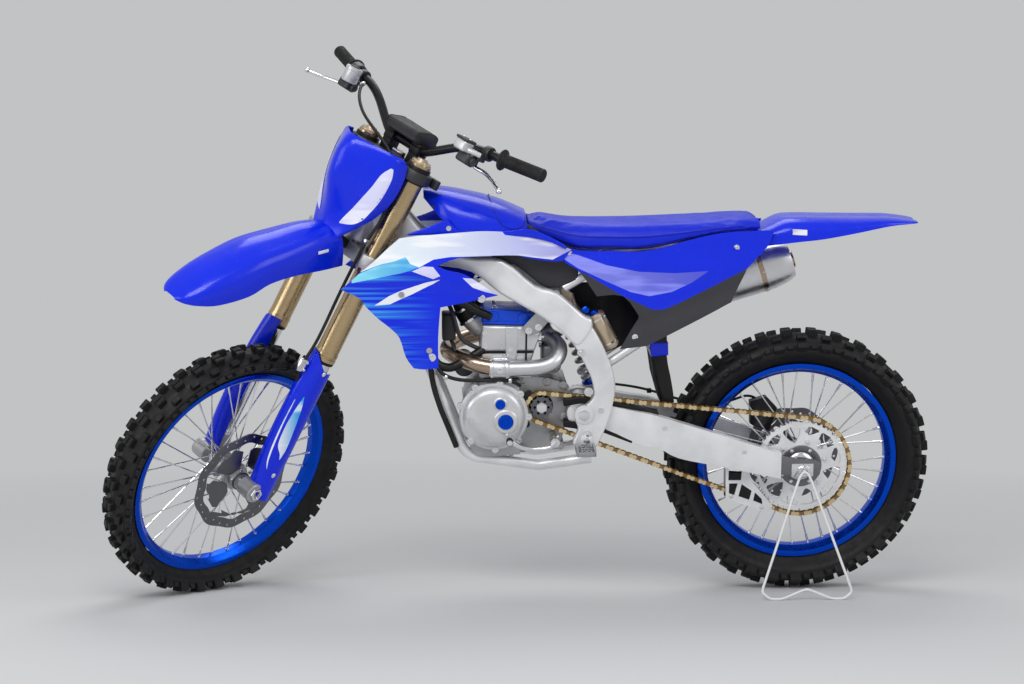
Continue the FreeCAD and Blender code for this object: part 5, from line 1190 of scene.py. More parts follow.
def add_rear_fender():
    """Rear fender: a flat top with a groove along its middle, rolled sides and a blank white label."""
    bm = new_shape()
    rings = []
    for x, low, high, width in smooth_rows(REAR_FENDER, 4):
        ring = arch(x, low, high, width, 20, 3.4)
        for point in ring:
            across = abs(point.y) / width
            if across < GROOVE_SHARE and x < GROOVE_START:
                point.z -= GROOVE_DEPTH * (0.5 + 0.5 * math.cos(math.pi * across / GROOVE_SHARE))
        rings.append(ring)
    lofted(bm, rings, closed=False)
    walled(bm, SKIN_WALL)
    paint(bm)
    label = [(40, 933), (40, 947), (4, 945), (4, 931)]
    for flank in (1, -1):
        plate(bm, label, flank * 90.5, flank * 93.2, 0.8)
    paint(bm, 1)
    finished("rear_fender_shell", bm, "chassis", [BLUE_PLASTIC, WHITE_FILM], "rear_fender")


add_rear_fender()

SEAT = [(690, 945, 980, 66), (629, 928, 966, 84), (569, 906, 959, 98), (480, 904, 957, 108),
        (396, 905, 958, 112), (273, 932, 961, 110), (195, 944, 965, 102), (112, 947, 968, 88)]
SEAT_CAP = 0.006
SEAT_VOXEL = 0.006
SEAT_PRESSURE = 4.0
SEAT_FRAMES = 20


def simulated(piece):
    """Foam under a stretched cover: the pad swells a little under pressure, held to a small distance."""
    remesh = piece.modifiers.new("remesh", "REMESH")
    remesh.mode = "VOXEL"
    remesh.voxel_size = SEAT_VOXEL
    apply_all(piece)
    rest = [v.co.copy() for v in piece.data.vertices]
    cloth = piece.modifiers.new("cloth", "CLOTH")
    cloth.settings.use_pressure = True
    cloth.settings.uniform_pressure_force = SEAT_PRESSURE
    cloth.settings.quality = 5
    cloth.settings.effector_weights.gravity = 0.0
    scene = bpy.context.scene
    for number in range(1, SEAT_FRAMES + 1):
        scene.frame_set(number)
    apply_all(piece)
    scene.frame_set(1)
    for vert, start in zip(piece.data.vertices, rest):
        moved = vert.co - start
        if moved.length > SEAT_CAP:
            vert.co = start + moved.normalized() * SEAT_CAP


def apply_all(piece):
    """Keeps what the modifiers make as the mesh itself."""
    bpy.context.view_layer.update()
    graph = bpy.context.evaluated_depsgraph_get()
    mesh = bpy.data.meshes.new_from_object(piece.evaluated_get(graph), preserve_all_data_layers=True,
                                           depsgraph=graph)
    piece.modifiers.clear()
    old = piece.data
    piece.data = mesh
    mesh.name = old.name + "_made"


def seat_ring(x, base, crown, half):
    """Section of the seat: flat base, sides that lean in and a crowned top."""
    points = []
    rise = crown - base
    for across, up in ((0.97, 0.0), (1.0, 0.12), (0.98, 0.45), (0.9, 0.72), (0.76, 0.88), (0.5, 0.96),
                       (0.2, 1.0)):
        points.append(Vector((x, half * across, base + rise * up)))
    return points + opposite(points[::-1])


def add_seat():
    """Long foam seat under a grained cover, with a seam along each side."""
    bm = new_shape()
    rows = smooth_rows(SEAT, 5)
    lofted(bm, [seat_ring(*row) for row in rows])
    paint(bm)
    piece = finished("seat_pad", bm, "chassis", [SEAT_VINYL], "seat", 180)
    simulated(piece)
    for polygon in piece.data.polygons:
        polygon.use_smooth = True
    if not piece.data.materials:
        piece.data.materials.append(SEAT_VINYL)
    seams = new_shape()
    for flank in (1, -1):
        line = [Vector((x, flank * half * 0.965, base + (crown - base) * 0.58))
                for x, base, crown, half in rows[2:-1:3]]
        hose(seams, line, 1.3, 2)
    paint(seams)
    finished("seat_seams", seams, "chassis", [SEAT_VINYL], None)


add_seat()

FRONT_FENDER = [(1195, 892, 985, 60), (1260, 898, 995, 66), (1340, 908, 991, 73), (1420, 908, 986, 78),
                (1480, 890, 975, 79), (1560, 884, 951, 72), (1610, 890, 928, 60), (1636, 895, 913, 44),
                (1649, 899, 904, 22)]
FENDER_START = 1195
FENDER_LENGTH = 453
CHASSIS_TO_FORK = FORK_TO_CHASSIS.inverted()


def add_front_fender():
    """Front fender: a raised spine, hollow flanks, turned-down edges and a blank label on the left."""
    bm = new_shape()
    rings = []
    for x, low, high, width in smooth_rows(FRONT_FENDER, 4):
        ring = arch(x, low, high, width, 20, 3.0)
        share = (x - FENDER_START) / FENDER_LENGTH
        for point in ring:
            across = abs(point.y) / width
            dip = math.exp(-((across - 0.5) / 0.16) ** 2)
            point.z -= 5.0 * dip * math.sin(math.pi * min(1.0, share + 0.15))
        rings.append([CHASSIS_TO_FORK @ point for point in ring])
    lofted(bm, rings, closed=False)
    walled(bm, SKIN_WALL)
    paint(bm)
    spot = CHASSIS_TO_FORK @ Vector((1262, 66.5, 950))
    block(bm, spot, (30, 2.0, 8), 0.6, Matrix.Rotation(-RAKE, 4, "Y").inverted())
    paint(bm, 1)
    finished("front_fender_shell", bm, "fork", [BLUE_PLASTIC, WHITE_FILM], "front_fender")


add_front_fender()

PLATE = [(665, 128, 112, 50), (690, 132, 102, 66), (720, 140, 90, 84), (750, 154, 78, 100),
         (800, 178, 64, 113), (850, 186, 62, 116), (885, 182, 65, 113), (901, 176, 72, 108),
         (909, 170, 84, 96)]
PLATE_SECTION = ((1.0, 0.0), (0.99, 0.16), (0.95, 0.3), (0.9, 0.36), (0.7, 0.52), (0.45, 0.73),
                 (0.2, 0.93), (0.08, 0.99), (0.0, 1.0))
# Painted highlight bands on the plate's swept sides, each row as (height, inner and outer share of the half
# width).
PLATE_HIGHLIGHT_BANDS = [(700, 0.56, 0.6), (716, 0.56, 0.93), (760, 0.64, 0.955), (815, 0.74, 0.96),
               (855, 0.8, 0.96), (878, 0.9, 0.94)]
PLATE_FILM = plastic("plate_plastic", BLUE, 0.2, 0.15)


def plate_ring(up, nose, edge, half):
    """Section of the number plate: a flat face with the sides swept back."""
    points = []
    for across, share in PLATE_SECTION:
        points.append(Vector((edge + (nose - edge) * share, half * across, up)))
    return points + opposite(points[-2::-1])


def plate_spot(up, across, proud, flank):
    """Place in front of the plate, by height and by share of its half width."""
    ups = [row[0] for row in PLATE]
    nose, edge, half = (smooth_table(up, ups, [row[i] for row in PLATE]) for i in (1, 2, 3))
    share = smooth_table(-across, [-spot[0] for spot in PLATE_SECTION],
                         [spot[1] for spot in PLATE_SECTION])
    return Vector((edge + (nose - edge) * share + proud, flank * half * across, up))


def add_number_plate():
    """Front number plate, blank, with a pale band of painted highlight at each edge."""
    bm = new_shape()
    rows = smooth_rows(PLATE, 4)
    lofted(bm, [plate_ring(*row) for row in rows], closed=False)
    facing(bm, X_AXIS)
    walled(bm, SKIN_WALL)
    paint(bm)
    # Each flank gets a thin pale skin of painted highlight.
    for flank in (1, -1):
        rings = []
        for up, inner, outer in smooth_rows(PLATE_HIGHLIGHT_BANDS, 5):
            ring = []
            for k in range(5):
                across = inner + (outer - inner) * k / 4
                ring.append(plate_spot(up, across, 1.0, flank))
            rings.append(ring)
        lofted(bm, rings, closed=False)
        facing(bm, X_AXIS)
        paint(bm, 1)
    finished("number_plate_shell", bm, "fork", [PLATE_FILM, VIOLET_HIGHLIGHT_PAINT], "number_plate")


add_number_plate()


LEG = Vector((22, 102, 0))
GUARD_RADIUS = 32
GUARD_PLACES = (-12, 44, 110, 200, 293, 346, 392)
GUARD_SWELLS = (-6, 6, 16, 20, 18, 12, 4)
GUARD_FLASHES = (((104, 70, 71), (118, 62, 74), (140, 44, 76), (190, 40, 70), (240, 44, 62),
                  (276, 50, 52)),
                 ((70, 42, 43), (100, 30, 36), (180, 26, 31), (262, 28, 30)))
FLASH_FILM = graded("flash_film", (0.04, 0.4, 0.85), (0.85, 0.88, 0.95),
                    (FORK @ Vector((50, 130, 235))).x, (FORK @ Vector((50, 130, 130))).x)


def guard_spot(flank, up, angle, proud=0.0):
    """Place on a guard, an angle round its leg from straight ahead; its top edge falls to the rear."""
    c, s = math.cos(math.radians(angle)), math.sin(math.radians(angle))
    swell = smooth_table(up, GUARD_PLACES, GUARD_SWELLS) * max(0.0, c)
    drop = max(0.0, up - 300) / 92 * 44 * min(1.0, max(0.0, (angle - 10) / 70))
    radius = GUARD_RADIUS + proud
    return Vector((LEG.x + (radius + swell) * c, flank * (LEG.y + radius * s), up - drop))


def add_fork_guards():
    """Guards round the outside of each lower leg, with a printed flash."""
    bm = new_shape()
    for flank in (1, -1):
        rings = []
        for i in range(25):
            up = -12 + 404 * i / 24
            rings.append([guard_spot(flank, up, -62 + 190 * k / 14) for k in range(15)])
        lofted(bm, rings, closed=False)
        facing(bm, Y_AXIS * flank)
        walled(bm, 2.6)
        paint(bm)
        for up in (60, 346):
            bolt(bm, (30, flank * 133, up), (0, flank, 0), 5, 3)
        paint(bm, 1)
        for flash in GUARD_FLASHES:
            rings = [[guard_spot(flank, up, start + (end - start) * k / 4, 0.5) for k in range(5)]
                     for up, start, end in smooth_rows(flash, 4)]
            lofted(bm, rings, closed=False)
            facing(bm, Y_AXIS * flank)
            walled(bm, 0.5)
            paint(bm, 2)
    finished("fork_guards_moulded", bm, "fork", [BLUE_PLASTIC, POLISHED, FLASH_FILM], "fork_guards")


add_fork_guards()


# Engine and what hangs on it.

COVER_ALLOY = alloy("cover_alloy", (0.66, 0.66, 0.67), 0.26, 0.42)
BLUE_COVER = plastic("blue_cover_paint", (0.0, 0.07, 0.72), 0.3, 0.1)
BLACK_METAL = alloy("black_metal", (0.05, 0.05, 0.055), 0.35, 0.5)
CASE = [(612, 384), (612, 384), (700, 379), (800, 375), (830, 390), (838, 420), (846, 462), (847, 500),
        (842, 532), (828, 556), (800, 577), (800, 577), (690, 577), (690, 577), (640, 570), (600, 556),
        (590, 520), (589, 480), (597, 430)]
CASE_FRONT = [(708, 384), (708, 384), (800, 378), (828, 392), (836, 420), (844, 500), (824, 552),
              (796, 572), (710, 572), (710, 572)]
FLYWHEEL = (775, 486)
CLUTCH = (665, 480)
PUMP = (790, 430)
LARGE_PLUG = (747, 0, 478)
SMALL_PLUG = (760, 0, 522)


def add_crankcase():
    """Cast case: a stepped body with webs, bolt bosses, a drain plug and a seal at the output shaft."""
    bm = new_shape()
    plate(bm, outlined(CASE), -92, 51, 5)
    paint(bm)
    plate(bm, outlined(CASE_FRONT), 48, 93, 5)
    paint(bm)
    for x in (730, 760, 790):
        block(bm, (x, 0, 372), (9, 150, 16), 3)
    for z in (420, 452, 484, 516):
        block(bm, (842, 0, z), (16, 150, 7), 2.5)
    paint(bm)
    for x, z in ((600, 550), (606, 395), (640, 560), (702, 566), (700, 390), (596, 470)):
        pin(bm, x, z, -94, 54, 11, edge=2)
        bolt(bm, (x, 54, z), Y_AXIS, 5.5, 5)
    paint(bm, 0)
    turned(bm, [(9, 50), (30, 50), (30, 55), (27, 58), (22, 58), (20, 56), (9, 56)], (655, 0, 500),
           Y_AXIS, 40, closed=True)
    paint(bm, 1)
    pin(bm, 625, 425, 48, 96, 10, edge=1)
    rod(bm, (700, 0, 384), (700, 0, 366), 13, sides=6, edge=1)
    paint(bm, 2)
    finished("crankcase_cast", bm, "chassis", [ENGINE_ALLOY, BLACK_PLASTIC, POLISHED], "crankcase")


def ringed(centre, radius, angles):
    """Places on a ring, one for each angle in degrees."""
    return [(centre[0] + radius * math.cos(math.radians(angle)),
             centre[1] + radius * math.sin(math.radians(angle))) for angle in angles]


def add_engine_covers():
    """Flywheel cover with two blue plugs on the left, clutch cover and water pump on the right."""
    bm = new_shape()
    spot = (FLYWHEEL[0], 0, FLYWHEEL[1])
    turned(bm, [(0, 92), (84, 92), (86, 95), (86, 103), (83, 106), (78, 107), (75, 112), (70, 119),
                (62, 123.5), (44, 126), (20, 127), (0, 127.3)], spot, Y_AXIS, 72)
    bmesh.ops.bisect_plane(bm, geom=whole(fresh_faces(bm)), plane_co=(808, 124, 457),
                           plane_no=(0.372, 0.868, -0.327), clear_outer=True, dist=0.01)
    rims = [e for e in bm.edges if len(e.link_faces) == 1]
    bmesh.ops.holes_fill(bm, edges=rims, sides=0)
    paint(bm)
    for x, z in ringed(FLYWHEEL, 86, (18, 58, 100, 140, 182, 226, 268, 312)):
        pin(bm, x, z, 92, 106, 9, edge=1.5, sides=18)
        paint(bm)
        bolt(bm, (x, 106, z), Y_AXIS, 5, 4.5)
        paint(bm, 2)
    turned(bm, [(0, 122), (31, 122), (30, 128.5), (27, 131), (0, 131)], LARGE_PLUG, Y_AXIS, 48)
    turned(bm, [(0, 122), (17, 122), (17, 127.5), (15, 129), (0, 129)], SMALL_PLUG, Y_AXIS, 36)
    paint(bm)
    turned(bm, [(0, 130), (19, 130), (19, 133.5), (17.5, 135), (9, 135), (8, 133), (0, 133)],
           LARGE_PLUG, Y_AXIS, 48)
    turned(bm, [(0, 128), (12.5, 128), (12.5, 131), (11, 132.4), (5.5, 132.4), (5, 131), (0, 131)],
           SMALL_PLUG, Y_AXIS, 36)
    paint(bm, 1)
    right = (CLUTCH[0], 0, CLUTCH[1])
    turned(bm, [(0, 91), (86, 91), (88, 94), (88, 106), (85, 109), (79, 110), (75, 116), (71, 127),
                (63, 133), (44, 135.5), (20, 136), (0, 136.5)], right, -Y_AXIS, 72)
    turned(bm, [(0, 90), (33, 90), (34, 94), (32, 112), (26, 118), (12, 119), (0, 119)],
           (PUMP[0], 0, PUMP[1]), -Y_AXIS, 36)
    rod(bm, (790, -104, 430), (838, -104, 418), 12, edge=1)
    paint(bm)
    bosses = ringed(CLUTCH, 88, (10, 62, 112, 160, 214, 262, 310)) + ringed(PUMP, 34, (60, 180, 300))
    for x, z in bosses:
        pin(bm, x, z, -92, -108, 9, edge=1.5, sides=18)
        paint(bm)
        bolt(bm, (x, -108, z), -Y_AXIS, 5, 4.5)
        paint(bm, 2)
    turned(bm, [(0, 128), (15, 128), (15, 139), (13, 141), (0, 141)], (700, 0, 532), -Y_AXIS, 12)
    paint(bm, 1)
    finished("engine_covers_cast", bm, "chassis", [COVER_ALLOY, BLUE_ALLOY, POLISHED], "engine_covers",
             30)


BARREL = [(690, 576), (690, 576), (799, 576), (799, 576), (805, 610), (807, 640), (807, 640), (673, 640),
          (673, 640), (684, 606)]
HEAD = [(673, 643), (673, 643), (807, 643), (807, 643), (805, 680), (802, 709), (802, 709), (656, 704),
        (656, 704), (662, 672)]


def add_cylinder():
    """Smooth cylinder and head with a gasket between them, a raised chain tunnel and the intake stub."""
    bm = new_shape()
    plate(bm, outlined(BARREL), -70, 70, 7, 3)
    plate(bm, outlined(HEAD), -72, 72, 7, 3)
    plate(bm, [(717, 580), (744, 580), (745, 706), (716, 706)], 66, 76, 4, 3)
    block(bm, (745, 0, 583), (128, 150, 12), 3)
    paint(bm)
    plate(bm, [(676, 638), (804, 638), (804, 645), (676, 645)], -69, 69, 0)
    plate(bm, [(692, 598), (696.5, 598), (695, 703), (690.5, 703)], 68, 73, 0)
    paint(bm, 1)
    for x, z in ((733, 650), (733, 592), (668, 690), (796, 690), (796, 655)):
        bolt(bm, (x, 76 if x == 733 else 71.5, z), Y_AXIS, 5, 4)
        bolt(bm, (x, -71.5, z), -Y_AXIS, 5, 4)
    paint(bm, 2)
    rod(bm, (800, 0, 684), (834, 0, 716), 26, 24, 28, edge=2)
    paint(bm)
    rod(bm, (828, 0, 712), (846, 0, 744), 29, 29, 28, edge=3)
    rod(bm, (842, 0, 738), (856, 0, 800), 27, 34, 28, edge=3)
    paint(bm, 1)
    for place in ((829, 0, 711), (844, 0, 740)):
        rod(bm, place, Vector(place) + Vector((4, 0, 6)), 31, sides=28, edge=1)
    paint(bm, 2)
    finished("cylinder_cast", bm, "chassis", [COVER_ALLOY, BLACK_PLASTIC, POLISHED], "cylinder_head",
             30)


CAM_COVER = [(656, 707), (656, 707), (802, 713), (802, 713), (801, 738), (788, 747), (740, 745),
             (700, 742), (664, 730), (651, 718)]


def add_cam_cover():
    """Blue cover over the cams: a swelling for each shaft, a flange and four bolts."""
    bm = new_shape()
    plate(bm, outlined(CAM_COVER, 4), -60, 60, 9, 4)
    plate(bm, [(655, 706), (803, 712), (803, 718), (654, 713)], -64, 64, 2)
    for x, z in ((700, 724), (775, 729)):
        pin(bm, x, z, -63.5, 63.5, 15, edge=4, sides=28)
    paint(bm)
    for x, z in ((684, 741), (770, 749)):
        for y in (-34, 34):
            bolt(bm, (x, y, z - 4), Z_AXIS, 6, 7)
    paint(bm, 1)
    finished("cam_cover_cast", bm, "chassis", [BLUE_COVER, POLISHED], "cam_cover", 30)


def add_engine_hangers():
    """Plates that hang the head from the frame, with the boxes and hoses between cylinder and radiators."""
    bm = new_shape()
    plate(bm, [(706, 702), (684, 684), (664, 690), (626, 734), (630, 762), (652, 768), (668, 744)],
          76, 81, 1.5)
    paint(bm)
    for x, z in ((688, 697), (664, 706), (640, 750)):
        bolt(bm, (x, 81, z), Y_AXIS, 7, 5)
    paint(bm, 1)
    mirrored(bm)
    paint(bm)
    hose(bm, [(928, 100, 652), (918, 102, 618), (900, 105, 592), (860, 106, 579), (800, 106, 578),
              (750, 105, 579), (722, 103, 573), (710, 90, 560)], 4.6, 3)
    paint(bm, 2)
    for x, y, z in ((893, 105, 588), (735, 104, 577)):
        rod(bm, (x - 4, y, z), (x + 4, y, z), 7, edge=0.8)
    paint(bm, 1)
    pin(bm, 846, 596, -70, 34, 25, edge=3, sides=32)
    pin(bm, 846, 596, 32, 44, 16, edge=2, sides=28)
    block(bm, (884, 20, 700), (34, 64, 66), 5)
    block(bm, (900, -10, 800), (40, 80, 40), 6)
    for y, out in ((30, 12), (38, 20), (14, 4)):
        hose(bm, [(880, y, 668), (868, y + out, 640), (858, y + out, 618), (850, y, 600)], 4, 3)
    hose(bm, [(900, 24, 790), (884, 48, 762), (872, 62, 730), (862, 66, 690), (846, 62, 664),
              (812, 62, 650)], 5.5, 3)
    paint(bm, 3)
    finished("engine_hangers", bm, "chassis", [ENGINE_ALLOY, POLISHED, HOSE_RUBBER, BLACK_METAL],
             None)


add_crankcase()
add_engine_covers()
add_cylinder()
add_cam_cover()
add_engine_hangers()

# Header from the rear of the head, round its left side and front, back along the right side.
HEADER_SILVER = [(668, 0, 672), (648, 4, 671), (622, 30, 662), (606, 59, 648), (618, 84, 622),
                 (650, 95, 608), (700, 99, 606), (745, 100.5, 606)]
HEADER_BRONZE = [(745, 100.5, 606), (790, 99, 610), (832, 86, 619), (864, 52, 626), (885, 12, 629),
                 (888, -34, 632), (868, -81, 638), (822, -116, 645), (760, -131, 652), (690, -134, 668),
                 (620, -135, 688), (568, -133.5, 692), (516, -132, 687), (484, -128, 691),
                 (456, -125.5, 697)]
HEADER_CLAMPS = [((736, 100, 606), (786, 100, 608), 23), ((740, 100, 606), (746, 100, 606), 25.5),
                 ((776, 100, 607.5), (782, 100, 608), 25.5),
                 ((478, -127.5, 692), (458, -125.5, 696.5), 24)]


def add_header():
    """Bent header: a silver elbow, a heat-tinted run, and clamps with springs where they join."""
    bm = new_shape()
    hose(bm, HEADER_SILVER, 19.6, 6)
    paint(bm)
    hose(bm, HEADER_BRONZE, 20, 6)
    paint(bm, 1)
    for start, end, radius in HEADER_CLAMPS:
        rod(bm, start, end, radius, sides=32, edge=1.2)
    paint(bm)
    turned(bm, [(20, 0), (34, 0), (34, 7), (26, 9), (20, 9)], (657, 0, 671), (-1, 0.1, 0),
           32, closed=True)
    for y in (-28, 28):
        rod(bm, (660, y, 671), (646, y, 671), 5, sides=6, edge=0.5)
    for z in (584, 630):
        rod(bm, (742, 101, z), (780, 101, z + 1), 3.4, sides=10)
    bolt(bm, (761, 124, 607), Y_AXIS, 6, 6)
    paint(bm, 2)
    finished("exhaust_header", bm, "chassis", [CAN_METAL, HEADER_METAL, POLISHED], "exhaust_pipe")


CAN_START = Vector((460, -125, 695))
CAN_END = Vector((6, -103, 838))
CAN_WAY = (CAN_END - CAN_START).normalized()
CAN_HALF = 60
CAN_POWER = 0.82
CAN_STATIONS = [(0.0, 0.44, 0.46), (0.06, 0.46, 0.48), (0.14, 0.52, 0.54), (0.24, 0.76, 0.7),
                (0.33, 0.94, 0.8), (0.36, 0.965, 0.82), (0.6, 0.985, 0.84), (0.84, 1.0, 0.86),
                (0.88, 0.98, 0.84), (0.93, 0.92, 0.8), (0.97, 0.84, 0.74), (1.0, 0.72, 0.66)]


def can_ring(share, tall, wide, sides=32):
    """Section of the silencer, a softly squared oval."""
    rise = (Z_AXIS - CAN_WAY * CAN_WAY.z).normalized()
    side = CAN_WAY.cross(rise)
    centre = CAN_START.lerp(CAN_END, share)
    ring = []
    for i in range(sides):
        angle = TURN * i / sides
        c, s = math.cos(angle), math.sin(angle)
        ring.append(centre + side * CAN_HALF * wide * math.copysign(abs(c) ** CAN_POWER, c)
                    + rise * CAN_HALF * tall * math.copysign(abs(s) ** CAN_POWER, s))
    return ring


def add_silencer():
    """Silencer can with its cone, end cap, rivetted bands, hanger and outlet."""
    bm = new_shape()
    lofted(bm, [can_ring(*row) for row in CAN_STATIONS[:6]])
    paint(bm, 1)
    lofted(bm, [can_ring(*row) for row in CAN_STATIONS[5:9]])
    lofted(bm, [can_ring(*row) for row in CAN_STATIONS[7:]])
    paint(bm)
    for share in (0.37, 0.83):
        lofted(bm, [can_ring(share + k, 1.0, 0.86) for k in (-0.014, -0.012, 0.012, 0.014)])
    paint(bm, 1)
    for share in (0.375, 0.835):
        for spot in can_ring(share, 1.0, 0.86, 14):
            out = (spot - CAN_START.lerp(CAN_END, share)).normalized()
            rod(bm, spot - out, spot + out * 2.4, 3, 2, 10)
    paint(bm, 3)
    tip = CAN_START.lerp(CAN_END, 0.985)
    turned(bm, [(20, -14), (23, -14), (23, 12), (21.5, 14), (20, 12)], tip, CAN_WAY, 36, closed=True)
    paint(bm, 1)
    turned(bm, [(0, 2), (20.4, 2), (20.4, 3), (0, 3)], tip, CAN_WAY, 24)
    paint(bm, 2)
    bracket = CAN_START.lerp(CAN_END, 0.62)
    block(bm, bracket + Vector((0, 30, 52)), (70, 34, 8), 3)
    rod(bm, bracket + Vector((-18, 10, 52)), bracket + Vector((-18, 10, 62)), 9, edge=1)
    paint(bm, 3)
    finished("silencer_can", bm, "chassis", [CAN_METAL, HEADER_METAL, BLACK_PLASTIC, POLISHED],
             "silencer", 30)


add_header()
add_silencer()


def add_radiators():
    """Finned cores between end tanks, with a slatted guard in front of each and pins for the shrouds."""
    bm = new_shape()
    lean = Matrix.Rotation(math.radians(25), 4, "Y")
    place = Matrix.Translation((972, 0, 750)) @ lean
    for up in (-98, 96):
        block(bm, place @ Vector((-2, 104, up)), (28, 80, 20), 5, lean, 3)
    for y in (66, 142):
        block(bm, place @ Vector((0, y, 0)), (30, 3.5, 184), 0.8, lean)
    paint(bm)
    for i in range(34):
        block(bm, place @ Vector((0, 104, -87 + i * 5.27)), (25, 74, 0.9), 0, lean)
    for i in range(10):
        block(bm, place @ Vector((0, 71.5 + i * 7.2, 0)), (19, 1.8, 178), 0, lean)
    paint(bm, 1)
    for i in range(8):
        spot = place @ Vector((17, 104, -96 + i * 24))
        block(bm, spot, (12, 78, 2.4), 0.8, lean @ Matrix.Rotation(math.radians(-35), 4, "Y"))
    for y in (66, 142):
        block(bm, place @ Vector((17, y, -6)), (10, 4, 184), 1, lean)
    paint(bm, 2)
    pin(bm, 1000, 806, 104, 161, 7)
    pin(bm, 934, 668, 104, 165, 7)
    paint(bm)
    mirrored(bm)
    paint(bm)
    finished("radiators_finned", bm, "chassis", [ENGINE_ALLOY, DARK_ALLOY, BLACK_PLASTIC], "radiators")


TANK = [(924, 1008), (900, 1019), (868, 1019), (820, 1010), (770, 995), (690, 961), (610, 905),
        (562, 880), (562, 880), (567, 816), (567, 816), (640, 801), (700, 845), (760, 883), (800, 890),
        (840, 896), (868, 930), (890, 966), (915, 992)]


def add_tank():
    """Dark tank and airbox side under the covers."""
    bm = new_shape()
    plate(bm, outlined(TANK), -72, 72, 9, 4)
    paint(bm)
    block(bm, (700, 0, 880), (150, 150, 40), 10)
    paint(bm)
    finished("fuel_tank_moulded", bm, "chassis", [GREY_PLASTIC], "fuel_tank")


SPRING_STEEL = steel("spring_steel", (0.5, 0.5, 0.52), 0.25, 0.4, 0.8)
SHOCK_SPOTS = ((590, 770), (572, 712), (512, 556), (492, 506))


def add_shock():
    """Shock absorber: coil spring on a damper, with its reservoir and adjusters."""
    bm = new_shape()
    top, seat, foot, low = (Vector((x, 0, z)) for x, z in SHOCK_SPOTS)
    way = (foot - seat).normalized()
    side = way.orthogonal().normalized()
    other = way.cross(side)
    turns, count = 7, 98
    coil = []
    for i in range(count + 1):
        angle = TURN * turns * i / count
        coil.append(seat + way * (6 + ((foot - seat).length - 12) * i / count)
                    + side * 31.5 * math.cos(angle) + other * 31.5 * math.sin(angle))
    hose(bm, coil, 6.2, 3)
    paint(bm, 1)
    rod(bm, seat.lerp(foot, 0.03), seat.lerp(foot, 0.66), 23, edge=2, sides=28)
    rod(bm, top, seat, 20, edge=3)
    rod(bm, foot, low, 17, edge=3)
    pin(bm, 590, 770, -20, 20, 15)
    pin(bm, 492, 506, -18, 18, 14)
    paint(bm)
    rod(bm, seat - way * 3, seat + way * 5, 38, edge=2, sides=32)
    rod(bm, foot - way * 5, foot + way * 3, 38, edge=2, sides=32)
    paint(bm, 2)
    rod(bm, seat.lerp(foot, 0.6), foot, 9)
    paint(bm, 3)
    high, deep = Vector((524, 58, 734)), Vector((480, 58, 648))
    axis = (deep - high).normalized()
    length = (deep - high).length
    turned(bm, [(0, 0), (20, 0), (23, 3), (23.5, 8), (23.5, length - 10), (22, length - 5), (18, length),
                (0, length)], high, axis, 36)
    rod(bm, (566, 6, 716), (526, 50, 726), 13)
    paint(bm)
    turned(bm, [(0, -9), (11, -9), (12, -7), (12, 1), (0, 1)], high, axis, 24)
    rod(bm, (545, 40, 738), (545, 62, 744), 10, edge=1.5, sides=6)
    paint(bm, 2)
    for along in (14, length - 16):
        turned(bm, [(23, along - 2), (25, along - 2), (25, along + 2), (23, along + 2)], high, axis, 36,
               closed=True)
    paint(bm, 3)
    finished("shock_sprung", bm, "chassis", [PALE_GOLD, SPRING_STEEL, BLUE_ALLOY, POLISHED],
             "shock_absorber")


add_radiators()
add_tank()
add_shock()


# Chain run, feet and brakes.

FRONT_TEETH = 13
SPROCKET_GUARD = [(690, 548), (712, 520), (712, 478), (694, 452), (684, 462), (698, 484), (698, 516),
                  (680, 540)]


def add_front_sprocket():
    """Small sprocket with its nut, and the black guard round its front."""
    bm = new_shape()
    outline = []
    for i in range(FRONT_TEETH):
        for share, radius in ((0.0, 25.5), (0.3, 26.5), (0.44, 29.5), (0.56, 29.5), (0.7, 26.5)):
            x, z = polar(radius, TURN * (i + share) / FRONT_TEETH)
            outline.append((FRONT_SPROCKET.x + x, FRONT_SPROCKET.z + z))
    middle = FRONT_SPROCKET
    spots = [polar(17, TURN * k / 6) for k in range(6)]
    pierced(bm, outline, [circle(middle.x + x, middle.z + z, 3.4, 10) for x, z in spots], 68.5, 75.5)
    paint(bm)
    pin(bm, 655, 500, 51, 84, 9)
    pin(bm, 655, 500, 75, 81, 14.5, sides=6, edge=1)
    paint(bm, 1)
    plate(bm, outlined(SPROCKET_GUARD), 84, 89, 1.5)
    pin(bm, 697, 500, 50, 86, 6)
    paint(bm, 2)
    finished("front_sprocket_toothed", bm, "chassis", [DARK_STEEL, POLISHED, BLACK_PLASTIC],
             "front_sprocket")


GUIDE = [(192, 352), (190, 262), (150, 246), (80, 222), (70, 240), (120, 300), (140, 345)]
GUIDE_WINDOWS = [[(184, 342), (184, 308), (152, 308), (150, 336)],
                 [(182, 300), (182, 274), (168, 269), (160, 300)],
                 [(150, 298), (158, 266), (130, 256), (124, 280)],
                 [(116, 276), (120, 254), (96, 244), (98, 258)]]


def add_chain_guide():
    """Two cut-out alloy plates with a black wear block between them, which the chain runs through."""
    bm = new_shape()
    for low in (55.2, 85.4):
        pierced(bm, GUIDE, GUIDE_WINDOWS, low, low + 3.4)
    paint(bm)
    plate(bm, [(191, 264), (150, 247), (80, 223), (72, 238), (84, 241), (140, 256), (188, 276)],
          58, 86, 2)
    for low in (58.4, 81.6):
        plate(bm, [(186, 326), (187, 268), (150, 252), (82, 230), (78, 240), (122, 292), (140, 322)],
              low, low + 3.8, 1)
    paint(bm, 1)
    for x, z in ((180, 346), (148, 342), (98, 236), (176, 266)):
        bolt(bm, (x, 88.6, z), Y_AXIS, 4.5, 3)
    paint(bm, 2)
    finished("chain_guide_fitted", bm, "chassis", [FRAME_ALLOY, BLACK_PLASTIC, POLISHED], "chain_guide")


FLAP = [(377, 646), (375, 612), (366, 572), (358, 540), (350, 515), (346, 498), (346, 498), (320, 503),
        (320, 503), (323, 530), (330, 569), (338, 606), (342, 646), (342, 646)]


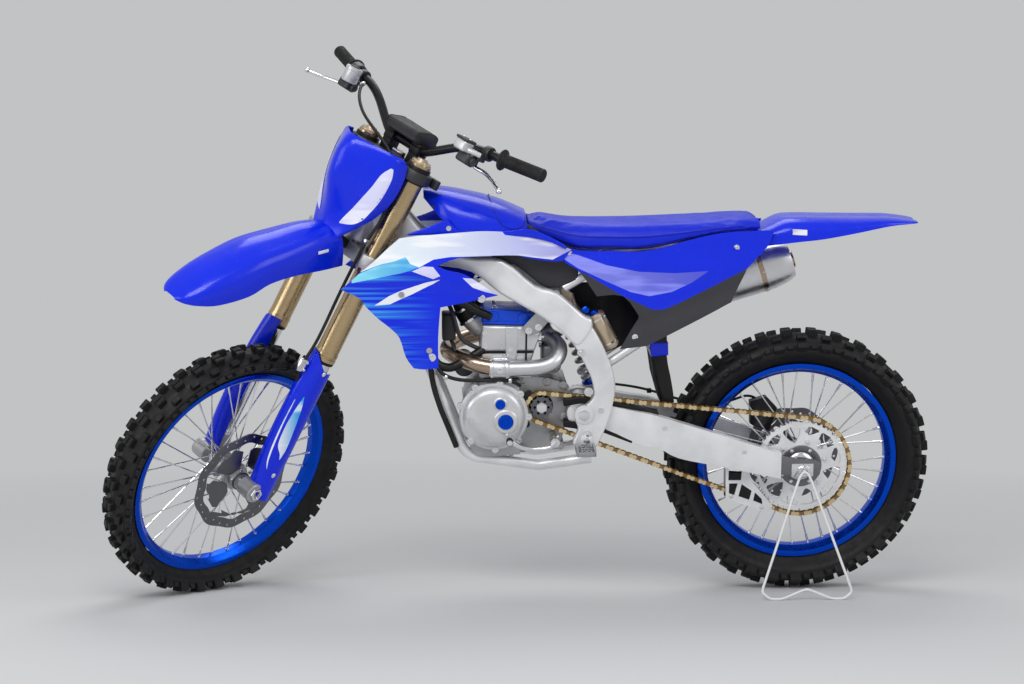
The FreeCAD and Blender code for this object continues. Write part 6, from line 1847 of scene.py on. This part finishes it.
def add_mud_flap():
    """Black flap in front of the rear wheel, hung from a block with a blue clip."""
    bm = new_shape()
    plate(bm, outlined(FLAP), -56, 56, 5, 3)
    for y in (-40, -20, 0, 20, 40):
        plate(bm, [(378, 640), (366, 572), (350, 515), (346, 500), (352, 498), (372, 568), (383, 640)],
              y - 3, y + 3, 1.5)
    plate(bm, [(383, 640), (340, 636), (345, 733), (391, 733)], -60, 60, 4)
    paint(bm)
    plate(bm, [(386, 662), (338, 658), (337, 626), (380, 622)], -61.5, 61.5, 5, 3)
    paint(bm, 1)
    finished("mud_flap_moulded", bm, "chassis", [BLACK_PLASTIC, BLUE_PLASTIC],
             "mud_flap")


def add_rear_caliper():
    """Rear caliper straddling its disc, with its bracket, pad pin and brake line along the swingarm."""
    bm = new_shape()
    body = [(60, 400), (108, 420), (111, 478), (72, 491), (42, 460)]
    for low in (-67, -50.3):
        plate(bm, body, low, low + 9, 2.5)
    plate(bm, [(110, 420), (112, 480), (70, 492), (40, 460), (72.5, 443.5), (101, 414.5)], -67, -41.5, 2)
    for x, z in ((82, 440), (92, 462)):
        pin(bm, x, z, -66, -73, 13, edge=2, sides=28)
    paint(bm)
    pin(bm, 62, 404, -60, -88, 9, edge=1)
    plate(bm, [(16, 362), (30, 380), (54, 414), (76, 410), (60, 378), (30, 352)], -68, -62, 1.5)
    bolt(bm, (66, -67, 408), -Y_AXIS, 6, 5)
    bolt(bm, (50, -67, 462), -Y_AXIS, 5, 5)
    paint(bm, 1)
    hose(bm, [(96, -62, 484), (112, -72, 492), (150, -94, 470), (210, -104, 452), (290, -108, 472),
              (365, -108, 498), (430, -106, 512), (500, -108, 518), (548, -122, 470)], 3.4, 3)
    paint(bm, 2)
    for x, z in ((230, 452), (365, 496)):
        block(bm, (x, -106, z), (12, 12, 12), 2)
    paint(bm)
    finished("rear_caliper_cast", bm, "chassis", [BLACK_PLASTIC, ENGINE_ALLOY, HOSE_RUBBER],
             "rear_caliper")


PEG_STEEL = steel("peg_steel", (0.42, 0.42, 0.43), 0.35, 0.5)


def add_foot_controls():
    """Toothed footpegs, gear lever with its tip, brake pedal with its pad."""
    bm = new_shape()
    for x in (529, 572):
        block(bm, (x, 152, 408), (5, 60, 15), 1)
        for k in range(8):
            block(bm, (x, 126 + k * 7.4, 417), (5, 3.6, 6), 0.8, None, 1)
    for y in (124, 143, 162, 180):
        block(bm, (550, y, 406), (46, 4, 12), 1)
        for x in (538, 550, 562):
            block(bm, (x, y, 413), (4, 4, 6), 0.8, None, 1)
    pin(bm, 550, 409, 96, 124, 9, edge=1)
    rod(bm, (550, 112, 422), (550, 112, 394), 5, edge=1)
    paint(bm)
    mirrored(bm)
    paint(bm)
    pin(bm, 625, 425, 94, 141, 12, edge=1.5)
    hose(bm, [(622, 136, 430), (632, 137, 414), (655, 137, 409), (690, 137, 409), (716, 137, 416),
              (738, 136, 432)], 6, 4)
    pin(bm, 738, 432, 130, 164, 7.5, edge=2)
    paint(bm, 1)
    for k in range(4):
        pin(bm, 738, 432, 140 + k * 6, 143 + k * 6, 8.6, sides=16, edge=0.6)
    paint(bm, 2)
    bolt(bm, (618, 130, 438), (0, 0, 1), 4, 4)
    pin(bm, 552, 436, -112, -150, 12, edge=1.5)
    hose(bm, [(552, -143, 437), (578, -143, 432), (606, -143, 420), (624, -143, 396), (650, -143, 387),
              (690, -143, 385), (722, -143, 387), (744, -143, 400)], 6, 4)
    block(bm, (738, -148, 401), (24, 26, 5), 1.5, Matrix.Rotation(math.radians(-24), 4, "Y"))
    for x in (731, 745):
        for y in (-156, -148, -140):
            block(bm, (x, y, 405 if x < 738 else 411), (4, 4, 5), 0.6, None, 1)
    paint(bm, 1)
    finished("foot_controls_fitted", bm, "chassis", [PEG_STEEL, POLISHED, GRIP_RUBBER], "foot_controls")


add_front_sprocket()
add_chain_guide()
add_mud_flap()
add_rear_caliper()
add_foot_controls()


# Steered parts, drawn in the fork's own frame.

def deck(bm, outline, low, high, edge):
    """Plate across the steering axis with rounded edges, from an outline of places (ahead, side)."""
    face = bm.faces.new([bm.verts.new((x, y, low)) for x, y in outline])
    raised(bm, [face], (0, 0, high - low))
    outward(bm)
    edges = {e for f in fresh_faces(bm) for e in f.edges}
    rims = [e for e in edges if e.calc_face_angle(0.0) > SHARP
            and abs(e.verts[0].co.z - e.verts[1].co.z) < 0.01]
    rounded_edges(bm, rims, edge)


CLAMP = [(50, 0), (47, 40), (50, 70), (60, 88), (63, 102), (52, 130), (22, 142), (-8, 130), (-19, 102),
         (-12, 76), (-20, 40), (-34, 22), (-40, 0)]


def add_triple_clamps():
    """Machined clamps with bosses and pinch bolts, the stem nut, bar mounts and fender bracket."""
    bm = new_shape()
    outline = outlined(CLAMP + [(x, -y) for x, y in CLAMP[-2:0:-1]], 4)
    for low, high in ((624, 660), (868, 896)):
        deck(bm, outline, low, high, 4)
        colour = 0 if high < 700 else 3
        paint(bm, colour)
        middle = (low + high) / 2
        for flank in (1, -1):
            block(bm, (-22, flank * 128, middle), (16, 30, high - low - 4), 3)
            paint(bm, colour)
            for up in ((-9, 9) if high < 700 else (0,)):
                bolt(bm, (-22, flank * 139, middle + up), (0, flank, 0), 6, 3)
            paint(bm, 1)
    rod(bm, (0, 0, 650), (0, 0, 900), 17)
    rod(bm, (0, 0, 896), (0, 0, 911), 21, sides=6, edge=1.5)
    paint(bm, 1)
    for flank in (1, -1):
        block(bm, (-5, flank * 50, 910), (36, 30, 34), 4)
        block(bm, (-5, flank * 50, 931), (38, 32, 20), 3)
        block(bm, (-5, flank * 50, 945), (38, 32, 11), 4)
        paint(bm, 2)
        for x in (-18, 8):
            bolt(bm, (x, flank * 50, 949), Z_AXIS, 5, 5)
        paint(bm, 1)
    plate(bm, [(40, 640), (112, 640), (150, 667), (108, 680), (40, 660)], -26, 26, 3)
    paint(bm, 2)
    finished("triple_clamps_machined", bm, "fork", [ENGINE_ALLOY, POLISHED, BLACK_PLASTIC, BLACK_METAL],
             "triple_clamps")


def add_fork_tubes():
    """Bronze outer tubes with turned collars, black wipers and caps; bright lower legs in cast feet."""
    outer, inner = new_shape(), new_shape()
    for flank in (1, -1):
        leg = Vector((LEG.x, flank * LEG.y, 0))
        turned(outer, [(24.2, 374), (28.6, 374), (29.2, 376), (29.2, 383), (28.2, 384), (28.2, 387),
                       (29.2, 388), (29.2, 396), (28.2, 399), (28, 404), (28, 560), (28.8, 566),
                       (28.8, 616), (28, 664), (28, 912), (26, 915), (24.2, 915)], leg, Z_AXIS, 48,
               closed=True)
        paint(outer)
        turned(outer, [(24.1, 366), (26.5, 366), (27.8, 368), (28.2, 374), (24.1, 374)], leg, Z_AXIS, 40,
               closed=True)
        turned(outer, [(27.9, 864), (30.5, 864), (31, 867), (31, 903), (30, 906), (27.9, 906)],
               leg, Z_AXIS, 40, closed=True)
        paint(outer, 1)
        turned(outer, [(0, 908), (25, 908), (25.5, 917), (23, 921), (14, 921), (13, 926), (0, 926)],
               leg, Z_AXIS, 40)
        paint(outer, 2)
        rod(inner, leg + Z_AXIS * 40, leg + Z_AXIS * 374, 24, sides=40)
        paint(inner)
        turned(inner, [(0, -2), (20, -2), (26, 4), (28, 12), (28, 44), (26, 56), (24.2, 60), (0, 60)],
               leg, Z_AXIS, 36)
        block(inner, (38, flank * 102, 4), (40, 40, 44), 9, None, 3)
        turned(inner, [(11.2, 78), (23, 78), (25, 80), (25, 124), (23, 126), (11.2, 126)],
               (FORK_OFFSET, 0, 0), Y_AXIS * flank, 40, closed=True)
        paint(inner, 1)
        for y in (90, 114):
            bolt(inner, (44, flank * y, -20), -Z_AXIS, 5, 5)
        turned(inner, [(11.2, 125), (17, 125), (17, 130), (15.5, 132), (11.2, 132)], (FORK_OFFSET, 0, 0),
               Y_AXIS * flank, 6, closed=True)
        paint(inner)
    finished("fork_outer_turned", outer, "fork", [GOLD_ALLOY, BLACK_PLASTIC, PALE_GOLD],
             "fork_outer_tubes", 30)
    finished("fork_lower_legs", inner, "fork", [POLISHED, ENGINE_ALLOY], "fork_inner_tubes")


def add_front_caliper():
    """Front caliper straddling its disc, with two pistons, a pad pin and lugs to the leg."""
    bm = new_shape()
    body = [(-30, 40), (-11, 32), (7, 99), (-20, 128), (-50, 109)]
    for low in (47.6, 64.4):
        plate(bm, body, low, low + 9, 2.5)
    plate(bm, [(-52, 110), (-20, 130), (-15.4, 122.5), (-31, 113.5), (-44.5, 102)], 47.6, 73.4, 2)
    for x, z in ((-26, 66), (-19, 96)):
        pin(bm, x, z, 72, 79, 14, edge=2, sides=28)
    paint(bm)
    for z in (46, 104):
        rod(bm, (-8, 66, z), (14, 98, z - 2), 8, edge=1.5)
    bolt(bm, (-6, 73, 108), Y_AXIS, 5, 5)
    bolt(bm, (-36, 73, 104), Y_AXIS, 5, 5)
    paint(bm, 1)
    finished("front_caliper_cast", bm, "fork", [BLACK_PLASTIC, ENGINE_ALLOY], "front_caliper")


BAR = [(-50, 402, 1034), (-20, 284, 1019), (-12, 184, 1010), (-5, 78, 940), (-5, 60, 935)]
BAR_BLACK = steel("bar_black", (0.02, 0.02, 0.022), 0.25, 0.4, 0.6)


def add_handlebar():
    """Bent bar."""
    bm = new_shape()
    hose(bm, BAR + [(-5, 0, 935)] + [(x, -y, z) for x, y, z in BAR[::-1]], 11.1, 6)
    paint(bm)
    finished("handlebar_bent", bm, "fork", [BAR_BLACK], "handlebar")


def bar_line(flank):
    """Foot of the grip and the way it points."""
    foot, tip = Vector((-20, flank * 284, 1019)), Vector((-50, flank * 400, 1034))
    return foot, (tip - foot).normalized()


def add_grips():
    """Ribbed grips with a flange at the inner end and a closed outer end."""
    bm = new_shape()
    for flank in (1, -1):
        foot, way = bar_line(flank)
        profile = [(11.2, 6.5), (25, 6.5), (26, 8), (26, 10), (24.5, 11.8), (17.5, 12.6)]
        for k in range(24):
            along = 14 + k * 4.3
            profile += [(16.2, along), (16.2, along + 2.4), (15.1, along + 2.9), (15.1, along + 3.8)]
        profile += [(16.4, 118), (16.4, 122), (14.5, 124.4), (0, 124.6)]
        turned(bm, profile, foot, way, 32)
    paint(bm)
    finished("grips_ribbed", bm, "fork", [GRIP_RUBBER], "grips", 50)


PAD = [(-44, 950), (-10, 948), (30, 949), (34, 960), (34, 976), (10, 981), (-20, 985), (-42, 979),
       (-45, 966)]
PAD_COVER = rubber("pad_cover", (0.02, 0.02, 0.022), 0.5, 0.65, 480)


def add_bar_pad():
    """Foam pad over the bar mounts: a crowned block in its cover, with piped edges."""
    bm = new_shape()
    rows = ((-60, 0.8), (-58, 0.9), (-53, 0.96), (-40, 1.0), (-20, 0.985), (0, 0.98), (20, 0.985),
            (40, 1.0), (53, 0.96), (58, 0.9), (60, 0.8))
    centre = Vector((-5, 0, 966))
    loop = curved([(x, 0, z) for x, z in PAD], 4)

    def section(y, share):
        """The pad's outline at y, shrunk about its middle."""
        return [Vector((centre.x + (p.x - centre.x) * share, y, centre.z + (p.z - centre.z) * share))
                for p in loop]

    lofted(bm, [section(*row) for row in rows])
    paint(bm)
    for y in (-57.5, 57.5):
        ring = section(y, 0.925)
        hose(bm, ring + ring[:1], 1.3, 2)
    paint(bm)
    piece = finished("bar_pad_foam", bm, "fork", [PAD_COVER], "bar_pad", 60)


def blade(bm, points, wide, thick):
    """Flat lever blade along points, tall across and thin fore and aft."""
    line = curved(points, 4, closed=False)
    rings = []
    for i, point in enumerate(line):
        way = (line[min(i + 1, len(line) - 1)] - line[max(i - 1, 0)]).normalized()
        side = way.cross(Z_AXIS).normalized()
        rise = side.cross(way)
        ring = []
        for k in range(10):
            angle = TURN * k / 10
            ring.append(point + side * thick * math.cos(angle) + rise * wide * math.sin(angle))
        rings.append(ring)
    lofted(bm, rings)


RESERVOIR = (44, -226, 0)


def add_hand_controls(name, flank):
    """Perch, lever and master cylinder; the right side has a round reservoir and the throttle housing."""
    bm = new_shape()
    bar = Vector((-17, flank * 248, 1015.5))
    way = Vector((-8, flank * 100, 9)).normalized()
    turned(bm, [(11.2, -9), (17, -9), (18, -7), (18, 7), (17, 9), (11.2, 9)], bar, way, 32, closed=True)
    block(bm, (4, flank * 246, 1000), (30, 20, 20), 4)
    rod(bm, (4, flank * 240, 972), (4, flank * 240, 1000), 8, edge=1.5)
    paint(bm, 3)
    block(bm, (34, flank * 236, 984), (34, 40, 26), 6, Matrix.Rotation(math.radians(-8), 4, "Y"), 3)
    pin(bm, 30, 984, flank * 208, flank * 262, 10, edge=2)
    paint(bm, 3)
    if flank > 0:
        block(bm, (48, flank * 224, 1010), (34, 36, 26), 5, None, 3)
        rod(bm, (44, 238, 1004), (20, 262, 1006), 8, 6, edge=1.5)
        rod(bm, (46, 210, 1002), (30, 196, 998), 6, 5, edge=1.5)
        paint(bm, 4)
        block(bm, (48, flank * 224, 1025), (37, 39, 7), 2.5, None, 3)
        paint(bm, 2)
        for y in (212, 236):
            rod(bm, (48, y, 1027), (48, y, 1030), 3.2, sides=12, edge=0.6)
    else:
        turned(bm, [(0, 992), (19, 992), (21, 995), (21, 1022), (22, 1023), (22, 1030), (20, 1032),
                    (0, 1032)], RESERVOIR, Z_AXIS, 36)
        paint(bm, 4)
        turned(bm, [(0, 1029), (13, 1029), (13, 1034), (11, 1035), (0, 1035)], RESERVOIR, Z_AXIS, 24)
        paint(bm, 3)
        foot, aim = bar_line(-1)
        turned(bm, [(11.2, -22), (20, -22), (22, -20), (23, -8), (23, 4), (21, 6), (11.2, 6)],
               foot, aim, 36, closed=True)
        block(bm, foot + Vector((16, 8, -6)), (26, 18, 16), 4)
        paint(bm, 3)
    bolt(bm, (20, flank * 238, 1004), (0, flank, 0), 4, 4)
    bolt(bm, (4, flank * 240, 1001), Z_AXIS, 5, 5)
    paint(bm, 1)
    blade(bm, [(8, flank * 236, 980), (4, flank * 250, 974), (0, flank * 278, 974), (5, flank * 310, 971),
               (20, flank * 346, 965), (38, flank * 376, 961)], 5.2, 3.2)
    ball(bm, (42, flank * 382, 961), 7)
    paint(bm, 1)
    finished(name + "_fitted", bm, "fork", [BLACK_PLASTIC, POLISHED, GREY_PLASTIC, BLACK_METAL,
                                            COVER_ALLOY], name)


add_triple_clamps()
add_fork_tubes()
add_front_caliper()
add_handlebar()
add_grips()
add_bar_pad()
add_hand_controls("left_hand_controls", 1)
add_hand_controls("right_hand_controls", -1)

BRAKE_HOSE = [(24, -196, 1004), (44, -180, 1000), (72, -140, 976), (88, -84, 950), (84, -20, 930),
              (74, 40, 908), (66, 76, 876), (62, 94, 820), (60, 104, 760), (66, 104, 720), (70, 99, 690),
              (70, 97, 620), (69, 96, 540), (65, 96, 455), (68, 98, 400), (80, 102, 365), (84, 103, 340),
              (74, 101, 312), (60, 99, 285)]


def add_brake_hose():
    """Front brake hose from the master cylinder, behind the plate, down to the left leg's guard."""
    bm = new_shape()
    hose(bm, BRAKE_HOSE, 4, 4)
    paint(bm)
    block(bm, (70, 99, 690), (16, 14, 12), 3)
    block(bm, (84, 103, 348), (24, 14, 34), 4)
    for z in (338, 358):
        pin(bm, 76, z, 108, 113, 3.5, edge=0.6)
    rod(bm, (19, -200, 1006), (30, -192, 1002), 6, edge=1)
    paint(bm, 1)
    finished("front_brake_hose_run", bm, "fork", [HOSE_RUBBER, POLISHED], "front_brake_hose")


add_brake_hose()

STAND_WIRE = 3.2
STAND_FOOT_LINE = 0.078


def stand_spot(sideways, share):
    """Place on the stand's wire in millimetres, by shares of the height of its top above the floor."""
    top = CHASSIS @ Vector((0, 136, 340))
    low = STAND_WIRE / 1000
    spot = Vector((top.x + sideways * top.z, STAND_FOOT_LINE + (top.y - STAND_FOOT_LINE) * share,
                   low + share * (top.z - low)))
    return CHASSIS.inverted() @ spot


def add_prop_stand():
    """Wire stand: a pin in the hollow axle, two legs and a wavy foot."""
    bm = new_shape()
    half = ((0.01, 1.0), (0.03, 0.985), (0.06, 0.914), (0.2, 0.514), (0.33, 0.143), (0.362, 0.056),
            (0.327, 0.026), (0.292, 0.0), (0.245, 0.0), (0.2, 0.0), (0.15, 0.019), (0.06, 0.056),
            (0.01, 0.074))
    route = [stand_spot(sideways, share) for sideways, share in half]
    route += [stand_spot(-sideways, share) for sideways, share in half[::-1]]
    hose(bm, route + [route[0]], STAND_WIRE, 3)
    pin(bm, 0, 340, 104, 137, 5, edge=0.8)
    paint(bm)
    finished("prop_stand_wire", bm, "chassis", [WHITE_STEEL], "prop_stand")


add_prop_stand()


def add_shade_sheet_and_back_parts():
    """Black sheet behind the shock, painted shade that fills that recess and hides what lies behind it, and
    the throttle body and starter behind the cylinder.
    """
    bm = new_shape()
    # Painted shade: a black sheet standing in for the shade in the recess behind the shock.
    plate(bm, [(596, 788), (526, 794), (393, 750), (410, 640), (483, 612), (509, 668), (563, 746)],
          -54, -48, 1.5)
    paint(bm)
    rod(bm, (604, 4, 690), (654, 4, 676), 23, edge=2)
    rod(bm, (622, 4, 685), (634, 4, 682), 27, edge=1.5)
    block(bm, (630, 0, 622), (44, 84, 56), 8, None, 3)
    pin(bm, 624, 600, -46, 46, 20, edge=3)
    paint(bm, 1)
    pin(bm, 624, 600, 44, 49, 13, edge=1)
    paint(bm, 2)
    finished("engine_back_parts_and_shade_sheet", bm, "chassis", [BLACK_PLASTIC, DARK_ALLOY, ENGINE_ALLOY],
             None)


add_shade_sheet_and_back_parts()

# Tubes, hoses and axles whose solids stay in view.
PLAIN_NODES = {
    "lower_cradle": FRAME_ALLOY, "subframe": FRAME_ALLOY, "rear_axle": POLISHED, "front_axle": POLISHED,
    "coolant_hoses": HOSE_RUBBER,
}
for node_name, finish in PLAIN_NODES.items():
    for held in frame["nodes"][node_name].material_slots:
        held.material = finish


# Studio: pale floor and world, plain soft light.

WORLD_LIGHT = (0.42, 0.43, 0.45)
WORLD_SEEN = (0.54, 0.545, 0.55)
FLOOR_COLOUR = (0.6, 0.6, 0.6)
FLOOR_HALF = 14.0
FADE = (1.2, 3.6)


def add_lamp(name, place, aim, energy, size):
    data = bpy.data.lights.new(name, "AREA")
    data.energy = energy
    data.shape = "RECTANGLE"
    data.size, data.size_y = size
    lamp = bpy.data.objects.new(name, data)
    lamp.location = place
    lamp.rotation_euler = (Vector(aim) - Vector(place)).to_track_quat("-Z", "Y").to_euler()
    bpy.context.scene.collection.objects.link(lamp)


def seen_directly(tree):
    """One where the camera, a reflection or glass looks straight at the surface."""
    path = tree.nodes.new("ShaderNodeLightPath")
    first = tree.nodes.new("ShaderNodeMath")
    second = tree.nodes.new("ShaderNodeMath")
    for node in (first, second):
        node.operation = "MAXIMUM"
    tree.links.new(path.outputs["Is Camera Ray"], first.inputs[0])
    tree.links.new(path.outputs["Is Glossy Ray"], first.inputs[1])
    tree.links.new(first.outputs["Value"], second.inputs[0])
    tree.links.new(path.outputs["Is Transmission Ray"], second.inputs[1])
    return second.outputs["Value"]


def add_world():
    """Pale surroundings, dimmer as a source of light than they look."""
    world = bpy.data.worlds.new("studio")
    bpy.context.scene.world = world
    world.use_nodes = True
    tree = world.node_tree
    background = tree.nodes["Background"]
    background.inputs["Strength"].default_value = 1.0
    mix = tree.nodes.new("ShaderNodeMix")
    mix.data_type = "RGBA"
    mix.inputs["A"].default_value = (*WORLD_LIGHT, 1)
    mix.inputs["B"].default_value = (*WORLD_SEEN, 1)
    tree.links.new(seen_directly(tree), mix.inputs["Factor"])
    tree.links.new(mix.outputs["Result"], background.inputs["Color"])


def far_off(finish):
    """Lets the floor fade to the colour of the surroundings with distance, so that no horizon shows."""
    distance = finish.node("ShaderNodeVectorMath", operation="LENGTH")
    finish.link(finish.place, distance.inputs[0])
    far = finish.spread(distance.outputs["Value"], 0.0, 1.0, *FADE)
    shown = finish.node("ShaderNodeMath", operation="MULTIPLY")
    finish.link(far, shown.inputs[0])
    finish.link(seen_directly(finish.tree), shown.inputs[1])
    glow = finish.node("ShaderNodeEmission")
    glow.inputs["Color"].default_value = (*WORLD_SEEN, 1)
    mix = finish.node("ShaderNodeMixShader")
    finish.link(shown.outputs["Value"], mix.inputs["Fac"])
    finish.link(finish.shader.outputs["BSDF"], mix.inputs[1])
    finish.link(glow.outputs["Emission"], mix.inputs[2])
    finish.link(mix.outputs["Shader"], finish.tree.nodes["Material Output"].inputs["Surface"])


def add_floor():
    """Pale level floor, not attached to any of the bike's bodies."""
    bm = bmesh.new()
    bmesh.ops.create_grid(bm, x_segments=1, y_segments=1, size=FLOOR_HALF)
    mesh = bpy.data.meshes.new("floor")
    bm.to_mesh(mesh)
    bm.free()
    floor = bpy.data.objects.new("floor", mesh)
    bpy.context.scene.collection.objects.link(floor)
    finish = Finish("floor", FLOOR_COLOUR, 0.85)
    far_off(finish)
    mesh.materials.append(finish.material)


add_world()
add_floor()
add_lamp("key", (0.9, 3.4, 3.4), (0.1, 0.0, 0.6), 90, (2.6, 1.6))
add_lamp("front_fill", (3.4, 1.8, 1.8), (0.3, 0.0, 0.6), 30, (2.0, 2.0))
add_lamp("rear_fill", (-3.2, 2.2, 2.0), (-0.3, 0.0, 0.6), 30, (2.0, 2.0))
add_lamp("far_side", (0.0, -1.9, 4.2), (0.0, 0.0, 0.6), 45, (2.6, 2.0))
bpy.context.scene.view_settings.view_transform = "Standard"
